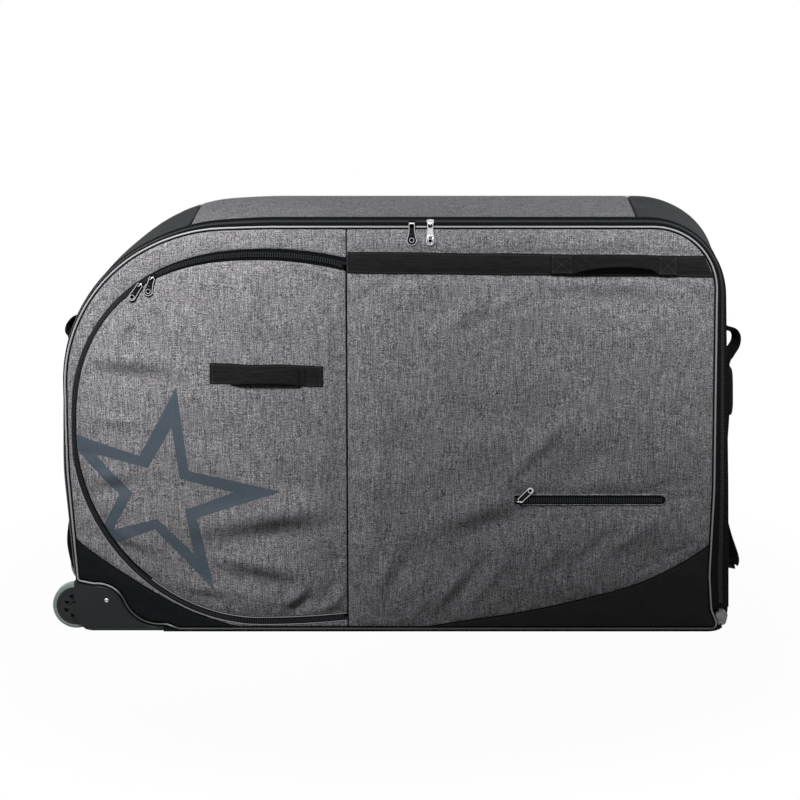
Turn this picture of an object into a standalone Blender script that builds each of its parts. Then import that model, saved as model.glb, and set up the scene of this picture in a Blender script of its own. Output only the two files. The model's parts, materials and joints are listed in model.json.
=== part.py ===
"""Soft travel case for a bicycle, standing upright on its base.

Metres, +Z up, the floor at z = 0. The zipped lid faces -Y, the wheels are at
the -X end and the hauling handles are at both ends. The origin lies on the
underside of the base.
"""
import math
from typing import NamedTuple

import bmesh
import bpy
from mathutils import Matrix, Vector

# Clearances
GAP = 0.0003                # between two pieces that touch
SEAM_GAP = 0.0006           # between cloth pieces sewn edge to edge
SWING_GAP = 0.0010          # between the lid's edge and the wheel housing
SLIDER_GAP = 0.0006         # between a slider and the tape that it runs on

# Heights at which the upright sides change direction
ZIP_FOOT_Z = 0.044          # lower end of the zip on the wheel-free side
WAIST_Z = 0.110
MID_Z = 0.280
KNEE_Z = 0.420
WAIST_R = 0.150             # roundings at those heights
MID_R = 0.800
KNEE_R = 0.600

# Depth, front to rear
FRONT_Y = -0.160            # face of the lid
WALL_FRONT_Y = -0.140       # front edge of the walls
WALL_REAR_Y = 0.150         # rear edge of the walls
REAR_Y = 0.160              # face of the rear panel

# Padded cloth
WALL_T = 0.008
LONGEST_STEP = 0.045        # on the walls, so that they twist evenly
LID_T = 0.010
TAPE_T = 0.0015
WEBBING_T = 0.0018

# Outer contour of the walls and centre line of the lid's piping


class Contour(NamedTuple):
    """Upright outline of the case, as x and z positions of its sides."""

    right_foot: float
    right_waist: float
    right_mid: float
    right_top: float
    top: float
    left: float
    left_foot: float
    shoulder_r: float
    corner_r: float


WALL = Contour(0.6405, 0.6385, 0.633, 0.612, 0.794, -0.628, -0.605, 0.312, 0.150)
PIPE = Contour(0.606, 0.6005, 0.605, 0.597, 0.780, -0.618, -0.598, 0.300, 0.120)
FOOT_R = 0.036              # lower corners of the walls
BASE_LEFT_X = -0.560        # seams between the walls and the base
BASE_RIGHT_X = 0.600
WALL_FOOT_LEFT_X = -0.600
TOP_SEAM_LEFT_X = -0.377    # seams between grey top and black end walls
TOP_SEAM_RIGHT_X = 0.451

# Rear outline, where it differs from the front one
REAR_SHOULDER_DRAW = 0.020  # the round shoulder is drawn in
REAR_CORNER_OUT = 0.012     # and the other corner stands out
REAR_CORNER_X = (0.30, 0.60)
REAR_CORNER_Z = (0.35, 0.65)

# Piping
PIPE_R = 0.0025
PIPE_FOOT_Z = 0.0055        # centre of the piping along the lower edge
PIPE_FOOT_X = 0.621         # lower right corner of the piping
PIPE_Y = FRONT_Y + 0.0022
PIPE_SIDES = 6
PIPE_TURN_LIFT = 0.012      # the piping turns this far above the housing
MAIN_TAPE_SHARE = 0.49      # share of the slope that each tape of the main zip covers

# Lid
SEAM_X = -0.085             # upright seam that is the flap's cloth hinge
LID_HINGE_Z = 0.003
CORNER_LEFT = ((-0.640, 0.228), (-0.587, 0.172), (-0.492, 0.103), (-0.384, 0.039),
               (-0.262, -0.001))    # upper edge of the black corner, wheel end
CORNER_RIGHT = ((0.011, -0.001), (0.122, 0.019), (0.233, 0.036), (0.344, 0.060), (0.456, 0.091),
                (0.538, 0.130), (0.598, 0.170), (0.670, 0.222))     # other end


class Rim(NamedTuple):
    """A rim of the round access flap, made of two squashed ovals."""

    left: float
    top: float
    foot: float
    upper_x: float
    lower_x: float
    upper_power: float
    lower_power: float
    seam_top: float
    seam_foot: float


# Access flap
RIM_Z = 0.388               # level of the ovals' centres
OPENING = Rim(-0.6025, 0.739, 0.015, -0.232, -0.250, 2.30, 1.95, 0.721, 0.024)
FLAP_EDGE = Rim(-0.594, 0.7195, 0.028, -0.246, -0.255, 2.42, 1.93, 0.699, 0.037)
FLAP_HINGE_Z = 0.377
ZIP_SPLIT = 0.5             # share of the zip band that stays on the lid
ZIP_PART = 0.025            # half of the parting between its two tapes

# Wheel pocket behind the flap
POCKET_DEPTH = 0.050
POCKET_WALL_T = 0.004
DIVIDER_T = 0.005

# Wheels and their moulded housings
WHEEL_X = -0.6045
WHEEL_R = 0.045
WHEEL_FLOAT = 0.0015        # wheel to floor while the case stands
WHEEL_Z = WHEEL_R + WHEEL_FLOAT
WHEEL_W = 0.024
WHEEL_FRONT_Y = -0.146
CORE_R = 0.036
CORE_EDGE = 0.002           # the core is this much narrower on each side
TREAD_CHAMFER = 0.003
SPOKES = 6
WINDOW = ((0.0155, 14), (0.0300, 20))   # radius and half angle, inner and outer side
BORE_R = 0.0085
BEARING_R = BORE_R - GAP
BEARING_W = 0.007
AXLE_R = 0.004
WELL_R = 0.049
WELL_SIDE_GAP = 0.0035
HOUSING_FRONT_Y = -0.163
HOUSING_REAR_Y = -0.112
HOUSING_WALL_T = 0.003
ROOM_MARGIN = 0.020         # how far the cutters reach past the case
HOUSING_TOP_Z = 0.092
HOUSING_LEFT_Z = 0.098
HOUSING_FOOT_Z = 0.0035
HOUSING_SHOULDER_X = -0.562
HOUSING_SHOULDER_R = 0.052
HOUSING_SWEEP_R = 0.074
HOUSING_START = 96          # degrees at which the shoulder's arc begins
HOUSING_HEEL_R = 0.030
HOUSING_TIP_Z = 0.011
HOUSING_TIP_X = -0.437
EAR_R = 0.0105
RIVET_X = -0.544
RIVET_Z = 0.064
RIVET_R = 0.0045
RIVET_H = 0.0022

# Webbing band and carry handles on the front
BAND_LEFT_X = -0.078
BAND_RIGHT_X = 0.586
BAND_Z = 0.7105
BAND_W = 0.0405
BAND_DROP = 0.0075          # the band falls by this much from left to right
BAND_END_LEAN = 0.015
BAND_HANDLE_X = 0.400
BAND_HANDLE_L = 0.232
BAND_HANDLE_W = 0.034
BAND_HANDLE_FOOT = 0.036
BAND_HANDLE_OUT = 0.016
BAND_HANDLE_TUCK = 0.011    # the raised middle is this much narrower
PATCH_X = -0.2365
PATCH_Z = 0.5045
PATCH_L = 0.209
PATCH_W = 0.040
FLAP_HANDLE_L = 0.148
FLAP_HANDLE_W = 0.024
FLAP_HANDLE_FOOT = 0.014
FLAP_HANDLE_OUT = 0.024
FLAP_HANDLE_TUCK = 0.004
FLAP_HANDLE_Z = 0.4985
HANDLE_T = 0.003
LOOP_STITCHED = 0.60        # share of a loop's foot that is sewn flat
LOOP_RISE = 0.30            # share of its free half over which it rises
LOOP_SHOULDER = 0.78        # height there, as a share of the full height
LOOP_CROWN = 0.40           # half of the level middle, as a share

# Small pocket on the lid
POCKET_ZIP_LEFT_X = 0.229
POCKET_ZIP_L = 0.284
POCKET_ZIP_Z = 0.261
POCKET_ZIP_W = 0.016
POUCH_L = 0.320
POUCH_H = 0.205
POUCH_T = 0.006
POUCH_RISE = 0.014          # pouch top above the zip

# Zip sliders and pullers
SLIDER_L = 0.013
SLIDER_W = 0.010
SLIDER_H = 0.004
SLIDER_PLAN = ((-0.5, -0.30), (-0.05, -0.5), (0.5, -0.40), (0.5, 0.40), (-0.05, 0.5), (-0.5, 0.30))
LUG_R = 0.0032
LUG_BORE_R = 0.0020
LUG_W = 0.0024
LUG_LIFT = 0.0024           # lug centre above the slider's top
PULLER_L = 0.038
PULLER_T = 0.0016
PULLER_HEAD_W = 0.0070
PULLER_FOOT_W = 0.0115
PULLER_HOLE_R = 0.0022
PULLER_HOLE_UP = 0.0062     # hole centre above the puller's lower end
EYE_BAR = 0.0010
EYE_HOLE_W = 0.0022         # half the width of the eye that hangs on the lug
EYE_HOLE_TOP = 0.0009
EYE_HOLE_FOOT = 0.0054
MAIN_SLIDER_LEFT_X = 0.035
MAIN_SLIDER_RIGHT_X = 0.069
MAIN_PIVOT_OUT = 0.0040     # puller pivot ahead of the piping's centre
MAIN_PIVOT_UP = 0.0060      # and above it
MAIN_NOSE = 0.0050          # how far a main slider stands towards its puller
FLAP_SLIDER_HIGH = 124.3    # degrees round the flap from +X
FLAP_SLIDER_LOW = 128.3
FLAP_TRAVEL = 20.0          # degrees that each one's track is followed
POCKET_SLIDER_X = 0.238

# End handles
END_STRAP_W = 0.038
END_STRAP_T = 0.003
END_STRAP_Y = 0.000
STRAP_GAP = 0.0009          # strap to wall where it is sewn on
GRIP_LOW_Z = 0.388
GRIP_HIGH_Z = 0.490
GRIP_T = 0.007              # padding on each side of the strap
GRIP_W = 0.046

# Inside
BOARD_T = 0.003
BOARD_FRONT_Y = -0.085
FRAME_STRAP_W = 0.038
FRAME_STRAP_L = 0.720
FRAME_STRAP_X = 0.060
FRAME_STRAP_ZS = (0.240, 0.540)

# Finishes: colour, roughness, metallic
FINISHES = {
    "grey_melange_cloth": ((0.21, 0.20, 0.21), 0.90, 0.0),
    "black_ripstop_cloth": ((0.012, 0.014, 0.016), 0.75, 0.0),
    "black_webbing": ((0.010, 0.011, 0.012), 0.85, 0.0),
    "black_zip_tape": ((0.014, 0.015, 0.016), 0.85, 0.0),
    "pale_piping": ((0.50, 0.51, 0.52), 0.50, 0.0),
    "black_moulding": ((0.016, 0.018, 0.019), 0.45, 0.0),
    "clear_tread": ((0.42, 0.46, 0.45), 0.30, 0.0),
    "bright_metal": ((0.75, 0.75, 0.76), 0.20, 1.0),
    "dark_metal": ((0.10, 0.10, 0.11), 0.30, 1.0),
    "board": ((0.05, 0.05, 0.05), 0.60, 0.0),
}


# Outlines are lists of (x, z) points, anticlockwise as seen from the front

def rounded(corners, closed=False):
    """Points of a path whose corners (x, z, radius, steps) are arcs."""
    points = []
    count = len(corners)
    for i, (x, z, radius, steps) in enumerate(corners):
        at_end = not closed and i in (0, count - 1)
        if radius == 0 or at_end:
            points.append((x, z))
            continue
        here = Vector((x, z))
        back = (Vector(corners[i - 1][:2]) - here).normalized()
        ahead = (Vector(corners[(i + 1) % count][:2]) - here).normalized()
        half = math.acos(max(-1.0, min(1.0, back.dot(ahead)))) / 2
        centre = here + (back + ahead).normalized() * radius / math.sin(half)
        start = here + back * radius / math.tan(half) - centre
        end = here + ahead * radius / math.tan(half) - centre
        turn = math.atan2(start.x * end.y - start.y * end.x, start.dot(end))
        for k in range(steps + 1):
            spot = centre + Matrix.Rotation(turn * k / steps, 2) @ start
            points.append((spot.x, spot.y))
    return points


def side_path(contour, foot_z, end_z):
    """The two sides and the top, from the right foot round to the left."""
    c = contour
    return rounded([
        (c.right_foot, foot_z, 0, 0),
        (c.right_waist, WAIST_Z, WAIST_R, 3),
        (c.right_mid, MID_Z, MID_R, 2),
        (c.right_top, c.top, c.corner_r, 12),
        (c.left, c.top, c.shoulder_r, 20),
        (c.left, KNEE_Z, KNEE_R, 3),
        (c.left_foot, end_z, 0, 0),
    ])


def inset(contour, by):
    """The same contour drawn further in."""
    c = contour
    return Contour(c.right_foot - by, c.right_waist - by, c.right_mid - by,
                   c.right_top - by, c.top - by, c.left + by, c.left_foot + by,
                   c.shoulder_r - by, c.corner_r - by)


def wall_outline(by=0.0):
    """Closed outline of the walls, drawn in by a thickness."""
    c = inset(WALL, by)
    sides = side_path(c, WAIST_Z * 0.5, HOUSING_LEFT_Z)
    foot = rounded([
        (c.left_foot, HOUSING_LEFT_Z, 0, 0),
        (WALL_FOOT_LEFT_X + by, by, FOOT_R - by, 6),
        (c.right_foot + 0.0005, by, FOOT_R - by, 6),
        (c.right_foot, WAIST_Z * 0.5, 0, 0),
    ])
    return sides + foot[1:-1]


def housing_edge(grow=0.0):
    """Upper edge of the wheel housing, from the end wall to its tip."""
    first = Vector((HOUSING_SHOULDER_X, HOUSING_TOP_Z - HOUSING_SHOULDER_R))
    sweep_z = HOUSING_TIP_Z + HOUSING_SWEEP_R
    reach = HOUSING_SHOULDER_R + HOUSING_SWEEP_R
    run = math.sqrt(reach ** 2 - (sweep_z - first.y) ** 2)
    second = Vector((first.x + run, sweep_z))
    start = math.radians(HOUSING_START)
    meet = math.atan2(sweep_z - first.y, run)
    points = []
    for k in range(9):
        turn = start + (meet - start) * k / 8
        radius = HOUSING_SHOULDER_R + grow
        points.append((first.x + radius * math.cos(turn), first.y + radius * math.sin(turn)))
    low = 1.5 * math.pi
    for k in range(1, 9):
        turn = meet + math.pi + (low - meet - math.pi) * k / 8
        radius = HOUSING_SWEEP_R - grow
        points.append((second.x + radius * math.cos(turn), second.y + radius * math.sin(turn)))
    return points


def piping_loop():
    """Closed centre line of the piping round the lid."""
    grow = SWING_GAP + PIPE_R
    sides = side_path(PIPE, ZIP_FOOT_Z, HOUSING_LEFT_Z + PIPE_TURN_LIFT)
    edge = housing_edge(grow)
    heel = rounded([
        (PIPE.left_foot, HOUSING_LEFT_Z + PIPE_TURN_LIFT, 0, 0),
        (PIPE.left_foot + 0.0005, HOUSING_LEFT_Z + grow, 0.004, 4),
        (edge[0][0], edge[0][1], 0, 0),
    ])
    foot = rounded([
        (edge[-1][0], edge[-1][1], 0, 0),
        (HOUSING_TIP_X + 0.006, edge[-1][1], 0.010, 3),
        (HOUSING_TIP_X + 0.028, PIPE_FOOT_Z, 0.020, 3),
        (PIPE_FOOT_X, PIPE_FOOT_Z, 0.009, 5),
        (PIPE.right_foot, ZIP_FOOT_Z, 0, 0),
    ])
    return sides + heel[1:] + edge[1:] + foot[1:-1]


def offset_loop(points, by):
    """A closed outline moved inwards along its own normals."""
    count = len(points)
    result = []
    for i in range(count):
        before = Vector(points[i - 1])
        here = Vector(points[i])
        after = Vector(points[(i + 1) % count])
        a = (here - before).normalized()
        b = (after - here).normalized()
        inward = Vector((-a.y - b.y, a.x + b.x)).normalized()
        stretch_by = by / max(0.5, inward.dot(Vector((-a.y, a.x))))
        spot = here + inward * stretch_by
        result.append((spot.x, spot.y))
    return result


def crossing(points, axis, value, side):
    """Edge number and point where a closed outline crosses a line.

    The axis is 0 for an upright line and 1 for a level one. The side is +1
    for the crossing above or right of the outline's middle, -1 for the other.
    """
    count = len(points)
    middle = (0.0, 0.4)[1 - axis]
    for i in range(count):
        a = points[i]
        b = points[(i + 1) % count]
        if (a[axis] - value) * (b[axis] - value) > 0 or a[axis] == b[axis]:
            continue
        share = (value - a[axis]) / (b[axis] - a[axis])
        spot = (a[0] + (b[0] - a[0]) * share, a[1] + (b[1] - a[1]) * share)
        if (spot[1 - axis] - middle) * side > 0:
            return i, spot
    raise ValueError("the outline is not crossed there")


def stretch(points, start, end):
    """The run of a closed outline between two crossings, anticlockwise."""
    first, start_spot = crossing(points, *start)
    last, end_spot = crossing(points, *end)
    run = [start_spot]
    i = (first + 1) % len(points)
    while i != (last + 1) % len(points):
        run.append(points[i])
        i = (i + 1) % len(points)
    run.append(end_spot)
    return without_doubles(run)


def in_short_steps(points):
    """A path with more points on its long straight runs."""
    steps = [points[0]]
    for a, b in zip(points, points[1:]):
        count = math.ceil((Vector(b) - Vector(a)).length / LONGEST_STEP)
        for k in range(1, count + 1):
            steps.append((a[0] + (b[0] - a[0]) * k / count, a[1] + (b[1] - a[1]) * k / count))
    return steps


def without_doubles(points):
    """A path without the points that repeat the one before."""
    kept = [points[0]]
    for spot in points[1:]:
        if (Vector(spot) - Vector(kept[-1])).length > 1e-6:
            kept.append(spot)
    return kept


def flap_rim(rim, seam_x, grow=0.0):
    """Rim of the round flap, from the seam over the top to the seam below."""
    path = []
    for upper in (True, False):
        centre_x = rim.upper_x if upper else rim.lower_x
        power = rim.upper_power if upper else rim.lower_power
        side = centre_x - rim.left + grow
        rise = (rim.top - RIM_Z if upper else RIM_Z - rim.foot) + grow
        seam_drop = rim.top - rim.seam_top if upper else rim.seam_foot - rim.foot
        half = []
        for k in range(4):
            x = (seam_x - centre_x) * (1 - k / 4)
            half.append((centre_x + x, rise - seam_drop * (1 - k / 4) ** 2))
        for k in range(17):
            turn = math.pi / 2 * k / 16
            half.append((centre_x - abs(math.sin(turn)) ** (2 / power) * side,
                         abs(math.cos(turn)) ** (2 / power) * rise))
        if upper:
            path += [(x, RIM_Z + z) for x, z in half]
        else:
            path += [(x, RIM_Z - z) for x, z in half[:-1][::-1]]
    return path


def between(path_a, path_b, share):
    """A path part of the way from one path to another."""
    return [(a[0] + (b[0] - a[0]) * share, a[1] + (b[1] - a[1]) * share)
            for a, b in zip(path_a, path_b)]


# Solids are built as vertex and face lists in world coordinates

def prism(outline, y0, y1, rear=None):
    """An upright outline extruded from front to rear, to a rear outline if given."""
    count = len(outline)
    verts = [(x, y0, z) for x, z in outline] + [(x, y1, z) for x, z in rear or outline]
    faces = [tuple(range(count)), tuple(range(2 * count - 1, count - 1, -1))]
    for i in range(count):
        j = (i + 1) % count
        faces.append((i, count + i, count + j, j))
    return verts, faces


def box(low, high):
    """A plain block between two corners."""
    outline = [(low[0], low[2]), (high[0], low[2]), (high[0], high[2]), (low[0], high[2])]
    return prism(outline, low[1], high[1])


def rings_to_solid(rings, closed=False):
    """Quads between rings of equal size, with end caps on an open run."""
    size = len(rings[0])
    verts = [tuple(spot) for ring in rings for spot in ring]
    faces = []
    runs = len(rings) if closed else len(rings) - 1
    for r in range(runs):
        a = r * size
        b = (r + 1) % len(rings) * size
        for k in range(size):
            m = (k + 1) % size
            faces.append((a + k, a + m, b + m, b + k))
    if not closed:
        faces.append(tuple(range(size)))
        faces.append(tuple(range(len(verts) - 1, len(verts) - size - 1, -1)))
    return verts, faces


def sloping_tape(path_a, y_a, path_b, y_b):
    """A thin tape between two upright paths at different depths."""
    rings = []
    for a, b in zip(path_a, path_b):
        rings.append([(a[0], y_a, a[1]), (b[0], y_b, b[1]),
                      (b[0], y_b + TAPE_T, b[1]), (a[0], y_a + TAPE_T, a[1])])
    return rings_to_solid(rings)


def tube(path, radius, sides, closed=False):
    """A round tube along a path of 3D points."""
    rings = []
    count = len(path)
    for i in range(count):
        before = Vector(path[i - 1]) if closed or i else Vector(path[i])
        after = Vector(path[(i + 1) % count]) if closed or i < count - 1 else Vector(path[i])
        along = (after - before).normalized()
        depth = Vector((0, 1, 0))
        out = along.cross(depth).normalized()
        ring = []
        for k in range(sides):
            turn = math.tau * (k + 0.5) / sides
            ring.append(Vector(path[i]) + out * radius * math.cos(turn) + depth * radius * math.sin(turn))
        rings.append(ring)
    return rings_to_solid(rings, closed)


def ribbon_rings(path, widths, thickness, wide):
    """Cross-sections of a flat strap; its width runs in the direction wide."""
    rings = []
    count = len(path)
    for i in range(count):
        before = Vector(path[max(i - 1, 0)])
        after = Vector(path[min(i + 1, count - 1)])
        along = (after - before).normalized()
        thin = along.cross(wide).normalized() * thickness / 2
        low, high = widths[i]
        here = Vector(path[i])
        rings.append([here + wide * low - thin, here + wide * high - thin,
                      here + wide * high + thin, here + wide * low + thin])
    return rings


def lathe(profile, centre, axis, sides):
    """A turned solid: (distance along the axis, radius) pairs."""
    axis = Vector(axis).normalized()
    side = axis.orthogonal().normalized()
    other = axis.cross(side)
    rings = []
    for along, radius in profile:
        rings.append([Vector(centre) + axis * along
                      + (side * math.cos(math.tau * k / sides)
                         + other * math.sin(math.tau * k / sides)) * radius
                      for k in range(sides)])
    return rings


def turned(profile, centre, axis, sides=24):
    """A closed turned solid without a bore."""
    return rings_to_solid(lathe(profile, centre, axis, sides))


def turned_ring(profile, centre, axis, sides=24):
    """A closed turned solid with a bore; the profile runs right round."""
    return rings_to_solid(lathe(profile, centre, axis, sides), closed=True)


def smooth_path(points, steps=4):
    """A smooth curve through hand-chosen points."""
    knots = [Vector(p) for p in points]
    path = []
    for i in range(len(knots) - 1):
        p0 = knots[max(i - 1, 0)]
        p1 = knots[i]
        p2 = knots[i + 1]
        p3 = knots[min(i + 2, len(knots) - 1)]
        for k in range(steps):
            t = k / steps
            path.append(0.5 * (2 * p1 + (p2 - p0) * t + (2 * p0 - 5 * p1 + 4 * p2 - p3) * t ** 2
                               + (3 * p1 - 3 * p2 + p3 - p0) * t ** 3))
    path.append(knots[-1])
    return path


# Scene helpers

def clear_scene():
    """Remove what the startup file holds."""
    for item in list(bpy.data.objects):
        bpy.data.objects.remove(item, do_unlink=True)


def make_finish(name, finish):
    """The Principled material of one piece."""
    colour, roughness, metallic = FINISHES[finish]
    material = bpy.data.materials.new(name)
    material.use_nodes = True
    shader = material.node_tree.nodes["Principled BSDF"]
    shader.inputs["Base Color"].default_value = (*colour, 1.0)
    shader.inputs["Roughness"].default_value = roughness
    shader.inputs["Metallic"].default_value = metallic
    return material


class Builder:
    """Adds solids to the scene under the empties that move them."""

    def __init__(self):
        self.pivots = {}
        self.places = {}
        self.rooms = {}

    def body(self, name, place=(0, 0, 0), parent=None):
        """An empty on a moving body's joint."""
        empty = bpy.data.objects.new("body_" + name, None)
        bpy.context.collection.objects.link(empty)
        place = Vector(place)
        empty.location = place
        if parent:
            empty.parent = self.pivots[parent]
            empty.location = place - self.places[parent]
        self.pivots[name] = empty
        self.places[name] = place

    def solid(self, name, shape, finish, body="case", round_piece=False):
        """A named piece from a vertex and face list in world coordinates."""
        origin = self.places[body]
        verts, faces = shape
        mesh = bpy.data.meshes.new(name)
        mesh.from_pydata([Vector(v) - origin for v in verts], [], faces)
        work = bmesh.new()
        work.from_mesh(mesh)
        bmesh.ops.recalc_face_normals(work, faces=work.faces)
        work.to_mesh(mesh)
        work.free()
        mesh.materials.append(make_finish(name, finish))
        if round_piece:
            mesh.shade_smooth()
            mesh.set_sharp_from_angle(angle=math.radians(35))
        item = bpy.data.objects.new(name, mesh)
        bpy.context.collection.objects.link(item)
        item.parent = self.pivots[body]
        return item

    def tool(self, name, shape, body="case"):
        """A hidden solid that cuts or joins."""
        item = self.solid(name, shape, "board", body)
        item.hide_render = True
        item.display_type = "WIRE"
        return item

    def cut(self, item, cutter, how="DIFFERENCE"):
        """A Boolean with the exact solver."""
        step = item.modifiers.new(how.title(), "BOOLEAN")
        step.operation = how
        step.solver = "EXACT"
        step.object = cutter


# Pieces of the case itself

def add_walls(build):
    """Padded end walls, top wall and base, sewn edge to edge."""
    outer = wall_outline()
    inner = wall_outline(WALL_T)
    half = SEAM_GAP / 2
    runs = (
        ("left_end_wall", "black_ripstop_cloth",
         (0, TOP_SEAM_LEFT_X - half, 1), (0, BASE_LEFT_X - half, -1)),
        ("base_panel", "black_ripstop_cloth",
         (0, BASE_LEFT_X + half, -1), (0, BASE_RIGHT_X - half, -1)),
        ("right_end_wall", "black_ripstop_cloth",
         (0, BASE_RIGHT_X + half, -1), (0, TOP_SEAM_RIGHT_X + half, 1)),
        ("top_wall", "grey_melange_cloth",
         (0, TOP_SEAM_RIGHT_X - half, 1), (0, TOP_SEAM_LEFT_X + half, 1)),
    )
    for name, finish, start, end in runs:
        outline = (in_short_steps(stretch(outer, start, end))
                   + in_short_steps(stretch(inner, start, end))[::-1])
        shape = prism(outline, WALL_FRONT_Y, WALL_REAR_Y, at_rear(outline))
        wall = build.solid(name, shape, finish)
        if name in ("left_end_wall", "base_panel"):
            for side in (-1, 1):
                build.cut(wall, build.rooms[side])


def eased(value, low, high):
    """A smooth step from 0 at low to 1 at high."""
    t = max(0.0, min(1.0, (value - low) / (high - low)))
    return t * t * (3 - 2 * t)


def at_rear(outline):
    """Where the points of a front outline lie on the rear panel."""
    moved = []
    for x, z in outline:
        across = x - (WALL.left + WALL.shoulder_r)
        up = z - (WALL.top - WALL.shoulder_r)
        out = REAR_CORNER_OUT * eased(x, *REAR_CORNER_X) * eased(z, *REAR_CORNER_Z)
        draw = 0.0
        if across < 0 and up > 0:
            draw = REAR_SHOULDER_DRAW * math.sin(2 * math.atan2(-across, up)) ** 2
        reach = math.hypot(across, up)
        moved.append((x - across / reach * draw + out, z - up / reach * draw))
    return moved


def housing_outline(grow=0.0):
    """Side view of the moulded wheel housing."""
    edge = housing_edge(grow)
    left_top = WALL.left_foot - grow
    left_foot = WALL_FOOT_LEFT_X - grow
    foot = HOUSING_FOOT_Z - grow
    heel = rounded([
        (HOUSING_TIP_X + grow, edge[-1][1], 0, 0),
        (HOUSING_TIP_X + grow, foot, 0, 0),
        (left_foot, foot, HOUSING_HEEL_R, 6),
        (left_top, HOUSING_LEFT_Z + grow, 0, 0),
    ])
    return without_doubles(edge + heel)[::-1]


def mirrored(low_y, high_y, side):
    """A depth range on the front side (-1) or its mirror at the rear (1)."""
    if side < 0:
        return low_y, high_y
    return -high_y, -low_y


def add_housing_room(build):
    """Cutters that clear the cloth round both wheel housings."""
    for side in (-1, 1):
        y0, y1 = mirrored(HOUSING_FRONT_Y - 0.010, HOUSING_REAR_Y + GAP, side)
        edge = housing_edge(GAP)
        beyond = WALL.left - ROOM_MARGIN
        grown = edge + [(HOUSING_TIP_X + GAP, edge[-1][1]), (HOUSING_TIP_X + GAP, -ROOM_MARGIN),
                        (beyond, -ROOM_MARGIN), (beyond, HOUSING_LEFT_Z + GAP),
                        (WALL.left_foot, HOUSING_LEFT_Z + GAP)]
        build.rooms[side] = build.tool("housing_room_%d" % side, prism(grown, y0, y1))


def add_housing(build, name, side):
    """Moulded corner shell with a well for the wheel and an axle bore."""
    skin_y, open_y = HOUSING_FRONT_Y, HOUSING_REAR_Y
    y0, y1 = mirrored(skin_y, open_y, side)
    shell = build.solid(name, prism(housing_outline(), y0, y1), "black_moulding",
                        round_piece=True)
    spot = (WHEEL_X, 0, WHEEL_Z)
    ear = build.tool(name + "_ear", turned([(y0, EAR_R), (y1, EAR_R)], spot, (0, 1, 0), 28))
    build.cut(shell, ear, "UNION")
    y0, y1 = mirrored(skin_y + HOUSING_WALL_T, open_y + 0.01, side)
    hollow = build.tool(name + "_hollow", prism(housing_outline(-HOUSING_WALL_T), y0, y1))
    lining_r = WELL_R + HOUSING_WALL_T
    lining_y = mirrored(skin_y, open_y + 0.02, side)
    lining = build.tool(name + "_lining",
                        turned([(lining_y[0], lining_r), (lining_y[1], lining_r)], spot, (0, 1, 0), 48))
    build.cut(hollow, lining)
    build.cut(shell, hollow)
    well_y = mirrored(WHEEL_FRONT_Y - WELL_SIDE_GAP, WHEEL_FRONT_Y + WHEEL_W + WELL_SIDE_GAP, side)
    well = build.tool(name + "_well",
                      turned([(well_y[0], WELL_R), (well_y[1], WELL_R)], spot, (0, 1, 0), 48))
    build.cut(shell, well)
    bore_y = mirrored(skin_y + HOUSING_WALL_T, open_y - HOUSING_WALL_T, side)
    bore_r = AXLE_R + GAP
    bore = build.tool(name + "_bore",
                      turned([(bore_y[0], bore_r), (bore_y[1], bore_r)], spot, (0, 1, 0), 20))
    build.cut(shell, bore)
    axle = [(bore_y[0] + GAP, AXLE_R), (bore_y[1] - GAP, AXLE_R)]
    place = name.replace("housing", "axle")
    build.solid(place, turned(axle, spot, (0, 1, 0), 20), "dark_metal", round_piece=True)
    rivet = [(GAP, RIVET_R), (RIVET_H * 0.5, RIVET_R), (RIVET_H, RIVET_R * 0.55)]
    build.solid(name.replace("housing", "rivet"),
                turned(rivet, (RIVET_X, skin_y * -side, RIVET_Z), (0, side, 0), 16), "bright_metal",
                round_piece=True)


def add_wheel(build, name, side):
    """Spoked core, clear tread and two bearings on the fixed axle."""
    y0, y1 = mirrored(WHEEL_FRONT_Y, WHEEL_FRONT_Y + WHEEL_W, side)
    body = name
    build.body(body, (WHEEL_X, (y0 + y1) / 2, WHEEL_Z))
    spot = (WHEEL_X, 0, WHEEL_Z)
    low, high = y0 + CORE_EDGE, y1 - CORE_EDGE
    core = [(low, BORE_R), (low, CORE_R), (high, CORE_R), (high, BORE_R)]
    hub = build.solid(name + "_core", turned_ring(core, spot, (0, 1, 0), 36), "black_moulding",
                      body, round_piece=True)
    for k in range(SPOKES):
        turn = math.tau * (k + 0.5) / SPOKES
        window = []
        for radius, spread in WINDOW:
            for swing in (-spread, spread):
                a = turn + math.radians(swing)
                window.append((WHEEL_X + radius * math.cos(a), WHEEL_Z + radius * math.sin(a)))
        window = [window[0], window[2], window[3], window[1]]
        cutter = build.tool("%s_window_%d" % (name, k), prism(window, y0 - 0.002, y1 + 0.002), body)
        build.cut(hub, cutter)
    inner = CORE_R + GAP
    side_r = WHEEL_R - TREAD_CHAMFER
    tread = [(y0, inner), (y0, side_r), (y0 + TREAD_CHAMFER, WHEEL_R),
             (y1 - TREAD_CHAMFER, WHEEL_R), (y1, side_r), (y1, inner)]
    build.solid(name + "_tread", turned_ring(tread, spot, (0, 1, 0), 48), "clear_tread", body,
                round_piece=True)
    for end, at in (("outer", low + GAP), ("inner", high - GAP - BEARING_W)):
        ring = [(at, AXLE_R + GAP), (at, BEARING_R), (at + BEARING_W, BEARING_R),
                (at + BEARING_W, AXLE_R + GAP)]
        build.solid("%s_bearing_%s" % (name, end), turned_ring(ring, spot, (0, 1, 0), 20),
                    "bright_metal", body, round_piece=True)


def corner_lines(by):
    """Upper edges of the two black lower corners, moved up by a gap."""
    lines = []
    for knots in (CORNER_LEFT, CORNER_RIGHT):
        path = smooth_path([(x, 0, z) for x, z in knots], 3)
        lines.append([(spot.x, spot.z + by) for spot in path])
    return lines


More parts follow.
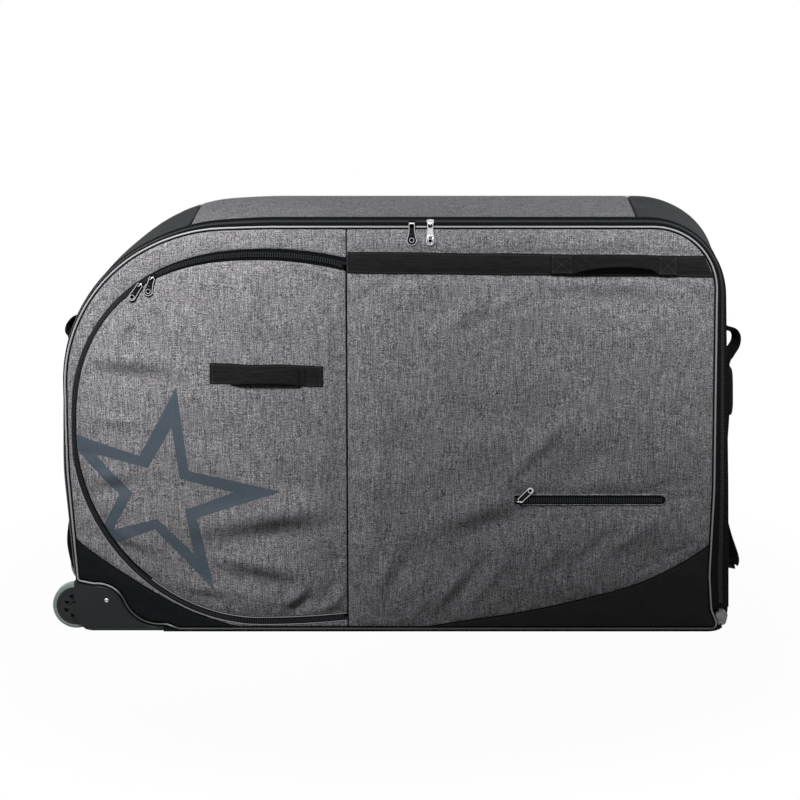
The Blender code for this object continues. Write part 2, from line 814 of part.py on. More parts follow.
def meets(line, outline):
    """Where an open line crosses a closed outline: both edge numbers, spot."""
    found = []
    count = len(outline)
    for i in range(len(line) - 1):
        p = Vector(line[i])
        r = Vector(line[i + 1]) - p
        for j in range(count):
            q = Vector(outline[j])
            s = Vector(outline[(j + 1) % count]) - q
            cross = r.x * s.y - r.y * s.x
            if abs(cross) < 1e-15:
                continue
            t = ((q - p).x * s.y - (q - p).y * s.x) / cross
            u = ((q - p).x * r.y - (q - p).y * r.x) / cross
            if 0 <= t <= 1 and 0 <= u < 1:
                found.append((i, j, tuple(p + r * t)))
    return found


def parted(outline, line):
    """A closed outline split by a line that crosses it twice: two outlines."""
    crossings = meets(line, outline)
    first = crossings[0]
    last = crossings[-1]
    inside = [first[2]] + line[first[0] + 1:last[0] + 1] + [last[2]]
    count = len(outline)

    def run(from_edge, to_edge):
        """Outline points from one edge to another, anticlockwise."""
        spots = []
        i = (from_edge + 1) % count
        while True:
            spots.append(outline[i])
            if i == to_edge:
                return spots
            i = (i + 1) % count

    one = inside + run(last[1], first[1])
    other = inside[::-1] + run(first[1], last[1])
    return without_doubles(one), without_doubles(other)


def lowest_part(parts):
    """The part of a split outline that reaches least high, and the other."""
    return sorted(parts, key=lambda part: max(z for _, z in part))


def add_front_cloth(build):
    """The lid: two cloth panels, two black corners and its round opening."""
    sheet = offset_loop(piping_loop(), PIPE_R + GAP)
    half = SEAM_GAP / 2
    left_line, right_line = corner_lines(half)
    left_low, right_low = corner_lines(-half)
    seam = [(SEAM_X + half, -0.1), (SEAM_X + half, 1.0)]
    right = max(parted(sheet, seam), key=lambda part: max(x for x, _ in part))
    seam = [(SEAM_X - half, -0.1), (SEAM_X - half, 1.0)]
    left = min(parted(sheet, seam), key=lambda part: min(x for x, _ in part))
    rear = FRONT_Y + LID_T
    build.body("lid", (0, FRONT_Y, LID_HINGE_Z))
    build.solid("lid_right_panel", prism(lowest_part(parted(right, right_line))[1], FRONT_Y, rear),
                "grey_melange_cloth", "lid")
    build.solid("lid_right_corner", prism(lowest_part(parted(right, right_low))[0], FRONT_Y, rear),
                "black_ripstop_cloth", "lid")
    build.solid("lid_left_corner", prism(lowest_part(parted(left, left_low))[0], FRONT_Y, rear),
                "black_ripstop_cloth", "lid")
    panel = lowest_part(parted(left, left_line))[1]
    frame = build.solid("lid_left_panel", prism(panel, FRONT_Y, rear), "grey_melange_cloth", "lid")
    rim = flap_rim(OPENING, SEAM_X + SWING_GAP)
    opening = build.tool("flap_opening", prism(rim, FRONT_Y - 0.01, rear + 0.01), "lid")
    build.cut(frame, opening)


def add_rear_cloth(build):
    """Rear panel with black lower corners and its piping."""
    edge = at_rear(offset_loop(wall_outline(), PIPE_R))
    loop = [(x, WALL_REAR_Y + GAP + PIPE_R, z) for x, z in edge]
    piping = build.solid("rear_piping", tube(loop, PIPE_R, PIPE_SIDES, closed=True),
                         "pale_piping", round_piece=True)
    sheet = at_rear(offset_loop(wall_outline(), 2 * PIPE_R + GAP))
    half = SEAM_GAP / 2
    left_line, right_line = corner_lines(half)
    left_low, right_low = corner_lines(-half)
    y0 = WALL_REAR_Y + GAP
    rest = lowest_part(parted(sheet, left_line))[1]
    panel = lowest_part(parted(rest, right_line))[1]
    left = lowest_part(parted(sheet, left_low))[0]
    right = lowest_part(parted(sheet, right_low))[0]
    build.solid("rear_panel", prism(panel, y0, REAR_Y), "grey_melange_cloth")
    patch = build.solid("rear_left_corner", prism(left, y0, REAR_Y), "black_ripstop_cloth")
    build.solid("rear_right_corner", prism(right, y0, REAR_Y), "black_ripstop_cloth")
    room = build.rooms[1]
    build.cut(piping, room)
    build.cut(patch, room)


def add_lid_edge(build):
    """Piping, both halves of the main zip, its end tab and the cloth hinge."""
    loop = piping_loop()
    path = [(x, PIPE_Y, z) for x, z in loop]
    build.solid("lid_piping", tube(path, PIPE_R, PIPE_SIDES, closed=True), "pale_piping", "lid",
                round_piece=True)
    end_z = HOUSING_LEFT_Z + PIPE_TURN_LIFT
    inner = side_path(inset(PIPE, -PIPE_R - GAP), ZIP_FOOT_Z, end_z)
    outer = side_path(WALL, ZIP_FOOT_Z, end_z)
    y_in = PIPE_Y
    y_out = WALL_FRONT_Y - GAP - TAPE_T
    split = MAIN_TAPE_SHARE
    y_lid = y_in + (y_out - y_in) * split
    y_case = y_in + (y_out - y_in) * (1 - split)
    build.solid("lid_zip_tape", sloping_tape(inner, y_in, between(inner, outer, split), y_lid),
                "black_zip_tape", "lid")
    build.solid("case_zip_tape",
                sloping_tape(between(inner, outer, 1 - split), y_case, outer, y_out),
                "black_zip_tape")
    tab = [
        (PIPE.right_foot + PIPE_R + 0.002, ZIP_FOOT_Z - SEAM_GAP),
        (PIPE_FOOT_X + PIPE_R + 0.001, 0.012),
        (WALL.right_foot - 0.0155, 0.006),
        (WALL.right_foot - 0.004, 0.022),
        (WALL.right_foot, ZIP_FOOT_Z - SEAM_GAP),
    ]
    build.solid("zip_end_tab", prism(tab, WALL_FRONT_Y - GAP - 2 * TAPE_T, WALL_FRONT_Y - GAP),
                "grey_melange_cloth")
    strip_left = HOUSING_TIP_X + 0.004
    build.solid("lid_hinge_tape",
                box((strip_left, PIPE_Y - 0.001, 0.0), (BASE_RIGHT_X, WALL_FRONT_Y - GAP, TAPE_T)),
                "black_zip_tape")


def add_flap(build):
    """Round flap on its cloth hinge, both halves of its zip and its pocket."""
    seam = SEAM_X - SEAM_GAP / 2
    build.body("flap", (SEAM_X, FRONT_Y, FLAP_HINGE_Z), "lid")
    build.solid("access_flap", prism(flap_rim(FLAP_EDGE, seam), FRONT_Y, FRONT_Y + LID_T),
                "grey_melange_cloth", "flap")
    opening = flap_rim(OPENING, seam, -GAP)
    edge = flap_rim(FLAP_EDGE, seam, GAP)
    split = between(opening, edge, ZIP_SPLIT - ZIP_PART)
    meet = between(opening, edge, ZIP_SPLIT + ZIP_PART)
    y0, y1 = FRONT_Y, FRONT_Y + TAPE_T
    build.solid("flap_zip_tape_lid", prism(opening + split[::-1], y0, y1), "black_zip_tape", "lid")
    build.solid("flap_zip_tape", prism(meet + edge[::-1], y0, y1), "black_zip_tape", "flap")
    wall_in = flap_rim(OPENING, SEAM_X + SEAM_GAP)
    wall_out = flap_rim(OPENING, SEAM_X + SEAM_GAP + POCKET_WALL_T, POCKET_WALL_T)
    y2 = FRONT_Y + LID_T + GAP
    y3 = y2 + POCKET_DEPTH
    rings = []
    for a, b in zip(wall_in, wall_out):
        rings.append([(a[0], y2, a[1]), (b[0], y2, b[1]), (b[0], y3, b[1]), (a[0], y3, a[1])])
    build.solid("wheel_pocket_wall", rings_to_solid(rings, closed=True), "black_ripstop_cloth", "lid")
    build.solid("wheel_pocket_divider", prism(wall_out, y3 + GAP, y3 + GAP + DIVIDER_T),
                "black_ripstop_cloth", "lid")


def add_front_webbing(build):
    """Webbing band, flap patch and the two carry loops."""
    y_band = FRONT_Y - GAP
    half = BAND_W / 2
    left_z = BAND_Z + BAND_DROP / 2
    right_z = BAND_Z - BAND_DROP / 2
    band = [(BAND_LEFT_X, left_z - half), (BAND_RIGHT_X, right_z - half),
            (BAND_RIGHT_X - BAND_END_LEAN, right_z + half), (BAND_LEFT_X, left_z + half)]
    build.solid("front_band", prism(band, y_band - WEBBING_T, y_band), "black_webbing", "lid")
    y_loop = y_band - WEBBING_T - GAP
    slope = -BAND_DROP / (BAND_RIGHT_X - BAND_LEFT_X)
    add_loop(build, "front_band_handle", "lid", BAND_HANDLE_X, BAND_Z, slope, y_loop,
             BAND_HANDLE_L, BAND_HANDLE_W, BAND_HANDLE_FOOT, BAND_HANDLE_OUT, BAND_HANDLE_TUCK)
    patch = [(PATCH_X - PATCH_L / 2, PATCH_Z - PATCH_W / 2),
             (PATCH_X + PATCH_L / 2, PATCH_Z - PATCH_W / 2),
             (PATCH_X + PATCH_L / 2, PATCH_Z + PATCH_W / 2),
             (PATCH_X - PATCH_L / 2, PATCH_Z + PATCH_W / 2)]
    build.solid("flap_patch", prism(patch, y_band - WEBBING_T, y_band), "black_webbing", "flap")
    add_loop(build, "flap_handle", "flap", PATCH_X, FLAP_HANDLE_Z, 0.0, y_loop,
             FLAP_HANDLE_L, FLAP_HANDLE_W, FLAP_HANDLE_FOOT, FLAP_HANDLE_OUT, FLAP_HANDLE_TUCK)


def add_loop(build, name, body, x, z, slope, y, length, width, foot, out, tuck):
    """A webbing loop whose flat feet lie on a face and whose middle stands off."""
    half = length / 2
    rise = (half - foot) * LOOP_RISE
    knots = [(-half, 0), (-half + foot * LOOP_STITCHED, 0), (-half + foot, 0),
             (-half + foot + rise, out * LOOP_SHOULDER), (-(half - foot - rise) * LOOP_CROWN, out)]
    knots += [(-along, off) for along, off in knots[::-1]]
    path = smooth_path([(x + along, y - HANDLE_T / 2 - off, z + slope * along) for along, off in knots], 3)
    widths = []
    for spot in path:
        lifted = (y - HANDLE_T / 2 - spot.y) / out
        widths.append((-width / 2 + tuck * max(0.0, min(1.0, lifted)), width / 2))
    rings = ribbon_rings(path, widths, HANDLE_T, Vector((0, 0, 1)))
    for ring in rings:
        deepest = max(corner.y for corner in ring)
        if deepest > y:
            for corner in ring:
                corner.y -= deepest - y
    build.solid(name, rings_to_solid(rings), "black_webbing", body)


def wall_reach(z, wall_side):
    """How far an end wall stands out under either edge of its strap."""
    front = wall_outline()
    rear = at_rear(front)
    reach = []
    for y in (END_STRAP_Y - GRIP_W / 2, END_STRAP_Y + GRIP_W / 2):
        share = (y - WALL_FRONT_Y) / (WALL_REAR_Y - WALL_FRONT_Y)
        _, spot = crossing(between(front, rear, share), 1, z, wall_side)
        reach.append(wall_side * spot[0])
    return max(reach)


def add_end_strap(build, name, wall_side, loops):
    """A hauling strap down an end wall that stands off in two loops."""
    points = []
    for off, z in loops:
        reach = wall_reach(z, wall_side) + off + GAP + END_STRAP_T / 2
        points.append((wall_side * reach, END_STRAP_Y, z))
    path = smooth_path(points, 4)
    half = END_STRAP_W / 2
    rings = ribbon_rings(path, [(-half, half)] * len(path), END_STRAP_T, Vector((0, 1, 0)))
    for ring in rings:
        short = max(STRAP_GAP + wall_reach(corner.z, wall_side) - wall_side * corner.x
                    for corner in ring)
        for corner in ring:
            corner.x += wall_side * max(0.0, short)
    build.solid(name, rings_to_solid(rings), "black_webbing")
    return path


def add_end_handles(build):
    """Hauling straps at both ends, with a padded grip on the far one."""
    right = add_end_strap(build, "right_end_strap", 1, (
        (0.0, 0.600), (0.0, 0.574), (0.010, 0.566), (0.028, 0.559), (0.036, 0.545), (0.034, 0.526),
        (0.023, 0.507), (0.015, 0.490), (0.015, 0.440), (0.015, 0.388), (0.010, 0.300),
        (0.009, 0.215), (0.013, 0.180), (0.022, 0.146), (0.033, 0.112), (0.035, 0.094),
        (0.028, 0.081), (0.012, 0.084), (0.001, 0.081), (0.0, 0.060)))
    add_end_strap(build, "left_end_strap", -1, (
        (0.0, 0.612), (0.0, 0.592), (0.008, 0.585), (0.012, 0.571), (0.010, 0.556), (0.005, 0.543),
        (0.003, 0.500), (0.003, 0.330), (0.007, 0.215), (0.019, 0.175), (0.026, 0.135),
        (0.022, 0.096), (0.008, 0.086), (0.0, 0.080), (0.0, 0.060)))
    rings = []
    half = GRIP_W / 2
    held = [spot for spot in right if GRIP_LOW_Z <= spot.z <= GRIP_HIGH_Z]
    inner = END_STRAP_T / 2 + GAP
    outer = inner + GRIP_T
    lie = END_STRAP_W / 2 + GAP
    for spot in held:
        x, y, z = spot
        rings.append([(x - outer, y - half, z), (x + outer, y - half, z), (x + outer, y + half, z),
                      (x - outer, y + half, z)])
    grip = build.solid("right_end_grip", rings_to_solid(rings), "black_webbing")
    slot = []
    for spot in [held[0] + Vector((0, 0, 0.02))] + held + [held[-1] - Vector((0, 0, 0.02))]:
        x, y, z = spot
        slot.append([(x - inner, y - lie, z), (x + inner, y - lie, z), (x + inner, y + lie, z),
                     (x - inner, y + lie, z)])
    build.cut(grip, build.tool("grip_slot", rings_to_solid(slot)))


def add_small_pocket(build):
    """Zip of the small pocket and the pouch behind it."""
    right = POCKET_ZIP_LEFT_X + POCKET_ZIP_L
    half = POCKET_ZIP_W / 2
    outline = rounded([
        (POCKET_ZIP_LEFT_X, POCKET_ZIP_Z - half, 0, 0), (right, POCKET_ZIP_Z - half, half * 0.98, 5),
        (right, POCKET_ZIP_Z + half, half * 0.98, 5), (POCKET_ZIP_LEFT_X, POCKET_ZIP_Z + half, 0, 0)])
    y1 = FRONT_Y - GAP
    build.solid("pocket_zip_tape", prism(outline, y1 - TAPE_T, y1), "black_zip_tape", "lid")
    top = POCKET_ZIP_Z + POUCH_RISE
    middle = POCKET_ZIP_LEFT_X + POCKET_ZIP_L / 2
    y2 = FRONT_Y + LID_T + GAP
    build.solid("pocket_pouch",
                box((middle - POUCH_L / 2, y2, top - POUCH_H), (middle + POUCH_L / 2, y2 + POUCH_T, top)),
                "black_ripstop_cloth", "lid")


# Zip sliders and pullers

def slider_shape(centre, along, across, out):
    """Six-sided slider body, narrow towards its tail."""
    centre, along, across, out = Vector(centre), Vector(along), Vector(across), Vector(out)
    rings = []
    for level in (-0.5, 0.5):
        rings.append([centre + along * a * SLIDER_L + across * b * SLIDER_W + out * level * SLIDER_H
                      for a, b in SLIDER_PLAN])
    return rings_to_solid(rings)


def add_slider(build, name, parent, centre, along, across, out, pivot, pull, finish,
               nose=0.0, joint=None):
    """A slider with its lug and the puller that hangs on it."""
    along, across, out, pull = Vector(along), Vector(across), Vector(out), Vector(pull)
    centre = Vector(centre)
    pivot = Vector(pivot)
    build.body(name, joint or centre, parent)
    item = build.solid(name, slider_shape(centre + across * nose, along, across, out), finish, name)
    hinge = pull.cross(out).normalized()
    half = LUG_W / 2
    lug = [(-half, LUG_BORE_R), (-half, LUG_R), (half, LUG_R), (half, LUG_BORE_R)]
    build.cut(item, build.tool(name + "_lug", turned_ring(lug, pivot, hinge, 16), name), "UNION")
    build.body(name + "_puller", pivot, name)
    face = hinge.cross(pull).normalized()
    head = PULLER_HEAD_W / 2
    foot = PULLER_FOOT_W / 2
    outline = rounded([
        (-head, -EYE_BAR, 0, 0), (head, -EYE_BAR, 0, 0), (head, EYE_HOLE_FOOT + EYE_BAR, 0.010, 2),
        (foot, PULLER_L - foot, 0, 0), (foot, PULLER_L, foot * 0.8, 4),
        (-foot, PULLER_L, foot * 0.8, 4), (-foot, PULLER_L - foot, 0, 0),
        (-head, EYE_HOLE_FOOT + EYE_BAR, 0.010, 2)], closed=True)
    rings = []
    for level in (-0.5, 0.5):
        rings.append([pivot + hinge * u + pull * v + face * level * PULLER_T for u, v in outline])
    puller = build.solid(name + "_puller", rings_to_solid(rings), finish, name + "_puller")
    spot = pivot + pull * (PULLER_L - PULLER_HOLE_UP) - face * PULLER_T
    drill = turned([(0, PULLER_HOLE_R), (2 * PULLER_T, PULLER_HOLE_R)], spot, face, 12)
    build.cut(puller, build.tool(name + "_hole", drill, name + "_puller"))
    hole = ((-EYE_HOLE_W, EYE_HOLE_TOP), (EYE_HOLE_W, EYE_HOLE_TOP), (EYE_HOLE_W, EYE_HOLE_FOOT),
            (-EYE_HOLE_W, EYE_HOLE_FOOT))
    rings = []
    for level in (-1, 1):
        rings.append([pivot + hinge * u + pull * v + face * level * 2 * PULLER_T for u, v in hole])
    build.cut(puller, build.tool(name + "_eye", rings_to_solid(rings), name + "_puller"))


def add_main_sliders(build):
    """Two sliders on the slope of the main zip, side by side at the top."""
    rise = WALL.top - PIPE.top - PIPE_R
    slope = Vector((0, PIPE_Y - WALL_FRONT_Y, -rise)).normalized()
    out = Vector((0, slope.z, -slope.y)).normalized()
    if out.z < 0:
        out = -out
    middle = Vector((0, (PIPE_Y + WALL_FRONT_Y) / 2, (PIPE.top + PIPE_R + WALL.top) / 2))
    lift = TAPE_T + SLIDER_GAP + SLIDER_H / 2
    for name, x, finish in (("main_slider_left", MAIN_SLIDER_LEFT_X, "dark_metal"),
                            ("main_slider_right", MAIN_SLIDER_RIGHT_X, "bright_metal")):
        centre = middle + out * lift
        centre.x = x
        pivot = (x, PIPE_Y - MAIN_PIVOT_OUT, PIPE.top + MAIN_PIVOT_UP)
        add_slider(build, name, "lid", centre, (1, 0, 0), slope, out, pivot, (0, 0, -1), finish, MAIN_NOSE)


def flap_track():
    """Middle line of the flap's zip."""
    seam = SEAM_X - SEAM_GAP / 2
    return between(flap_rim(OPENING, seam), flap_rim(FLAP_EDGE, seam), ZIP_SPLIT)


def on_track(degrees):
    """Spot on the flap's zip at an angle round the flap, and its direction."""
    target = math.radians(degrees)
    track = flap_track()
    middle_x = (OPENING.upper_x + FLAP_EDGE.upper_x) / 2
    for a, b in zip(track, track[1:]):
        turn_a = math.atan2(a[1] - RIM_Z, a[0] - middle_x)
        turn_b = math.atan2(b[1] - RIM_Z, b[0] - middle_x)
        if turn_a <= target <= turn_b:
            share = (target - turn_a) / (turn_b - turn_a)
            spot = Vector(a).lerp(Vector(b), share)
            return spot, (Vector(b) - Vector(a)).normalized()
    raise ValueError("no such place on the flap's zip")


def track_centre(start, travel):
    """Centre of the arc that a stretch of the flap's zip follows."""
    a, b, c = (on_track(start + travel * share)[0] for share in (0.0, 0.5, 1.0))
    ab = b - a
    ac = c - a
    twice = 2 * (ab.x * ac.y - ab.y * ac.x)
    x = (ac.y * ab.length_squared - ab.y * ac.length_squared) / twice
    z = (ab.x * ac.length_squared - ac.x * ab.length_squared) / twice
    return a + Vector((x, z))


def add_flap_sliders(build):
    """Two sliders on the flap's zip, their pullers hanging."""
    y = FRONT_Y - SLIDER_GAP - SLIDER_H / 2
    out = Vector((0, -1, 0))
    for name, degrees, travel, pull, finish in (
            ("flap_slider_high", FLAP_SLIDER_HIGH, -FLAP_TRAVEL, (-0.28, 0, -0.96), "dark_metal"),
            ("flap_slider_low", FLAP_SLIDER_LOW, FLAP_TRAVEL, (-0.55, 0, -0.83), "dark_metal")):
        spot, run = on_track(degrees)
        along = Vector((run.x, 0, run.y))
        across = along.cross(out)
        centre = Vector((spot.x, y, spot.y))
        pull = Vector(pull).normalized()
        pivot = centre + out * (SLIDER_H / 2 + LUG_LIFT)
        middle = track_centre(degrees, travel)
        add_slider(build, name, "flap", centre, along, across, out, pivot, pull, finish,
                   joint=(middle.x, y, middle.y))


def add_pocket_slider(build):
    """Slider of the small pocket with its puller lying up and to the right."""
    out = Vector((0, -1, 0))
    y = FRONT_Y - GAP - TAPE_T - SLIDER_GAP - SLIDER_H / 2
    centre = Vector((POCKET_SLIDER_X, y, POCKET_ZIP_Z))
    pivot = centre + out * (SLIDER_H / 2 + LUG_LIFT)
    pull = Vector((0.70, 0, 0.71)).normalized()
    add_slider(build, "pocket_slider", "lid", centre, (1, 0, 0), (0, 0, 1), out, pivot, pull, "dark_metal")


def add_inside(build):
    """Stiff board on the base and two straps that hold the bicycle's frame."""
    z0 = WALL_T + GAP
    build.solid("base_board",
                box((HOUSING_TIP_X + 0.010, BOARD_FRONT_Y, z0),
                    (BASE_RIGHT_X - 0.010, WALL_REAR_Y - GAP, z0 + BOARD_T)), "board")
    y1 = WALL_REAR_Y
    for name, z in zip(("frame_strap_lower", "frame_strap_upper"), FRAME_STRAP_ZS):
        build.solid(name, box((FRAME_STRAP_X - FRAME_STRAP_L / 2, y1 - END_STRAP_T, z - FRAME_STRAP_W / 2),
                              (FRAME_STRAP_X + FRAME_STRAP_L / 2, y1, z + FRAME_STRAP_W / 2)),
                    "black_webbing")


def main():
    """Build the whole case."""
    clear_scene()
    build = Builder()
    build.body("case")
    add_housing_room(build)
    add_walls(build)
    add_rear_cloth(build)
    add_front_cloth(build)
    add_lid_edge(build)
    add_flap(build)
    add_front_webbing(build)
    add_small_pocket(build)
    add_end_handles(build)
    add_inside(build)
    for name, side in (("front", -1), ("rear", 1)):
        add_housing(build, "%s_housing" % name, side)
        add_wheel(build, "%s_wheel" % name, side)
    add_main_sliders(build)
    add_flap_sliders(build)
    add_pocket_slider(build)


main()
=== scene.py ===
"""Looks of a soft, padded travel case for a bicycle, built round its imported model.

Metres, +Z up, the floor at z = 0. The zipped lid faces -Y and the wheels are at
the -X end. Each sub-assembly is a class that builds its meshes and dresses them.
"""
from __future__ import annotations

import json
import logging
import math
from dataclasses import dataclass, field
from enum import Enum
from typing import Any, Callable, Iterable, Sequence

import bmesh
import bpy
import numpy as np
from mathutils import Matrix, Vector
from mathutils.bvhtree import BVHTree
from mathutils.geometry import delaunay_2d_cdt
from mathutils.kdtree import KDTree

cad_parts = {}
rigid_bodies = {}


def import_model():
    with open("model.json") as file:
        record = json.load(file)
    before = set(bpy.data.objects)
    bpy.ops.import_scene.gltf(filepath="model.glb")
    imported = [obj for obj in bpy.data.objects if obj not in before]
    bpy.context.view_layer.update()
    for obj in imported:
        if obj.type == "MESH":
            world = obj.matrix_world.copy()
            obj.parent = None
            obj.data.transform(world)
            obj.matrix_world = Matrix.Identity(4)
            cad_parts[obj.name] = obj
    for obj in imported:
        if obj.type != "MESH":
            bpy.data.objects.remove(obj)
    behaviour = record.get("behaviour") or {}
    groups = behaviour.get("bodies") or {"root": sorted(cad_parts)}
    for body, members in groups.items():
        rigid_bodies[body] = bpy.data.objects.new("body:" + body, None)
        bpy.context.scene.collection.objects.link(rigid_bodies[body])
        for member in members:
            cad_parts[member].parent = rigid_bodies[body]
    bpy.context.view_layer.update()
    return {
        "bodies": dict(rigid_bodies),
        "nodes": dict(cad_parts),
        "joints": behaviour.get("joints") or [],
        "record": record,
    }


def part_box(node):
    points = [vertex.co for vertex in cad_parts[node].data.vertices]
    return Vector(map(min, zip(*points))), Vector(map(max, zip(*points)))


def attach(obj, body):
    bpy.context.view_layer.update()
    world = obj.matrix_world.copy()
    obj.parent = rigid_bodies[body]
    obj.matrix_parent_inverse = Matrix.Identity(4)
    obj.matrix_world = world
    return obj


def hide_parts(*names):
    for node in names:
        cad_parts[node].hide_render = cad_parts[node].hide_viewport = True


LOG = logging.getLogger("travel_case")
SHARP = 30.0                    # the least angle of an edge that is rounded, in degrees
RAY_Y = -0.4                    # a depth in front of all that sticks out
Spot = tuple[float, float]
Item = bpy.types.Object
Material = bpy.types.Material
Node = bpy.types.Node
Socket = bpy.types.NodeSocket
Tree = bpy.types.NodeTree


# Colours and shader nodes

def linear(colour: str) -> tuple[float, float, float, float]:
    """Turn an sRGB hex colour to the linear values that a shader takes.

    Args:
        colour: six hex digits, with or without a leading hash.

    Returns:
        Linear red, green, blue and an alpha of 1.
    """
    digits = colour.lstrip("#")
    values = [int(digits[i:i + 2], 16) / 255 for i in (0, 2, 4)]
    toned = [v / 12.92 if v <= 0.04045 else ((v + 0.055) / 1.055) ** 2.4 for v in values]
    return (toned[0], toned[1], toned[2], 1.0)


def add_node(tree: Tree, kind: str, inputs: dict[Any, Any] | None = None,
             **settings: Any) -> Node:
    """Add one node with its settings, values and links.

    Args:
        tree: the tree that takes the node.
        kind: the node's Blender type.
        inputs: socket name or number to a value, or to the socket that feeds it.
        **settings: the node's own properties.

    Returns:
        The new node.
    """
    node = tree.nodes.new(kind)
    for name, value in settings.items():
        setattr(node, name, value)
    for key, value in (inputs or {}).items():
        socket = node.inputs[key]
        if isinstance(value, bpy.types.NodeSocket):
            tree.links.new(value, socket)
        else:
            socket.default_value = value
    return node


class Lay(Enum):
    """The way that a cloth's warp lies on the case."""

    UPRIGHT = "upright"
    ALONG = "along"


class Run(Enum):
    """The direction in which a webbing's length runs."""

    X = 0
    Z = 2


@dataclass(frozen=True)
class Finish:
    """A finish: a colour and a gloss, with the pattern added by each kind of finish."""

    name: str
    colour: str
    roughness: float = 0.5
    relief: float = 0.0             # depth of its raised pattern, in metres

    def material(self) -> Material:
        """The finish's material, made once and shared.

        Returns:
            The material.
        """
        found = bpy.data.materials.get(self.name)
        if found:
            return found
        material = bpy.data.materials.new(self.name)
        material.use_nodes = True
        tree = material.node_tree
        shader = tree.nodes["Principled BSDF"]
        shader.inputs["Base Color"].default_value = linear(self.colour)
        shader.inputs["Roughness"].default_value = self.roughness
        material.diffuse_color = linear(self.colour)
        raised = add_node(tree, "ShaderNodeBump", {
            "Height": self.dress(tree, shader), "Distance": self.relief, "Strength": 1.0})
        tree.links.new(raised.outputs["Normal"], shader.inputs["Normal"])
        return material

    def dress(self, tree: Tree, shader: Node) -> Socket:
        """Add the pattern and return the height by which it raises the surface."""
        raise NotImplementedError(self.name)

    def uneven_gloss(self, tree: Tree, shader: Node,
                     cell: Sequence[float], detail: float, reach: Spot) -> Socket:
        """Let the roughness wander with a noise.

        Args:
            tree: the material's tree.
            shader: its shader.
            cell: size of the noise's cells along X, Y and Z.
            detail: how many finer layers it has.
            reach: the lowest and the highest roughness.

        Returns:
            The noise.
        """
        noise = add_node(tree, "ShaderNodeTexNoise", {
            "Vector": self.place(tree, [1 / size for size in cell]), "Scale": 1.0,
            "Detail": detail})
        rough = add_node(tree, "ShaderNodeMapRange", {
            "Value": noise.outputs["Fac"], "To Min": reach[0], "To Max": reach[1]})
        tree.links.new(rough.outputs["Result"], shader.inputs["Roughness"])
        return noise.outputs["Fac"]

    @staticmethod
    def place(tree: Tree, scale: Sequence[float]) -> Socket:
        """Object coordinates stretched so that one unit is one thread, grain or slub.

        Args:
            tree: the material's tree.
            scale: how much each axis is stretched.

        Returns:
            The stretched coordinates.
        """
        where = add_node(tree, "ShaderNodeTexCoord")
        node = add_node(tree, "ShaderNodeMapping", {"Vector": where.outputs["Object"]})
        node.inputs["Scale"].default_value = scale
        return node.outputs["Vector"]


@dataclass(frozen=True)
class MelangeCanvas(Finish):
    """Melange polyester canvas: woven of light and dark slubbed threads, matt.

    Its look is short light and dark dashes, more of them upright than level.
    """

    pale: str = "#d2d0d4"
    dark: str = "#39373b"
    lay: Lay = Lay.UPRIGHT
    slub_width: float = 0.0014      # two 600-denier threads side by side
    slub_length: float = 0.032
    pick_length: float = 0.020      # the weft's slubs are shorter
    thread: float = 0.0017          # a 0.6 mm thread drawn coarser to show
    cloud: Sequence[float] = (0.009, 0.016, 0.016)
    breaks: float = 0.62            # how ragged the slubs are
    shares: Sequence[float] = (0.30, 0.21, 0.45, 0.04)  # of warp, weft, thread and cloud
    tones: Spot = (0.36, 0.64)      # the pattern's values at the darkest and palest threads
    fade: float = 1.6               # more dark thread than light
    sheen: Spot = (0.05, 0.5)
    gloss: float = 0.08
    relief: float = 0.0012

    def dress(self, tree: Tree, shader: Node) -> Socket:
        """Two sets of slubs, one along each thread direction, and their weave.

        Args:
            tree: the material's tree.
            shader: its shader.

        Returns:
            The height that raises the surface.
        """
        thin, long, pick = 1 / self.slub_width, 1 / self.slub_length, 1 / self.pick_length
        warp = (thin, long, long) if self.lay is Lay.UPRIGHT else (long, thin, thin)
        weft = (pick, thin, thin) if self.lay is Lay.UPRIGHT else (thin, pick, pick)
        patterns = ((warp, 2.0, self.breaks), (weft, 2.0, self.breaks),
                    ((1 / self.thread,) * 3, 1.0, 0.5), ([1 / s for s in self.cloud], 2.0, 0.5))
        total: Any = 0.0
        for (scale, detail, breaks), share in zip(patterns, self.shares):
            noise = add_node(tree, "ShaderNodeTexNoise", {
                "Vector": self.place(tree, scale), "Scale": 1.0, "Detail": detail,
                "Roughness": breaks})
            total = add_node(tree, "ShaderNodeMath", {
                0: noise.outputs["Fac"], 1: share, 2: total},
                operation="MULTIPLY_ADD").outputs[0]
        spread = add_node(tree, "ShaderNodeMapRange", {
            "Value": total, "From Min": self.tones[0], "From Max": self.tones[1]})
        share = add_node(tree, "ShaderNodeMath", {
            0: spread.outputs["Result"], 1: self.fade}, operation="POWER")
        blend = add_node(tree, "ShaderNodeMix", {
            "Factor": share.outputs[0], 6: linear(self.dark), 7: linear(self.pale)},
            data_type="RGBA")
        tree.links.new(blend.outputs[2], shader.inputs["Base Color"])
        shader.inputs["Sheen Weight"].default_value = self.sheen[0]
        shader.inputs["Sheen Roughness"].default_value = self.sheen[1]
        shader.inputs["Specular IOR Level"].default_value = self.gloss
        return total


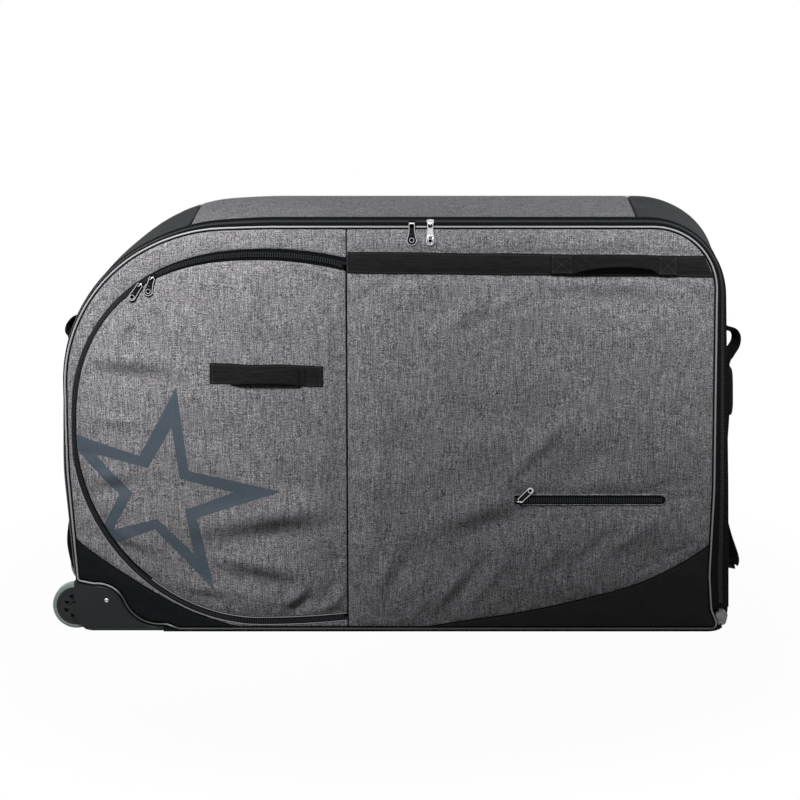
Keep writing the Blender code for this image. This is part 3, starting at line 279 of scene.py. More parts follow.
@dataclass(frozen=True)
class CoatedCloth(Finish):
    """Black polyester cloth with a coated back: a fine even weave with a dull sheen."""

    thread: float = 0.0014          # a 0.5 mm thread drawn coarser, so that it shows at all
    tone: float = 0.05              # size of its soft changes of gloss
    uneven: float = 0.08            # and how far they go
    sheen: float = 0.012
    gloss: float = 0.09
    relief: float = 0.00011

    def dress(self, tree: Tree, shader: Node) -> Socket:
        """A square weave on two planes, and soft tone changes.

        Args:
            tree: the material's tree.
            shader: its shader.

        Returns:
            The height that raises the surface.
        """
        place = self.place(tree, (math.pi / self.thread,) * 3)
        split = add_node(tree, "ShaderNodeSeparateXYZ", {0: place})
        waves = [add_node(tree, "ShaderNodeMath", {0: split.outputs[i]}, operation="SINE")
                 for i in range(3)]
        one = add_node(tree, "ShaderNodeMath", {
            0: waves[0].outputs[0], 1: waves[2].outputs[0]}, operation="MULTIPLY")
        two = add_node(tree, "ShaderNodeMath", {
            0: waves[1].outputs[0], 1: waves[2].outputs[0], 2: one.outputs[0]},
            operation="MULTIPLY_ADD")
        self.uneven_gloss(tree, shader, (self.tone,) * 3, 3.0,
                          (self.roughness - self.uneven, self.roughness + self.uneven))
        shader.inputs["Sheen Weight"].default_value = self.sheen
        shader.inputs["Specular IOR Level"].default_value = self.gloss
        return two.outputs[0]


@dataclass(frozen=True)
class WovenWebbing(Finish):
    """Polyester webbing: ribs across its width, a finer wale along it, and painted highlights."""

    run: Run = Run.X
    rib: float = 0.0022             # a 1.1 mm rib drawn twice as coarse to show
    wale: float = 0.0030
    relief: float = 0.00035
    highlight_streak_w: float = 0.0030        # how wide and long the streaks of painted highlight are
    highlight_streak_l: float = 0.0400
    painted_light_ramp: Spot = (0.38, 0.66)     # the streaks' values where the painted highlight begins and where it is full
    highlight_most: float = 1.3
    highlight_paler: float = 2.0              # how much paler the painted highlight on the rib tops is
    gloss: float = 0.08

    def dress(self, tree: Tree, shader: Node) -> Socket:
        """Ribs across the run, broken every other wale, and a painted highlight on the rib tops.

        Args:
            tree: the material's tree.
            shader: its shader.

        Returns:
            The height that raises the surface.
        """
        sides = [i for i in range(3) if i != self.run.value]
        scale = [0.0, 0.0, 0.0]
        scale[self.run.value] = math.tau / self.rib
        scale[sides[0]] = math.tau / self.wale
        scale[sides[1]] = math.tau / self.wale
        split = add_node(tree, "ShaderNodeSeparateXYZ", {0: self.place(tree, scale)})
        across = add_node(tree, "ShaderNodeMath", {
            0: split.outputs[sides[0]], 1: split.outputs[sides[1]]}, operation="ADD")
        wale = add_node(tree, "ShaderNodeMath", {0: across.outputs[0]}, operation="SINE")
        shift = add_node(tree, "ShaderNodeMath", {0: wale.outputs[0]}, operation="SIGN")
        turned = add_node(tree, "ShaderNodeMath", {
            0: shift.outputs[0], 1: math.pi / 2, 2: split.outputs[self.run.value]},
            operation="MULTIPLY_ADD")
        rib = add_node(tree, "ShaderNodeMath", {0: turned.outputs[0]}, operation="SINE")
        top = add_node(tree, "ShaderNodeMapRange", {
            "Value": rib.outputs[0], "From Min": -1.0, "From Max": 1.0})
        # painted highlight: the rib tops paler, in streaks
        stretch = [1 / self.highlight_streak_w] * 3
        stretch[self.run.value] = 1 / self.highlight_streak_l
        highlight_streaks = add_node(tree, "ShaderNodeTexNoise", {
            "Vector": self.place(tree, stretch), "Scale": 1.0, "Detail": 3.0})
        highlight_share = add_node(tree, "ShaderNodeMapRange", {
            "Value": highlight_streaks.outputs["Fac"], "From Min": self.painted_light_ramp[0],
            "From Max": self.painted_light_ramp[1], "To Max": self.highlight_most})
        share = add_node(tree, "ShaderNodeMath", {
            0: top.outputs["Result"], 1: highlight_share.outputs["Result"]}, operation="MULTIPLY")
        base = linear(self.colour)
        painted_light = tuple(min(1.0, c * self.highlight_paler) for c in base[:3]) + (1.0,)
        blend = add_node(tree, "ShaderNodeMix", {
            "Factor": share.outputs[0], 6: base, 7: painted_light}, data_type="RGBA")
        tree.links.new(blend.outputs[2], shader.inputs["Base Color"])
        shader.inputs["Specular IOR Level"].default_value = self.gloss
        return rib.outputs[0]


@dataclass(frozen=True)
class MouldedPlastic(Finish):
    """Injection-moulded polypropylene: a fine spark-eroded grain, satin."""

    grain: float = 0.0010
    gloss: float = 0.25             # a low share, as a grained face scatters most of it
    tone: float = 0.03              # size of its broad changes of gloss
    uneven: float = 0.07            # and how far they go
    relief: float = 0.00006

    def dress(self, tree: Tree, shader: Node) -> Socket:
        """Grain in the surface, and broad changes of gloss.

        Args:
            tree: the material's tree.
            shader: its shader.

        Returns:
            The height that raises the surface.
        """
        grain = add_node(tree, "ShaderNodeTexNoise", {
            "Vector": self.place(tree, (1 / self.grain,) * 3), "Scale": 1.0, "Detail": 2.0})
        self.uneven_gloss(tree, shader, (self.tone,) * 3, 3.0,
                          (self.roughness - self.uneven, self.roughness + self.uneven))
        shader.inputs["Specular IOR Level"].default_value = self.gloss
        return grain.outputs["Fac"]


@dataclass(frozen=True)
class CastTread(Finish):
    """Cast polyurethane: cloudy and grey-green, lit through at its edge."""

    clear: float = 0.35             # the share of light that goes straight through
    scuff: Sequence[float] = (0.003, 0.012, 0.003)
    scuffed: Spot = (0.04, 0.18)    # roughness between the scuffs and in them
    refraction: float = 1.49
    relief: float = 0.00004

    def dress(self, tree: Tree, shader: Node) -> Socket:
        """Part of the light goes through, and scuffs break the gloss.

        Args:
            tree: the material's tree.
            shader: its shader.

        Returns:
            The height that raises the surface.
        """
        shader.inputs["Transmission Weight"].default_value = self.clear
        shader.inputs["IOR"].default_value = self.refraction
        return self.uneven_gloss(tree, shader, self.scuff, 4.0, self.scuffed)


@dataclass(frozen=True)
class PlatedMetal(Finish):
    """Die-cast zinc under a thin plate: polished, with hair scratches."""

    hair: Sequence[float] = (0.0007, 0.0007, 0.006)
    polish: Spot = (0.7, 1.5)       # its roughness between the scratches and in them
    relief: float = 0.00003

    def dress(self, tree: Tree, shader: Node) -> Socket:
        """Full metal with a slightly uneven polish.

        Args:
            tree: the material's tree.
            shader: its shader.

        Returns:
            The height that raises the surface.
        """
        shader.inputs["Metallic"].default_value = 1.0
        return self.uneven_gloss(tree, shader, self.hair, 3.0, (
            self.roughness * self.polish[0], self.roughness * self.polish[1]))


@dataclass(frozen=True)
class CordedVinyl(Finish):
    """Vinyl drawn over a cord: smooth, with painted shade near the floor and round the housing."""

    painted_light_ramp: Spot = (0.0075, 0.0120)     # heights between which its painted shade near the floor fades out
    # centre of the painted shade round the housing's curve
    painted_light: tuple[float, float, float] = (-0.485, -0.160, 0.034)
    shade_spot_reach: Spot = (0.050, 0.066)   # the painted shade is full up to the first distance from there
    dark: Spot = (0.14, 0.16)       # the colour's share that is left in the two painted shades
    mark: float = 0.004
    tone: Spot = (0.80, 1.15)
    relief: float = 0.0002

    def dress(self, tree: Tree, shader: Node) -> Socket:
        """Faint ripples, handling marks and painted shade near the floor and round the housing.

        Args:
            tree: the material's tree.
            shader: its shader.

        Returns:
            The height that raises the surface.
        """
        marks = add_node(tree, "ShaderNodeTexNoise", {
            "Vector": self.place(tree, (1 / self.mark,) * 3), "Scale": 1.0, "Detail": 3.0})
        tone = add_node(tree, "ShaderNodeMapRange", {
            "Value": marks.outputs["Fac"], "To Min": self.tone[0], "To Max": self.tone[1]})
        height = add_node(tree, "ShaderNodeSeparateXYZ", {0: self.place(tree, (1, 1, 1))})
        # painted shade: darker towards the floor
        floor_shade = add_node(tree, "ShaderNodeMapRange", {
            "Value": height.outputs[2], "From Min": self.painted_light_ramp[0], "From Max": self.painted_light_ramp[1],
            "To Min": self.dark[0], "To Max": 1.0})
        share = add_node(tree, "ShaderNodeMath", {
            0: tone.outputs["Result"], 1: floor_shade.outputs["Result"]}, operation="MULTIPLY")
        # painted shade round the housing's curve
        far = add_node(tree, "ShaderNodeVectorMath", {
            0: self.place(tree, (1, 1, 1)), 1: self.painted_light}, operation="DISTANCE")
        housing_shade = add_node(tree, "ShaderNodeMapRange", {
            "Value": far.outputs["Value"], "From Min": self.shade_spot_reach[0],
            "From Max": self.shade_spot_reach[1], "To Min": self.dark[1], "To Max": 1.0})
        share = add_node(tree, "ShaderNodeMath", {
            0: share.outputs[0], 1: housing_shade.outputs["Result"]}, operation="MULTIPLY")
        shade = add_node(tree, "ShaderNodeMix", {
            "Factor": 1.0, 6: linear(self.colour), 7: share.outputs[0]},
            data_type="RGBA", blend_type="MULTIPLY")
        tree.links.new(shade.outputs[2], shader.inputs["Base Color"])
        return marks.outputs["Fac"]


@dataclass(frozen=True)
class PrintInk(Finish):
    """Screen-printed ink on canvas: the cloth's threads show through as relief."""

    thread: Sequence[float] = (0.0022, 0.01, 0.008)
    reach: Spot = (0.3, 0.7)
    tone: Spot = (0.86, 1.14)
    relief: float = 0.0003

    def dress(self, tree: Tree, shader: Node) -> Socket:
        """Ink that is a little thinner over the high threads.

        Args:
            tree: the material's tree.
            shader: its shader.

        Returns:
            The height that raises the surface.
        """
        threads = add_node(tree, "ShaderNodeTexNoise", {
            "Vector": self.place(tree, [1 / size for size in self.thread]), "Scale": 1.0,
            "Detail": 3.0})
        tone = add_node(tree, "ShaderNodeMapRange", {
            "Value": threads.outputs["Fac"], "From Min": self.reach[0],
            "From Max": self.reach[1], "To Min": self.tone[0], "To Max": self.tone[1]})
        shade = add_node(tree, "ShaderNodeMix", {
            "Factor": 1.0, 6: linear(self.colour), 7: tone.outputs["Result"]},
            data_type="RGBA", blend_type="MULTIPLY")
        tree.links.new(shade.outputs[2], shader.inputs["Base Color"])
        return threads.outputs["Fac"]


CANVAS = MelangeCanvas("melange_canvas", "#7f7d81", 0.88)
# the same canvas with darker pale threads: painted shade on the top wall; its warp runs along
CANVAS_TOP_SHADED = MelangeCanvas("melange_canvas_top", "#7f7d81", 0.88, pale="#bdbbbf", lay=Lay.ALONG)
BLACK_CLOTH = CoatedCloth("black_coated_cloth", "#101316", 0.66)
LINING = CoatedCloth("charcoal_lining", "#2a2a2c", 0.80)
WEBBING_X = WovenWebbing("black_webbing_level", "#232324", 0.80)
WEBBING_Z = WovenWebbing("black_webbing_upright", "#1a1a1b", 0.80, run=Run.Z)
TAPE = WovenWebbing("black_zip_tape", "#0c0d0f", 0.82, rib=0.0015, wale=0.0015, relief=0.00015)
COIL = MouldedPlastic("nylon_coil", "#2e3033", 0.34)
PIPING = CordedVinyl("pale_grey_vinyl", "#a8a9aa", 0.42)
# pale cords painted as the highlights on the flap's turned edges
EDGE_HIGHLIGHT = CordedVinyl("pale_hem_tape", "#a9a9ac", 0.6)
# painted light: its grey is paler than the tab's own, to make up for the shade it sits in
TAB_WEBBING_LIT = WovenWebbing("grey_webbing", "#cfcfd1", 0.75)
MOULDING = MouldedPlastic("black_polypropylene", "#181b1d", 0.45)
HUB = MouldedPlastic("black_nylon_hub", "#232526", 0.40)
TREAD = CastTread("clear_polyurethane", "#a3b2ac", 0.2)
BRIGHT = PlatedMetal("nickel_plate", "#d6d6d8", 0.16)
DARK = PlatedMetal("black_nickel_plate", "#1c1c1e", 0.32)
THREAD = CordedVinyl("black_bonded_thread", "#3a3a3c", 0.6)
GREY_THREAD = CordedVinyl("grey_bonded_thread", "#4a484c", 0.6)
INK = PrintInk("slate_blue_ink", "#45505a", 0.62)
BOARD = MouldedPlastic("black_board", "#262626", 0.6)


# Outlines are lists of (x, z) points, anticlockwise as seen from the front

@dataclass(frozen=True)
class Contour:
    """Upright outline of the case, as x and z positions of its sides."""

    right_foot: float
    right_waist: float
    right_mid: float
    right_top: float
    top: float
    left: float
    left_foot: float
    shoulder_r: float
    corner_r: float

    def drawn_in(self, by: float) -> "Contour":
        """The same contour further in.

        Args:
            by: how far, in metres.

        Returns:
            The smaller contour.
        """
        return Contour(self.right_foot - by, self.right_waist - by, self.right_mid - by,
                       self.right_top - by, self.top - by, self.left + by, self.left_foot + by,
                       self.shoulder_r - by, self.corner_r - by)


@dataclass(frozen=True)
class Rim:
    """A rim of the round flap, made of two squashed ovals."""

    left: float
    top: float
    foot: float
    upper_x: float
    lower_x: float
    upper_power: float
    lower_power: float
    seam_top: float
    seam_foot: float


def rounded(corners: Sequence[tuple[float, float, float, int]], closed: bool = False) -> list[Spot]:
    """Points of a path whose corners are arcs.

    Args:
        corners: x, z, radius and number of steps of each corner.
        closed: whether the path runs round.

    Returns:
        The path's points.
    """
    points: list[Spot] = []
    count = len(corners)
    for i, (x, z, radius, steps) in enumerate(corners):
        if radius == 0 or (not closed and i in (0, count - 1)):
            points.append((x, z))
            continue
        here = Vector((x, z))
        back = (Vector(corners[i - 1][:2]) - here).normalized()
        ahead = (Vector(corners[(i + 1) % count][:2]) - here).normalized()
        half = math.acos(max(-1.0, min(1.0, back.dot(ahead)))) / 2
        centre = here + (back + ahead).normalized() * radius / math.sin(half)
        start = here + back * radius / math.tan(half) - centre
        end = here + ahead * radius / math.tan(half) - centre
        turn = math.atan2(start.x * end.y - start.y * end.x, start.dot(end))
        for k in range(steps + 1):
            spot = centre + Matrix.Rotation(turn * k / steps, 2) @ start
            points.append((spot.x, spot.y))
    return points


def between(path_a: Sequence[Spot], path_b: Sequence[Spot], share: float) -> list[Spot]:
    """A path part of the way from one path to another."""
    return [(a[0] + (b[0] - a[0]) * share, a[1] + (b[1] - a[1]) * share)
            for a, b in zip(path_a, path_b)]


def offset_loop(points: Sequence[Spot], by: float) -> list[Spot]:
    """A closed outline moved to its left by a distance, along its own normals.

    Args:
        points: the outline.
        by: the distance.

    Returns:
        The moved outline.
    """
    spots = np.array(points, float)
    ahead = np.roll(spots, -1, axis=0) - spots
    ahead /= np.maximum(np.linalg.norm(ahead, axis=1), 1e-12)[:, None]
    back = np.roll(ahead, 1, axis=0)
    normal_a = np.stack([-ahead[:, 1], ahead[:, 0]], axis=1)
    normal_b = np.stack([-back[:, 1], back[:, 0]], axis=1)
    middle = normal_a + normal_b
    middle /= np.maximum(np.linalg.norm(middle, axis=1), 1e-9)[:, None]
    stretch = by / np.maximum((middle * normal_a).sum(axis=1), 0.5)
    return [tuple(p) for p in spots + middle * stretch[:, None]]


def evenly(points: Sequence[Sequence[float]], step: float, closed: bool = False) -> np.ndarray:
    """A path measured out again in equal steps.

    Args:
        points: the path, in 2 or 3 dimensions.
        step: the longest step.
        closed: whether the path runs round.

    Returns:
        The new points. A closed path doesn't repeat its first point.
    """
    spots = np.array(points, float)
    if closed:
        spots = np.vstack([spots, spots[:1]])
    keep = np.ones(len(spots), bool)
    keep[1:] = np.linalg.norm(np.diff(spots, axis=0), axis=1) > 1e-7
    spots = spots[keep]
    lengths = np.concatenate([[0.0], np.cumsum(np.linalg.norm(np.diff(spots, axis=0), axis=1))])
    count = max(2, int(math.ceil(lengths[-1] / step)))
    wanted = np.linspace(0.0, lengths[-1], count + 1)
    made = np.stack([np.interp(wanted, lengths, column) for column in spots.T], axis=1)
    return made[:-1] if closed else made


def in_steps(points: Sequence[Spot], step: float) -> list[Spot]:
    """A closed outline with its long edges divided, and its corners kept.

    Args:
        points: the outline.
        step: the longest edge that is left.

    Returns:
        The outline with more points.
    """
    made: list[Spot] = []
    for a, b in zip(points, list(points[1:]) + [points[0]]):
        count = max(1, int(math.ceil(math.dist(a, b) / step)))
        made += [(a[0] + (b[0] - a[0]) * k / count, a[1] + (b[1] - a[1]) * k / count)
                 for k in range(count)]
    return made


def smooth_path(points: Sequence[Sequence[float]], steps: int = 6) -> list[Vector]:
    """A smooth curve through given points.

    Args:
        points: the points.
        steps: how many steps lie between two of them.

    Returns:
        Points along the curve.
    """
    knots = [Vector(p) for p in points]
    path = []
    for i in range(len(knots) - 1):
        p0, p1, p2, p3 = (knots[max(i - 1, 0)], knots[i], knots[i + 1],
                          knots[min(i + 2, len(knots) - 1)])
        for k in range(steps):
            t = k / steps
            path.append(0.5 * (2 * p1 + (p2 - p0) * t + (2 * p0 - 5 * p1 + 4 * p2 - p3) * t ** 2
                               + (3 * p1 - 3 * p2 + p3 - p0) * t ** 3))
    path.append(knots[-1])
    return path


def eased(value: float, low: float, high: float) -> float:
    """A smooth step from 0 at low to 1 at high."""
    t = max(0.0, min(1.0, (value - low) / (high - low)))
    return t * t * (3 - 2 * t)


@dataclass(frozen=True)
class CaseLines:
    """The lines that the case is drawn from, as its solids have them."""

    wall: Contour = Contour(0.6405, 0.6385, 0.633, 0.612, 0.794, -0.628, -0.605, 0.312, 0.150)
    pipe: Contour = Contour(0.606, 0.6005, 0.605, 0.597, 0.780, -0.618, -0.598, 0.300, 0.120)
    opening: Rim = Rim(-0.6025, 0.739, 0.015, -0.232, -0.250, 2.30, 1.95, 0.721, 0.024)
    flap_edge: Rim = Rim(-0.594, 0.7195, 0.028, -0.246, -0.255, 2.42, 1.93, 0.699, 0.037)
    rim_z: float = 0.388
    seam_x: float = -0.085
    front_y: float = -0.160
    wall_front_y: float = -0.140
    wall_rear_y: float = 0.150
    rear_y: float = 0.160
    lid_t: float = 0.010
    wall_t: float = 0.008
    zip_foot_z: float = 0.044
    waist_z: float = 0.110
    waist_r: float = 0.150
    mid_z: float = 0.280
    mid_r: float = 0.800
    knee_z: float = 0.420
    knee_r: float = 0.600
    foot_r: float = 0.036
    base_left_x: float = -0.560
    base_right_x: float = 0.600
    wall_foot_left_x: float = -0.600
    top_left_x: float = -0.377
    top_right_x: float = 0.451
    pipe_r: float = 0.0025
    pipe_y: float = -0.1578
    pipe_foot_z: float = 0.0055
    pipe_foot_x: float = 0.621
    pipe_turn: float = 0.012        # where it leaves the side, above the housing
    pipe_lead: Spot = (0.006, 0.028)    # how far past the housing's tip it runs down
    pipe_bends: Sequence[float] = (0.004, 0.010, 0.020, 0.009)
    housing_left_z: float = 0.098
    housing_top_z: float = 0.092
    housing_tip: Spot = (-0.437, 0.011)
    housing_shoulder_x: float = -0.562
    housing_shoulder_r: float = 0.052
    housing_sweep_r: float = 0.074
    housing_front_y: float = -0.163
    housing_rear_y: float = -0.112
    housing_start: float = 96       # degrees at which its upper edge begins
    wider: float = 0.012            # how much the rear's upper right corner stands out
    wider_x: Spot = (0.30, 0.60)    # and between which places it does
    wider_z: Spot = (0.35, 0.65)
    drawn: float = 0.020            # how far the shoulder is drawn in at the rear
    swing: float = 0.001
    gap: float = 0.0003

    def depth_share(self, y: Any) -> Any:
        """How far back a depth, or an array of them, lies between the walls' two rims."""
        return (y - self.wall_front_y) / (self.wall_rear_y - self.wall_front_y)

    def sides(self, c: Contour, foot_z: float, end_z: float) -> list[Spot]:
        """The two sides and the top, from the right foot round to the left.

        Args:
            c: the contour that they follow.
            foot_z: height of the right foot.
            end_z: height at which the left side ends.

        Returns:
            The path's points.
        """
        return rounded([
            (c.right_foot, foot_z, 0, 0),
            (c.right_waist, self.waist_z, self.waist_r, 3),
            (c.right_mid, self.mid_z, self.mid_r, 2),
            (c.right_top, c.top, c.corner_r, 24),
            (c.left, c.top, c.shoulder_r, 40),
            (c.left, self.knee_z, self.knee_r, 4),
            (c.left_foot, end_z, 0, 0)])

    def wall_outline(self) -> list[Spot]:
        """Closed outline of the walls.

        Returns:
            The outline's points.
        """
        sides = self.sides(self.wall, self.waist_z * 0.5, self.housing_left_z)
        foot = rounded([
            (self.wall.left_foot, self.housing_left_z, 0, 0),
            (self.wall_foot_left_x, 0.0, self.foot_r, 8),
            (self.wall.right_foot + 0.0005, 0.0, self.foot_r, 8),
            (self.wall.right_foot, self.waist_z * 0.5, 0, 0)])
        return sides + foot[1:-1]

    def at_rear(self, outline: Iterable[Spot]) -> list[Spot]:
        """Where the points of a front outline lie on the rear panel.

        Args:
            outline: points in (x, z).

        Returns:
            The same points on the rear.
        """
        moved = []
        for x, z in outline:
            across = x - (self.wall.left + self.wall.shoulder_r)
            up = z - (self.wall.top - self.wall.shoulder_r)
            out = self.wider * eased(x, *self.wider_x) * eased(z, *self.wider_z)
            draw = 0.0
            if across < 0 and up > 0:
                draw = self.drawn * math.sin(2 * math.atan2(-across, up)) ** 2
            reach = math.hypot(across, up)
            moved.append((x - across / reach * draw + out, z - up / reach * draw))
        return moved

    def housing_edge(self, grow: float = 0.0) -> list[Spot]:
        """Upper edge of the wheel housing, from the end wall to its tip.

        Args:
            grow: how far outside the edge the line runs.

        Returns:
            The line's points.
        """
        first = Vector((self.housing_shoulder_x, self.housing_top_z - self.housing_shoulder_r))
        sweep_z = self.housing_tip[1] + self.housing_sweep_r
        reach = self.housing_shoulder_r + self.housing_sweep_r
        run = math.sqrt(reach ** 2 - (sweep_z - first.y) ** 2)
        second = Vector((first.x + run, sweep_z))
        start = math.radians(self.housing_start)
        meet = math.atan2(sweep_z - first.y, run)
        low = 1.5 * math.pi
        points = []
        for k in range(15):
            turn = start + (meet - start) * k / 14
            radius = self.housing_shoulder_r + grow
            points.append((first.x + radius * math.cos(turn), first.y + radius * math.sin(turn)))
        for k in range(1, 15):
            turn = meet + math.pi + (low - meet - math.pi) * k / 14
            radius = self.housing_sweep_r - grow
            points.append((second.x + radius * math.cos(turn), second.y + radius * math.sin(turn)))
        return points

    def piping_loop(self) -> list[Spot]:
        """Closed centre line of the piping round the lid.

        Returns:
            The loop's points.
        """
        grow = self.swing + self.pipe_r
        turn_z = self.housing_left_z + self.pipe_turn
        heel_r, tip_r, floor_r, toe_r = self.pipe_bends
        edge = self.housing_edge(grow)
        heel = rounded([
            (self.pipe.left_foot, turn_z, 0, 0),
            (self.pipe.left_foot + 0.0005, self.housing_left_z + grow, heel_r, 4),
            (edge[0][0], edge[0][1], 0, 0)])
        foot = rounded([
            (edge[-1][0], edge[-1][1], 0, 0),
            (self.housing_tip[0] + self.pipe_lead[0], edge[-1][1], tip_r, 3),
            (self.housing_tip[0] + self.pipe_lead[1], self.pipe_foot_z, floor_r, 3),
            (self.pipe_foot_x, self.pipe_foot_z, toe_r, 6),
            (self.pipe.right_foot, self.zip_foot_z, 0, 0)])
        return self.sides(self.pipe, self.zip_foot_z, turn_z) + heel[1:] + edge[1:] + foot[1:-1]

    def flap_rim(self, rim: Rim, seam_x: float, grow: float = 0.0) -> list[Spot]:
        """Rim of the round flap, from the seam over the top to the seam below.

        Args:
            rim: the rim's sizes.
            seam_x: where the seam stands.
            grow: how far outside the rim the line runs.

        Returns:
            The line's points.
        """
        path: list[Spot] = []
        for upper in (True, False):
            centre_x = rim.upper_x if upper else rim.lower_x
            power = rim.upper_power if upper else rim.lower_power
            side = centre_x - rim.left + grow
            rise = (rim.top - self.rim_z if upper else self.rim_z - rim.foot) + grow
            drop = rim.top - rim.seam_top if upper else rim.seam_foot - rim.foot
            half: list[Spot] = []
            for k in range(6):
                share = 1 - k / 6
                half.append((centre_x + (seam_x - centre_x) * share, rise - drop * share ** 2))
            for k in range(37):
                turn = math.pi / 2 * k / 36
                half.append((centre_x - abs(math.sin(turn)) ** (2 / power) * side,
                             abs(math.cos(turn)) ** (2 / power) * rise))
            if upper:
                path += [(x, self.rim_z + z) for x, z in half]
            else:
                path += [(x, self.rim_z - z) for x, z in half[:-1][::-1]]
        return path


LINES = CaseLines()
MIDDLE: Spot = (0.0, 0.4)       # a place inside every outline, in (x, z)


def crossing(points: Sequence[Spot], axis: int, value: float, side: int) -> tuple[int, Spot]:
    """Edge number and point where a closed outline crosses a line.

    Args:
        points: the outline.
        axis: 0 for an upright line, 1 for a level one.
        value: where the line lies.
        side: 1 for the crossing above or right of the middle, -1 for the other.

    Returns:
        The edge's number and the point.
    """
    middle = MIDDLE[1 - axis]
    for i, a in enumerate(points):
        b = points[(i + 1) % len(points)]
        if (a[axis] - value) * (b[axis] - value) > 0 or a[axis] == b[axis]:
            continue
        share = (value - a[axis]) / (b[axis] - a[axis])
        spot = (a[0] + (b[0] - a[0]) * share, a[1] + (b[1] - a[1]) * share)
        if (spot[1 - axis] - middle) * side > 0:
            return i, spot
    raise ValueError("the outline is not crossed there")


def run_of(points: Sequence[Spot], start: tuple[int, float, int],
           end: tuple[int, float, int]) -> list[Spot]:
    """The run of a closed outline between two crossings, anticlockwise.

    Args:
        points: the outline.
        start: axis, value and side of the first crossing.
        end: the same of the last one.

    Returns:
        The run's points.
    """
    first, start_spot = crossing(points, *start)
    last, end_spot = crossing(points, *end)
    run = [start_spot]
    i = (first + 1) % len(points)
    while i != (last + 1) % len(points):
        run.append(points[i])
        i = (i + 1) % len(points)
    return run + [end_spot]


# Meshes

def linked(name: str, data: bpy.types.ID) -> Item:
    """A new object at the origin, linked to the scene.

    Args:
        name: its name.
        data: its mesh, light or camera.

    Returns:
        The object.
    """
    item = bpy.data.objects.new(name, data)
    bpy.context.scene.collection.objects.link(item)
    return item


def new_object(name: str, verts: Iterable[Sequence[float]], faces: Iterable[Sequence[int]],
               tidy: bool = True) -> Item:
    """A mesh object at the origin, with its faces pointing outwards.

    Args:
        name: the piece's name.
        verts: points in metres.
        faces: vertex numbers of each face.
        tidy: whether doubles are merged and normals recalculated.

    Returns:
        The new object, linked to the scene.
    """
    mesh = bpy.data.meshes.new(name)
    mesh.from_pydata([tuple(v) for v in verts], [], [tuple(f) for f in faces])
    if tidy:
        work = bmesh.new()
        work.from_mesh(mesh)
        bmesh.ops.remove_doubles(work, verts=work.verts, dist=1e-6)
        bmesh.ops.recalc_face_normals(work, faces=work.faces)
        work.to_mesh(mesh)
        work.free()
    return linked(name, mesh)


def eased_copy(node: str, name: str, merge: float, flat: float, width: float,
               segments: int) -> Item:
    """A copy of a solid with its faces made whole and its edges rounded.

    Args:
        node: the solid's name.
        name: the copy's name.
        merge: how far apart points are that become one.
        flat: the angle in degrees up to which faces are joined.
        width: width of the rounding.
        segments: steps across it.

    Returns:
        The copy.
    """
    mesh = bpy.data.objects[node].data.copy()
    item = linked(name, mesh)
    work = bmesh.new()
    work.from_mesh(mesh)
    bmesh.ops.remove_doubles(work, verts=work.verts, dist=merge)
    bmesh.ops.dissolve_limit(work, angle_limit=math.radians(flat), verts=work.verts,
                             edges=work.edges)
    work.to_mesh(mesh)
    work.free()
    step = item.modifiers.new("eased", "BEVEL")
    step.width = width
    step.segments = segments
    step.limit_method = "ANGLE"
    step.angle_limit = math.radians(SHARP)
    step.harden_normals = False
    return settled(item)


def face_values(item: Item, kind: str) -> np.ndarray:
    """The normal or the middle of each of an object's faces.

    Args:
        item: the piece.
        kind: normal or center.

    Returns:
        One row of x, y and z for each face.
    """
    values = np.empty(len(item.data.polygons) * 3)
    item.data.polygons.foreach_get(kind, values)
    return values.reshape(-1, 3)


def smooth(item: Item, angle: float = 35.0) -> None:
    """Smooth shading with edges sharper than an angle kept."""
    item.data.shade_smooth()
    item.data.set_sharp_from_angle(angle=math.radians(angle))


def settled(item: Item) -> Item:
    """Turn an object's modifiers into its mesh.

    Args:
        item: the piece.

    Returns:
        The piece, without modifiers.
    """
    graph = bpy.context.evaluated_depsgraph_get()
    graph.update()
    mesh = bpy.data.meshes.new_from_object(item.evaluated_get(graph))
    item.modifiers.clear()
    old = item.data
    item.data = mesh
    bpy.data.meshes.remove(old)
    mesh.name = item.name
    return item


def refined(item: Item) -> Item:
    """Subdivide a piece once and turn that into its mesh.

    Args:
        item: the piece.

    Returns:
        The refined piece.
    """
    step = item.modifiers.new("rounding", "SUBSURF")
    step.levels = 1
    step.render_levels = 1
    return settled(item)


def search_tree(spots: Iterable[Sequence[float]]) -> KDTree:
    """A tree that finds the nearest of some points in space.

    Args:
        spots: the points.

    Returns:
        The tree, with the points numbered in their order.
    """
    listed = list(spots)
    tree = KDTree(len(listed))
    for i, spot in enumerate(listed):
        tree.insert(spot, i)
    tree.balance()
    return tree


def coords(item: Item) -> np.ndarray:
    """The vertices of an object's mesh.

    Args:
        item: the piece.

    Returns:
        One row of x, y and z for each vertex.
    """
    values = np.empty(len(item.data.vertices) * 3, np.float64)
    item.data.vertices.foreach_get("co", values)
    return values.reshape(-1, 3)


def set_coords(item: Item, values: np.ndarray) -> None:
    """Move the vertices of an object's mesh."""
    item.data.vertices.foreach_set("co", values.astype(np.float64).ravel())
    item.data.update()


def joined(name: str, items: Sequence[Item]) -> Item:
    """Several meshes made one object, their materials kept.

    Args:
        name: the new piece's name.
        items: the meshes, which are removed.

    Returns:
        The new piece.
    """
    verts: list[Sequence[float]] = []
    faces: list[list[int]] = []
    marks: list[int] = []
    finishes: list[Material] = []
    for item in items:
        start = len(verts)
        verts += [tuple(v.co) for v in item.data.vertices]
        slots = []
        for material in item.data.materials:
            if material not in finishes:
                finishes.append(material)
            slots.append(finishes.index(material))
        for face in item.data.polygons:
            faces.append([start + v for v in face.vertices])
            marks.append(slots[face.material_index] if slots else 0)
    made = new_object(name, verts, faces, tidy=False)
    for material in finishes:
        made.data.materials.append(material)
    made.data.polygons.foreach_set("material_index", marks)
    for item in items:
        bpy.data.objects.remove(item, do_unlink=True)
    return made


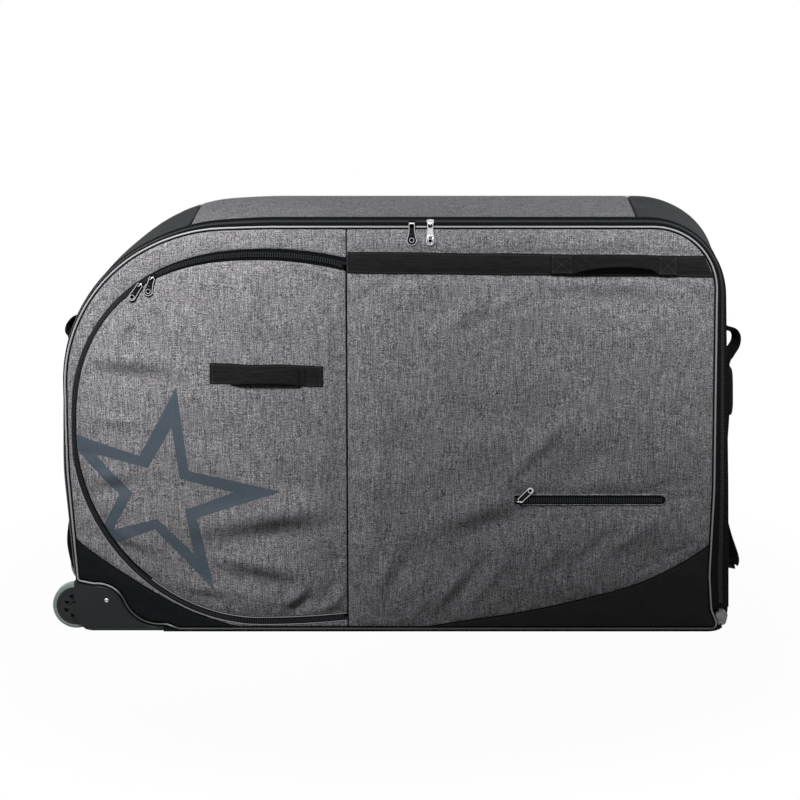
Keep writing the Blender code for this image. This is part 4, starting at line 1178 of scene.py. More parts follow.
@dataclass(frozen=True)
class Shoulder:
    """How far the soft shoulder over the wheels sinks inside the pattern it is cut to."""

    lid: float = 0.0070
    wall: float = 0.0060            # so much more on the wall behind
    reach: float = 0.024            # how far inside the piping the lid's cloth still moves
    lid_edge: float = -0.003        # where its cloth has moved all the way
    behind: Spot = (0.001, 0.014)   # how far out the wall's own sinking begins and ends
    low: Spot = (0.29, 0.46)        # heights between which it begins
    right: Spot = (-0.46, -0.21)    # and where it ends along the top

    def sink(self, item: Item) -> None:
        """Draw in the points of a piece that lie near the shoulder's edge or outside it.

        Args:
            item: the piece.
        """
        points = coords(item)
        close = np.nonzero((points[:, 0] < self.right[1]) & (points[:, 2] > self.low[0]))[0]
        if not len(close):
            return
        loop = evenly(LINES.piping_loop(), 0.006, closed=True)
        way = np.roll(loop, -1, axis=0) - np.roll(loop, 1, axis=0)
        way /= np.linalg.norm(way, axis=1)[:, None]
        turn = math.copysign(1.0, signed_area([tuple(p) for p in loop]))
        out = turn * np.stack([way[:, 1], -way[:, 0]], axis=1)
        share = ramp(loop[:, 1], *self.low) * (1 - ramp(loop[:, 0], *self.right))
        for part in np.array_split(close, len(close) // 20000 + 1):
            spots = points[part][:, [0, 2]]
            near = ((spots[:, None, :] - loop[None]) ** 2).sum(2).argmin(1)
            off = ((spots - loop[near]) * out[near]).sum(1)
            by = share[near] * (self.lid * ramp(off, -self.reach, self.lid_edge)
                                + self.wall * ramp(off, *self.behind))
            points[part, 0] -= out[near, 0] * by
            points[part, 2] -= out[near, 1] * by
        set_coords(item, points)


def ramp(values: np.ndarray, low: float, high: float) -> np.ndarray:
    """A smooth step from 0 to 1 between two values."""
    share = np.clip((values - low) / (high - low), 0, 1)
    return share * share * (3 - 2 * share)


def fitted(item: Item, body: str,
           replaces: Sequence[str] = (), finish: Finish | None = None) -> Item:
    """Dress a finished piece and let it ride on its body.

    Args:
        item: the piece, in place.
        body: the body that moves it.
        replaces: the solids that it stands for.
        finish: its finish, unless its mesh already has materials.

    Returns:
        The piece.
    """
    if finish is not None:
        item.data.materials.clear()
        item.data.materials.append(finish.material())
    if body in ("case", "lid", "flap"):
        Shoulder().sink(item)
    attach(item, body)
    if replaces:
        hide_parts(*replaces)
    LOG.info("%s: %d faces on %s", item.name, len(item.data.polygons), body)
    return item


def loft(name: str, rings: Sequence[Sequence[Sequence[float]]], closed: bool = False
         ) -> Item:
    """A solid through rings of equal size, capped at its ends unless it runs round.

    Args:
        name: the solid's name.
        rings: the rings' points.
        closed: whether the last ring joins the first.

    Returns:
        The solid.
    """
    size = len(rings[0])
    verts = [tuple(spot) for ring in rings for spot in ring]
    count = len(rings)
    faces: list[tuple[int, ...]] = []
    for r in range(count if closed else count - 1):
        a, b = r * size, (r + 1) % count * size
        faces += [(a + k, a + (k + 1) % size, b + (k + 1) % size, b + k) for k in range(size)]
    if not closed:
        faces.append(tuple(range(size)))
        faces.append(tuple(range(len(verts) - 1, len(verts) - size - 1, -1)))
    return new_object(name, verts, faces)


def tube(name: str, path: Sequence[Sequence[float]], radius: float, sides: int = 12,
         closed: bool = False, depth: Vector = Vector((0, 1, 0))) -> Item:
    """A round cord along a path that lies across a depth direction.

    Args:
        name: the cord's name.
        path: its centre line.
        radius: its radius.
        sides: how many sides it has.
        closed: whether it runs round.
        depth: a direction that the path never takes.

    Returns:
        The cord.
    """
    spots = [Vector(p) for p in path]
    count = len(spots)
    rings = []
    for i, here in enumerate(spots):
        before = spots[i - 1] if closed or i else here
        after = spots[(i + 1) % count] if closed or i < count - 1 else here
        along = (after - before).normalized()
        out = along.cross(depth).normalized()
        up = out.cross(along).normalized()
        rings.append([here + (out * math.cos(math.tau * k / sides)
                              + up * math.sin(math.tau * k / sides)) * radius
                      for k in range(sides)])
    made = loft(name, rings, closed)
    smooth(made, 60)
    return made


def turned(name: str, profile: Sequence[Spot], centre: Sequence[float], axis: Sequence[float],
           sides: int = 48, bored: bool = False) -> Item:
    """A turned solid from (distance along the axis, radius) pairs.

    Args:
        name: the solid's name.
        profile: the pairs.
        centre: the point that the distances start from.
        axis: the axis's direction.
        sides: how many sides it has.
        bored: whether the profile is a closed ring, which leaves a bore.

    Returns:
        The solid.
    """
    axle = Vector(axis).normalized()
    side = axle.orthogonal().normalized()
    other = axle.cross(side)
    rings = [[Vector(centre) + axle * along + (side * math.cos(math.tau * k / sides)
                                               + other * math.sin(math.tau * k / sides)) * radius
              for k in range(sides)] for along, radius in profile]
    made = loft(name, rings, closed=bored)
    smooth(made, 40)
    return made


def section(width: float, thick: float, across: int = 8, edge: int = 3) -> list[Spot]:
    """Cross-section of a strap with soft edges, as (across, out) pairs round it.

    Args:
        width: the strap's width.
        thick: its thickness.
        across: how many steps across each face.
        edge: steps round an edge.

    Returns:
        The pairs.
    """
    half, r = width / 2, thick / 2
    spots: list[Spot] = []
    for k in range(across + 1):
        spots.append((-half + r + (width - thick) * k / across, -r))
    for k in range(1, edge):
        turn = -math.pi / 2 + math.pi * k / edge
        spots.append((half - r + r * math.cos(turn), r * math.sin(turn)))
    for k in range(across + 1):
        spots.append((half - r - (width - thick) * k / across, r))
    for k in range(1, edge):
        turn = math.pi / 2 + math.pi * k / edge
        spots.append((-half + r + r * math.cos(turn), r * math.sin(turn)))
    return spots


def strap(name: str, path: Sequence[Vector], widths: Sequence[Spot], thick: Sequence[float],
          wide: Vector, cup: float = 0.0, turns: Sequence[float] | None = None
          ) -> Item:
    """A webbing strap along a path.

    Args:
        name: the piece's name.
        path: its centre line, in metres.
        widths: lower and upper reach of the strap at each point.
        thick: its thickness at each point.
        wide: the direction of its width.
        cup: how far its edges curl towards its inner face.
        turns: how far it is twisted at each point, in radians.

    Returns:
        The strap, not dressed yet.
    """
    rings = []
    count = len(path)
    for i, here in enumerate(path):
        along = (path[min(i + 1, count - 1)] - path[max(i - 1, 0)]).normalized()
        out = along.cross(wide).normalized()
        span = wide
        if turns is not None:
            span = wide * math.cos(turns[i]) + out * math.sin(turns[i])
            out = along.cross(span).normalized()
        low, high = widths[i]
        middle, width = (low + high) / 2, high - low
        ring = []
        for across, off in section(width, thick[i]):
            curl = cup * (2 * across / width) ** 2
            ring.append(here + span * (middle + across) + out * (off - curl))
        rings.append(ring)
    made = loft(name, rings)
    smooth(made, 50)
    return made


# Cloth

@dataclass
class Crease:
    """A soft fold in a panel: a ridge, or a dent where its height is negative."""

    x: float
    z: float
    turn: float
    length: float
    width: float
    height: float

    def lift(self, x: np.ndarray, z: np.ndarray) -> np.ndarray:
        """How far it lifts the cloth at each point.

        Args:
            x: the points' places along the case.
            z: their heights.

        Returns:
            One value for each point.
        """
        c, s = math.cos(math.radians(self.turn)), math.sin(math.radians(self.turn))
        along = (x - self.x) * c + (z - self.z) * s
        across = -(x - self.x) * s + (z - self.z) * c
        return self.height * np.exp(-(along / self.length) ** 2 - (across / self.width) ** 2)


def ripples(points: np.ndarray, seed: int, length: float, count: int = 7) -> np.ndarray:
    """Gentle unevenness of about -1 to 1 from a few crossing waves.

    Args:
        points: places, one row each.
        seed: fixes the directions and phases.
        length: the typical wavelength in metres.
        count: how many waves cross.

    Returns:
        One value for each point.
    """
    rng = np.random.default_rng(seed)
    total = np.zeros(len(points))
    for _ in range(count):
        way = rng.normal(size=points.shape[1])
        way /= np.linalg.norm(way)
        total += np.sin(points @ way * math.tau / (length * rng.uniform(0.6, 1.6))
                        + rng.uniform(0, math.tau))
    return total / math.sqrt(count)


def inside(points: np.ndarray, loops: Sequence[np.ndarray]) -> np.ndarray:
    """Which points lie inside an outline and outside its holes.

    Args:
        points: places in (x, z).
        loops: the outline and its holes.

    Returns:
        One truth value for each point.
    """
    within = np.zeros(len(points), bool)
    for loop in loops:
        ahead = np.roll(loop, -1, axis=0)
        for a, b in zip(loop, ahead):
            if a[1] == b[1]:
                continue
            crosses = (a[1] > points[:, 1]) != (b[1] > points[:, 1])
            level = a[0] + (points[:, 1] - a[1]) / (b[1] - a[1]) * (b[0] - a[0])
            within ^= crosses & (points[:, 0] < level)
    return within


def node_loops(node: str, y: float) -> list[list[Spot]]:
    """Outlines of a solid's flat face at a depth, the longest first.

    Args:
        node: the solid's name.
        y: the depth of the face.

    Returns:
        Closed outlines in (x, z), the outer one anticlockwise and holes clockwise.
    """
    work = bmesh.new()
    work.from_mesh(bpy.data.objects[node].data)
    bmesh.ops.remove_doubles(work, verts=work.verts, dist=1e-6)
    flat = {f for f in work.faces if all(abs(v.co.y - y) < 2e-5 for v in f.verts)}
    follows: dict[Any, Any] = {}
    for face in flat:
        for corner in face.loops:
            if sum(1 for f in corner.edge.link_faces if f in flat) == 1:
                follows[corner.vert] = corner.link_loop_next.vert
    loops = []
    while follows:
        start = next(iter(follows))
        loop = []
        here = start
        while here in follows:
            loop.append((here.co.x, here.co.z))
            here = follows.pop(here)
        loops.append(loop)
    work.free()
    loops.sort(key=lambda loop: -abs(signed_area(loop)))
    turned_right = []
    for i, loop in enumerate(loops):
        area = signed_area(loop)
        turned_right.append(loop if (area > 0) == (i == 0) else loop[::-1])
    return turned_right


def box_outline(x0: float, x1: float, z0: float, z1: float) -> list[Spot]:
    """A level box, anticlockwise."""
    return [(x0, z0), (x1, z0), (x1, z1), (x0, z1)]


def signed_area(loop: Sequence[Spot]) -> float:
    """Area of an outline, positive if it runs anticlockwise.

    Args:
        loop: the outline.

    Returns:
        The area in square metres.
    """
    p = np.array(loop)
    q = np.roll(p, -1, axis=0)
    return float((p[:, 0] * q[:, 1] - q[:, 0] * p[:, 1]).sum() / 2)


def plate(name: str, loops: Sequence[Sequence[Spot]], front: float, rear: float, spacing: float,
          edge: float, steps: int = 3, fill: bool = True) -> Item:
    """A flat body from outlines, with rounded rims and an even mesh on its faces.

    Args:
        name: the object's name.
        loops: the outline anticlockwise, then its holes clockwise, in (x, z).
        front: depth of the front face.
        rear: depth of the rear face.
        spacing: size of the mesh on the faces.
        edge: radius of the rounded rims.
        steps: how many steps round a rim.
        fill: whether the faces get inner points.

    Returns:
        The object, not dressed yet.
    """
    outer = [np.array(in_steps(loop, spacing)) for loop in loops]
    inner = [np.array(offset_loop([tuple(p) for p in loop], edge)) for loop in outer]
    points = [tuple(p) for loop in inner for p in loop]
    edges = []
    start = 0
    for loop in inner:
        count = len(loop)
        edges += [(start + i, start + (i + 1) % count) for i in range(count)]
        start += count
    if fill:
        low = inner[0].min(axis=0)
        high = inner[0].max(axis=0)
        rows = np.arange(low[1] + spacing / 2, high[1], spacing * 0.866)
        grid = []
        for k, level in enumerate(rows):
            xs = np.arange(low[0] + spacing * (0.5 if k % 2 else 0.0), high[0], spacing)
            grid.append(np.stack([xs, np.full(len(xs), level)], axis=1))
        cloud = np.concatenate(grid)
        cloud = cloud[inside(cloud, inner)]
        tree = search_tree((p[0], p[1], 0.0) for p in points)
        cloud = [p for p in cloud if tree.find((p[0], p[1], 0.0))[2] > spacing * 0.55]
        points += [tuple(p) for p in cloud]
    made = delaunay_2d_cdt([Vector(p) for p in points], edges, [], 2, 1e-7)
    flat, faces, origins = made[0], made[2], made[3]
    place: dict[int, int] = {}
    for i, sources in enumerate(origins):
        for source in sources:
            place[source] = i
    count = len(flat)
    verts = [(p.x, front, p.y) for p in flat] + [(p.x, rear, p.y) for p in flat]
    shapes = [tuple(f) for f in faces] + [tuple(count + v for v in reversed(f)) for f in faces]
    start = 0
    for rim, bound in zip(inner, outer):
        size = len(rim)
        layers = [[place[start + i] for i in range(size)]]
        for side in (0, 1):
            turns = range(1, steps + 1) if side == 0 else range(steps, 0, -1)
            for k in turns:
                turn = math.pi / 2 * k / steps
                back = edge * (1 - math.cos(turn))
                depth = front + back if side == 0 else rear - back
                base = len(verts)
                spots = rim + (bound - rim) * math.sin(turn)
                verts += [(p[0], depth, p[1]) for p in spots]
                layers.append([base + i for i in range(size)])
        layers.append([count + place[start + i] for i in range(size)])
        for one, two in zip(layers, layers[1:]):
            shapes += [(one[(i + 1) % size], one[i], two[i], two[(i + 1) % size])
                       for i in range(size)]
        start += size
    return new_object(name, verts, shapes)


@dataclass
class Swell:
    """How a padded piece swells when its cloth is simulated."""

    forward: float = 0.0035
    backward: float = 0.0020
    pressure: float = 4.0
    slack: float = -0.010
    held: float = 0.010
    frames: int = 20
    quality: int = 4
    mass: float = 0.3
    tension: float = 15
    bending: float = 1.2
    drift: float = 0.0015           # how far a point may move sideways
    quick_reach: float = 0.03


def swollen(item: Item, rims: Sequence[Sequence[Spot]], swell: Swell) -> None:
    """Let a closed pad swell under pressure, its rims held, and cap how far it moves.

    Args:
        item: the pad, whose faces look along Y.
        rims: its outlines in (x, z), along which it is sewn.
        swell: the sizes of the swelling.
    """
    rest = coords(item)
    far = rim_distance(rest, rims)[0]
    held = item.vertex_groups.new(name="held")
    for i in np.nonzero(far < swell.held)[0]:
        held.add([int(i)], 1.0, "REPLACE")
    cloth = item.modifiers.new("swelling", "CLOTH")
    cloth.settings.quality = swell.quality
    cloth.settings.mass = swell.mass
    cloth.settings.tension_stiffness = swell.tension
    cloth.settings.bending_stiffness = swell.bending
    cloth.settings.use_pressure = True
    cloth.settings.uniform_pressure_force = swell.pressure
    cloth.settings.shrink_min = swell.slack
    cloth.settings.vertex_group_mass = held.name
    cloth.settings.effector_weights.gravity = 0
    cloth.collision_settings.use_collision = False
    cloth.collision_settings.use_self_collision = False
    cloth.point_cache.frame_start = 1
    cloth.point_cache.frame_end = swell.frames
    scene = bpy.context.scene
    for frame in range(1, swell.frames + 1):
        scene.frame_set(frame)
    graph = bpy.context.evaluated_depsgraph_get()
    result = item.evaluated_get(graph).to_mesh()
    moved = np.empty(len(rest) * 3)
    result.vertices.foreach_get("co", moved)
    item.evaluated_get(graph).to_mesh_clear()
    item.modifiers.clear()
    scene.frame_set(1)
    shift = moved.reshape(-1, 3) - rest
    for axis in (0, 2):
        shift[:, axis] = np.clip(shift[:, axis], -swell.drift, swell.drift)
    shift[:, 1] = np.where(shift[:, 1] < 0,
                           -swell.forward * np.tanh(-shift[:, 1] / swell.forward),
                           swell.backward * np.tanh(shift[:, 1] / swell.backward))
    set_coords(item, rest + shift)
    item.vertex_groups.clear()


def rim_distance(points: np.ndarray, rims: Sequence[Sequence[Spot]], step: float = 0.003
                 ) -> tuple[np.ndarray, np.ndarray]:
    """Distance from each point to the nearest rim, and how far along the rim that is.

    Args:
        points: places in x, y and z.
        rims: the rims.
        step: how finely a rim is measured.

    Returns:
        Both values, one of each for every point.
    """
    marks: list[Spot] = []
    along: list[float] = []
    for rim in rims:
        path = evenly(rim, step, closed=True)
        marks += [tuple(p) for p in path]
        along += [i * step for i in range(len(path))]
    tree = search_tree((p[0], 0.0, p[1]) for p in marks)
    far = np.empty(len(points))
    where = np.empty(len(points))
    for i, p in enumerate(points):
        _, index, distance = tree.find((p[0], 0.0, p[2]))
        far[i] = distance
        where[i] = along[index]
    return far, where


@dataclass
class PaddedPanel:
    """A foam-filled panel sewn along its rims, flat but for what its cloth does."""

    name: str
    node: str
    body: str
    finish: Finish
    slot: str
    front: float = LINES.front_y
    rear: float = LINES.front_y + LINES.lid_t
    faces_rear: bool = False
    spacing: float = 0.009
    edge: float = 0.0022
    trim: float = 0.0004
    # how far a rim is drawn back near the piping, to show the black flange as painted shade
    margin: float = 0.0016
    margin_reach: float = 0.002     # how near the cord a rim has to be for it
    pucker: float = 0.0008
    pucker_reach: Spot = (0.004, 0.022)     # distances from the rim where it rises and dies
    pucker_pitch: Spot = (0.034, 0.21)      # its length, and that of its slow changes
    calm: float = 0.020             # how far the seam keeps the cloth still
    uneven: float = 0.0013
    uneven_length: float = 0.11
    roll: float = 0.0030
    roll_reach: float = 0.018
    seed: int = 1
    fill: float = 0.5
    swell: Swell = field(default_factory=Swell)
    creases: Sequence[Crease] = ()
    sewn: Sequence[Sequence[Spot]] = ()

    def build(self) -> Item:
        """Make the panel, swell it, fold it and let it ride.

        Returns:
            The panel, dressed and riding.
        """
        rims = node_loops(self.node, self.rear if self.faces_rear else self.front)
        rims = [self.off_piping(offset_loop(rim, self.trim)) for rim in rims]
        item = plate(self.name, rims, self.front, self.rear, self.spacing, self.edge)
        rims += [list(line) for line in self.sewn]
        if not self.faces_rear:
            swollen(item, rims, self.swell)
        item = refined(item)
        self.fold(item, rims)
        smooth(item, 60)
        fitted(item, self.body, (self.node,), self.finish)
        self.line(item)
        return item

    def off_piping(self, rim: Sequence[Spot]) -> list[Spot]:
        """The rim drawn back from the lid's piping, where the black flange shows as painted shade.

        Args:
            rim: the rim.

        Returns:
            The rim, moved where the piping is near.
        """
        cord = evenly(LINES.piping_loop(), 0.001, closed=True)
        tree = search_tree((x, z, 0.0) for x, z in cord)
        moved = []
        for x, z in in_steps(rim, 0.02):
            near, _, distance = tree.find((x, z, 0.0))
            push = self.margin if distance < LINES.pipe_r + self.margin_reach else 0.0
            moved.append((x + (x - near.x) / distance * push, z + (z - near.y) / distance * push))
        return moved

    def fold(self, item: Item, rims: Sequence[Sequence[Spot]]) -> None:
        """Add puckers along the seams, folds and unevenness to the outer face.

        Args:
            item: the piece.
            rims: the outlines along which it is sewn.
        """
        points = coords(item)
        far, where = rim_distance(points, rims)
        rise, fall = self.pucker_reach
        short, long = self.pucker_pitch
        lift = self.pucker * np.exp(-far / fall) * (1 - np.exp(-far / rise)) * (
            np.sin(where * math.tau / short + 2.0 * np.sin(where * math.tau / long)))
        calm = 1 - np.exp(-far / self.calm)
        lift += self.roll * (1 - np.exp(-far / self.roll_reach))
        lift += self.uneven * ripples(points[:, [0, 2]], self.seed, self.uneven_length) * calm
        for crease in self.creases:
            lift += crease.lift(points[:, 0], points[:, 2]) * calm
        middle = (self.front + self.rear) / 2
        half = (self.rear - self.front) / 2
        if self.faces_rear:
            outer = np.clip((points[:, 1] - middle) / half, 0, 1)
            points[:, 1] += lift * outer
        else:
            outer = np.clip((middle - points[:, 1]) / half, 0, 1)
            points[:, 1] -= lift * outer
        set_coords(item, points)

    def line(self, item: Item) -> None:
        """Give the inner face its lining.

        Args:
            item: the piece.
        """
        item.data.materials.append(LINING.material())
        inward = face_values(item, "normal")[:, 1] * (-1 if self.faces_rear else 1)
        item.data.polygons.foreach_set("material_index", (inward > 0.5).astype(np.int32))


# What repeats along a path

@dataclass
class Row:
    """Small equal things set along a path by Geometry Nodes, such as teeth or stitches."""

    name: str
    pitch: float
    item: Callable[[], Item]
    finish: Finish

    def tree(self) -> Tree:
        """The tree: measure the path out, set the item on it, turn it, make it real.

        Returns:
            The node tree, made once.
        """
        name = "row_along_path"
        found = bpy.data.node_groups.get(name)
        if found:
            return found
        tree = bpy.data.node_groups.new(name, "GeometryNodeTree")
        face = tree.interface
        face.new_socket("Geometry", in_out="INPUT", socket_type="NodeSocketGeometry")
        face.new_socket("Pitch", in_out="INPUT", socket_type="NodeSocketFloat")
        face.new_socket("Item", in_out="INPUT", socket_type="NodeSocketObject")
        face.new_socket("Finish", in_out="INPUT", socket_type="NodeSocketMaterial")
        face.new_socket("Geometry", in_out="OUTPUT", socket_type="NodeSocketGeometry")
        start = add_node(tree, "NodeGroupInput")
        curve = add_node(tree, "GeometryNodeMeshToCurve", {"Mesh": start.outputs["Geometry"]})
        even = add_node(tree, "GeometryNodeResampleCurve", {
            "Curve": curve.outputs["Curve"], "Length": start.outputs["Pitch"]}, mode="LENGTH")
        out = add_node(tree, "GeometryNodeInputNamedAttribute", {"Name": "out"},
                       data_type="FLOAT_VECTOR")
        way = add_node(tree, "GeometryNodeInputTangent")
        along = add_node(tree, "FunctionNodeAlignRotationToVector", {
            "Vector": way.outputs["Tangent"]}, axis="X")
        both = add_node(tree, "FunctionNodeAlignRotationToVector", {
            "Rotation": along.outputs["Rotation"], "Vector": out.outputs["Attribute"]},
            axis="Z", pivot_axis="X")
        shape = add_node(tree, "GeometryNodeObjectInfo", {"Object": start.outputs["Item"]})
        copies = add_node(tree, "GeometryNodeInstanceOnPoints", {
            "Points": even.outputs["Curve"], "Instance": shape.outputs["Geometry"],
            "Rotation": both.outputs["Rotation"]})
        real = add_node(tree, "GeometryNodeRealizeInstances", {
            "Geometry": copies.outputs["Instances"]})
        dressed = add_node(tree, "GeometryNodeSetMaterial", {
            "Geometry": real.outputs["Geometry"], "Material": start.outputs["Finish"]})
        add_node(tree, "NodeGroupOutput", {"Geometry": dressed.outputs["Geometry"]})
        return tree

    def lay(self, paths: Sequence[Sequence[Vector]], outs: Sequence[Sequence[Vector]]
            ) -> Item:
        """Set the items along paths.

        Args:
            paths: lines of points in metres.
            outs: the direction away from the surface at each point.

        Returns:
            One plain mesh of all the copies, not riding yet.
        """
        verts: list[Vector] = []
        edges: list[tuple[int, int]] = []
        away: list[float] = []
        for path, out in zip(paths, outs):
            start = len(verts)
            verts += [Vector(p) for p in path]
            edges += [(start + i, start + i + 1) for i in range(len(path) - 1)]
            for way in out:
                away += list(way)
        mesh = bpy.data.meshes.new(self.name)
        mesh.from_pydata(verts, edges, [])
        mesh.attributes.new("out", "FLOAT_VECTOR", "POINT").data.foreach_set("vector", away)
        made = linked(self.name, mesh)
        item = self.item()
        tree = self.tree()
        step = made.modifiers.new("row", "NODES")
        step.node_group = tree
        values = {"Pitch": self.pitch, "Item": item, "Finish": self.finish.material()}
        for socket in tree.interface.items_tree:
            if socket.in_out == "INPUT" and socket.name in values:
                step[socket.identifier] = values[socket.name]
        settled(made)
        bpy.data.objects.remove(item, do_unlink=True)
        return made


COIL_REACH = 0.0019             # half of a tooth's bar, without its rounded ends
COIL_LIFT = 0.0007
COIL_ENDS = ((-0.0012, 0.0004), (-0.0009, 0.0010), (0.0009, 0.0010), (0.0012, 0.0004))


def coil_tooth() -> Item:
    """One turn of a nylon coil zip as it shows from outside: a short round bar.

    Returns:
        The tooth, round the origin.
    """
    rings = []
    for x, r in COIL_ENDS:
        ring = []
        for k in range(6):
            turn = math.tau * k / 6
            reach = COIL_REACH if k in (0, 1, 5) else -COIL_REACH
            ring.append((x, reach + r * 0.9 * math.cos(turn), COIL_LIFT + r * math.sin(turn)))
        rings.append(ring)
    return loft("coil_tooth", rings)


STITCH_PITCH = 0.0044           # a 3.5 mm stitch and the hole after it
STITCH_BEND = ((-0.0017, -0.0003, 0.00022), (-0.0010, 0.00028, 0.00038),
               (0.0010, 0.00028, 0.00038), (0.0017, -0.0003, 0.00022))


def stitch() -> Item:
    """One stitch of bonded thread that dips at both ends.

    Returns:
        The stitch, round the origin.
    """
    rings = [[(x, r * math.cos(math.tau * k / 5), z + r * math.sin(math.tau * k / 5))
              for k in range(5)] for x, z, r in STITCH_BEND]
    return loft("stitch", rings)


def front_spots(item: Item, path: Iterable[Spot], lift: float) -> list[Vector]:
    """Points on the front of a piece, under a path in (x, z).

    Args:
        item: the piece.
        path: places in (x, z).
        lift: how far in front of the surface the points stand.

    Returns:
        The points.
    """
    tree = surface_of(item)
    spots = []
    for x, z in path:
        hit = tree.ray_cast(Vector((x, RAY_Y, z)), Vector((0, 1, 0)))[0]
        if hit is None:
            hit = tree.find_nearest(Vector((x, LINES.front_y, z)))[0]
        spots.append(Vector((x, hit.y - lift, z)))
    return spots


SURFACES: dict[str, BVHTree] = {}


def surface_of(item: Item) -> BVHTree:
    """A tree of a finished piece's surface, for setting things on it.

    Args:
        item: the piece.

    Returns:
        The tree, made once for each piece.
    """
    if item.name not in SURFACES:
        SURFACES[item.name] = BVHTree.FromPolygons(
            [v.co.copy() for v in item.data.vertices], [p.vertices[:] for p in item.data.polygons])
    return SURFACES[item.name]


def stitched(name: str, item: Item, paths: Sequence[Sequence[Spot]], body: str,
             finish: Finish = THREAD) -> Item:
    """Rows of stitches on the front of a piece.

    Args:
        name: the stitches' name.
        item: the piece that is sewn.
        paths: the rows, in (x, z).
        body: the body that moves them.
        finish: the thread.

    Returns:
        The stitches.
    """
    lines = [front_spots(item, evenly(path, 0.006), 0.0) for path in paths]
    row = Row(name, STITCH_PITCH, stitch, finish)
    made = row.lay(lines, [[Vector((0, -1, 0))] * len(line) for line in lines])
    smooth(made, 80)
    return fitted(made, body)


def frame_of(x0: float, x1: float, z0: float, z1: float) -> list[list[Spot]]:
    """The lines of a stitched box, with its cross.

    Args:
        x0: its left side.
        x1: its right side.
        z0: its foot.
        z1: its top.

    Returns:
        The lines, in (x, z).
    """
    corners = box_outline(x0, x1, z0, z1)
    lines = [[corners[i], corners[(i + 1) % 4]] for i in range(4)]
    return lines + [[(x0, z0), (x1, z1)], [(x0, z1), (x1, z0)]]


def ribbon_on(name: str, item: Item, low: Sequence[Spot], high: Sequence[Spot],
              thick: float, lift: float = 0.0003, across: int = 7) -> Item:
    """A flat tape that lies on the front of a piece, between two lines.

    Args:
        name: the tape's name.
        item: the piece that it lies on.
        low: its lower edge in (x, z).
        high: its upper edge, with as many points.
        thick: its thickness.
        lift: the gap under it.
        across: how many steps across it.

    Returns:
        The tape, not dressed yet.
    """
    rings = []
    for a, b in zip(low, high):
        rung = [(a[0] + (b[0] - a[0]) * k / across, a[1] + (b[1] - a[1]) * k / across)
                for k in range(across + 1)]
        spots = front_spots(item, rung, lift)
        inner = [(p.x, p.y, p.z) for p in spots]
        outer = []
        for k, p in enumerate(spots):
            drop = 0.45 * thick if k in (0, across) else 0.0
            outer.append((p.x, p.y - thick + drop, p.z))
        rings.append(outer + inner[::-1])
    made = loft(name, rings)
    smooth(made, 50)
    return made


# Sub-assemblies

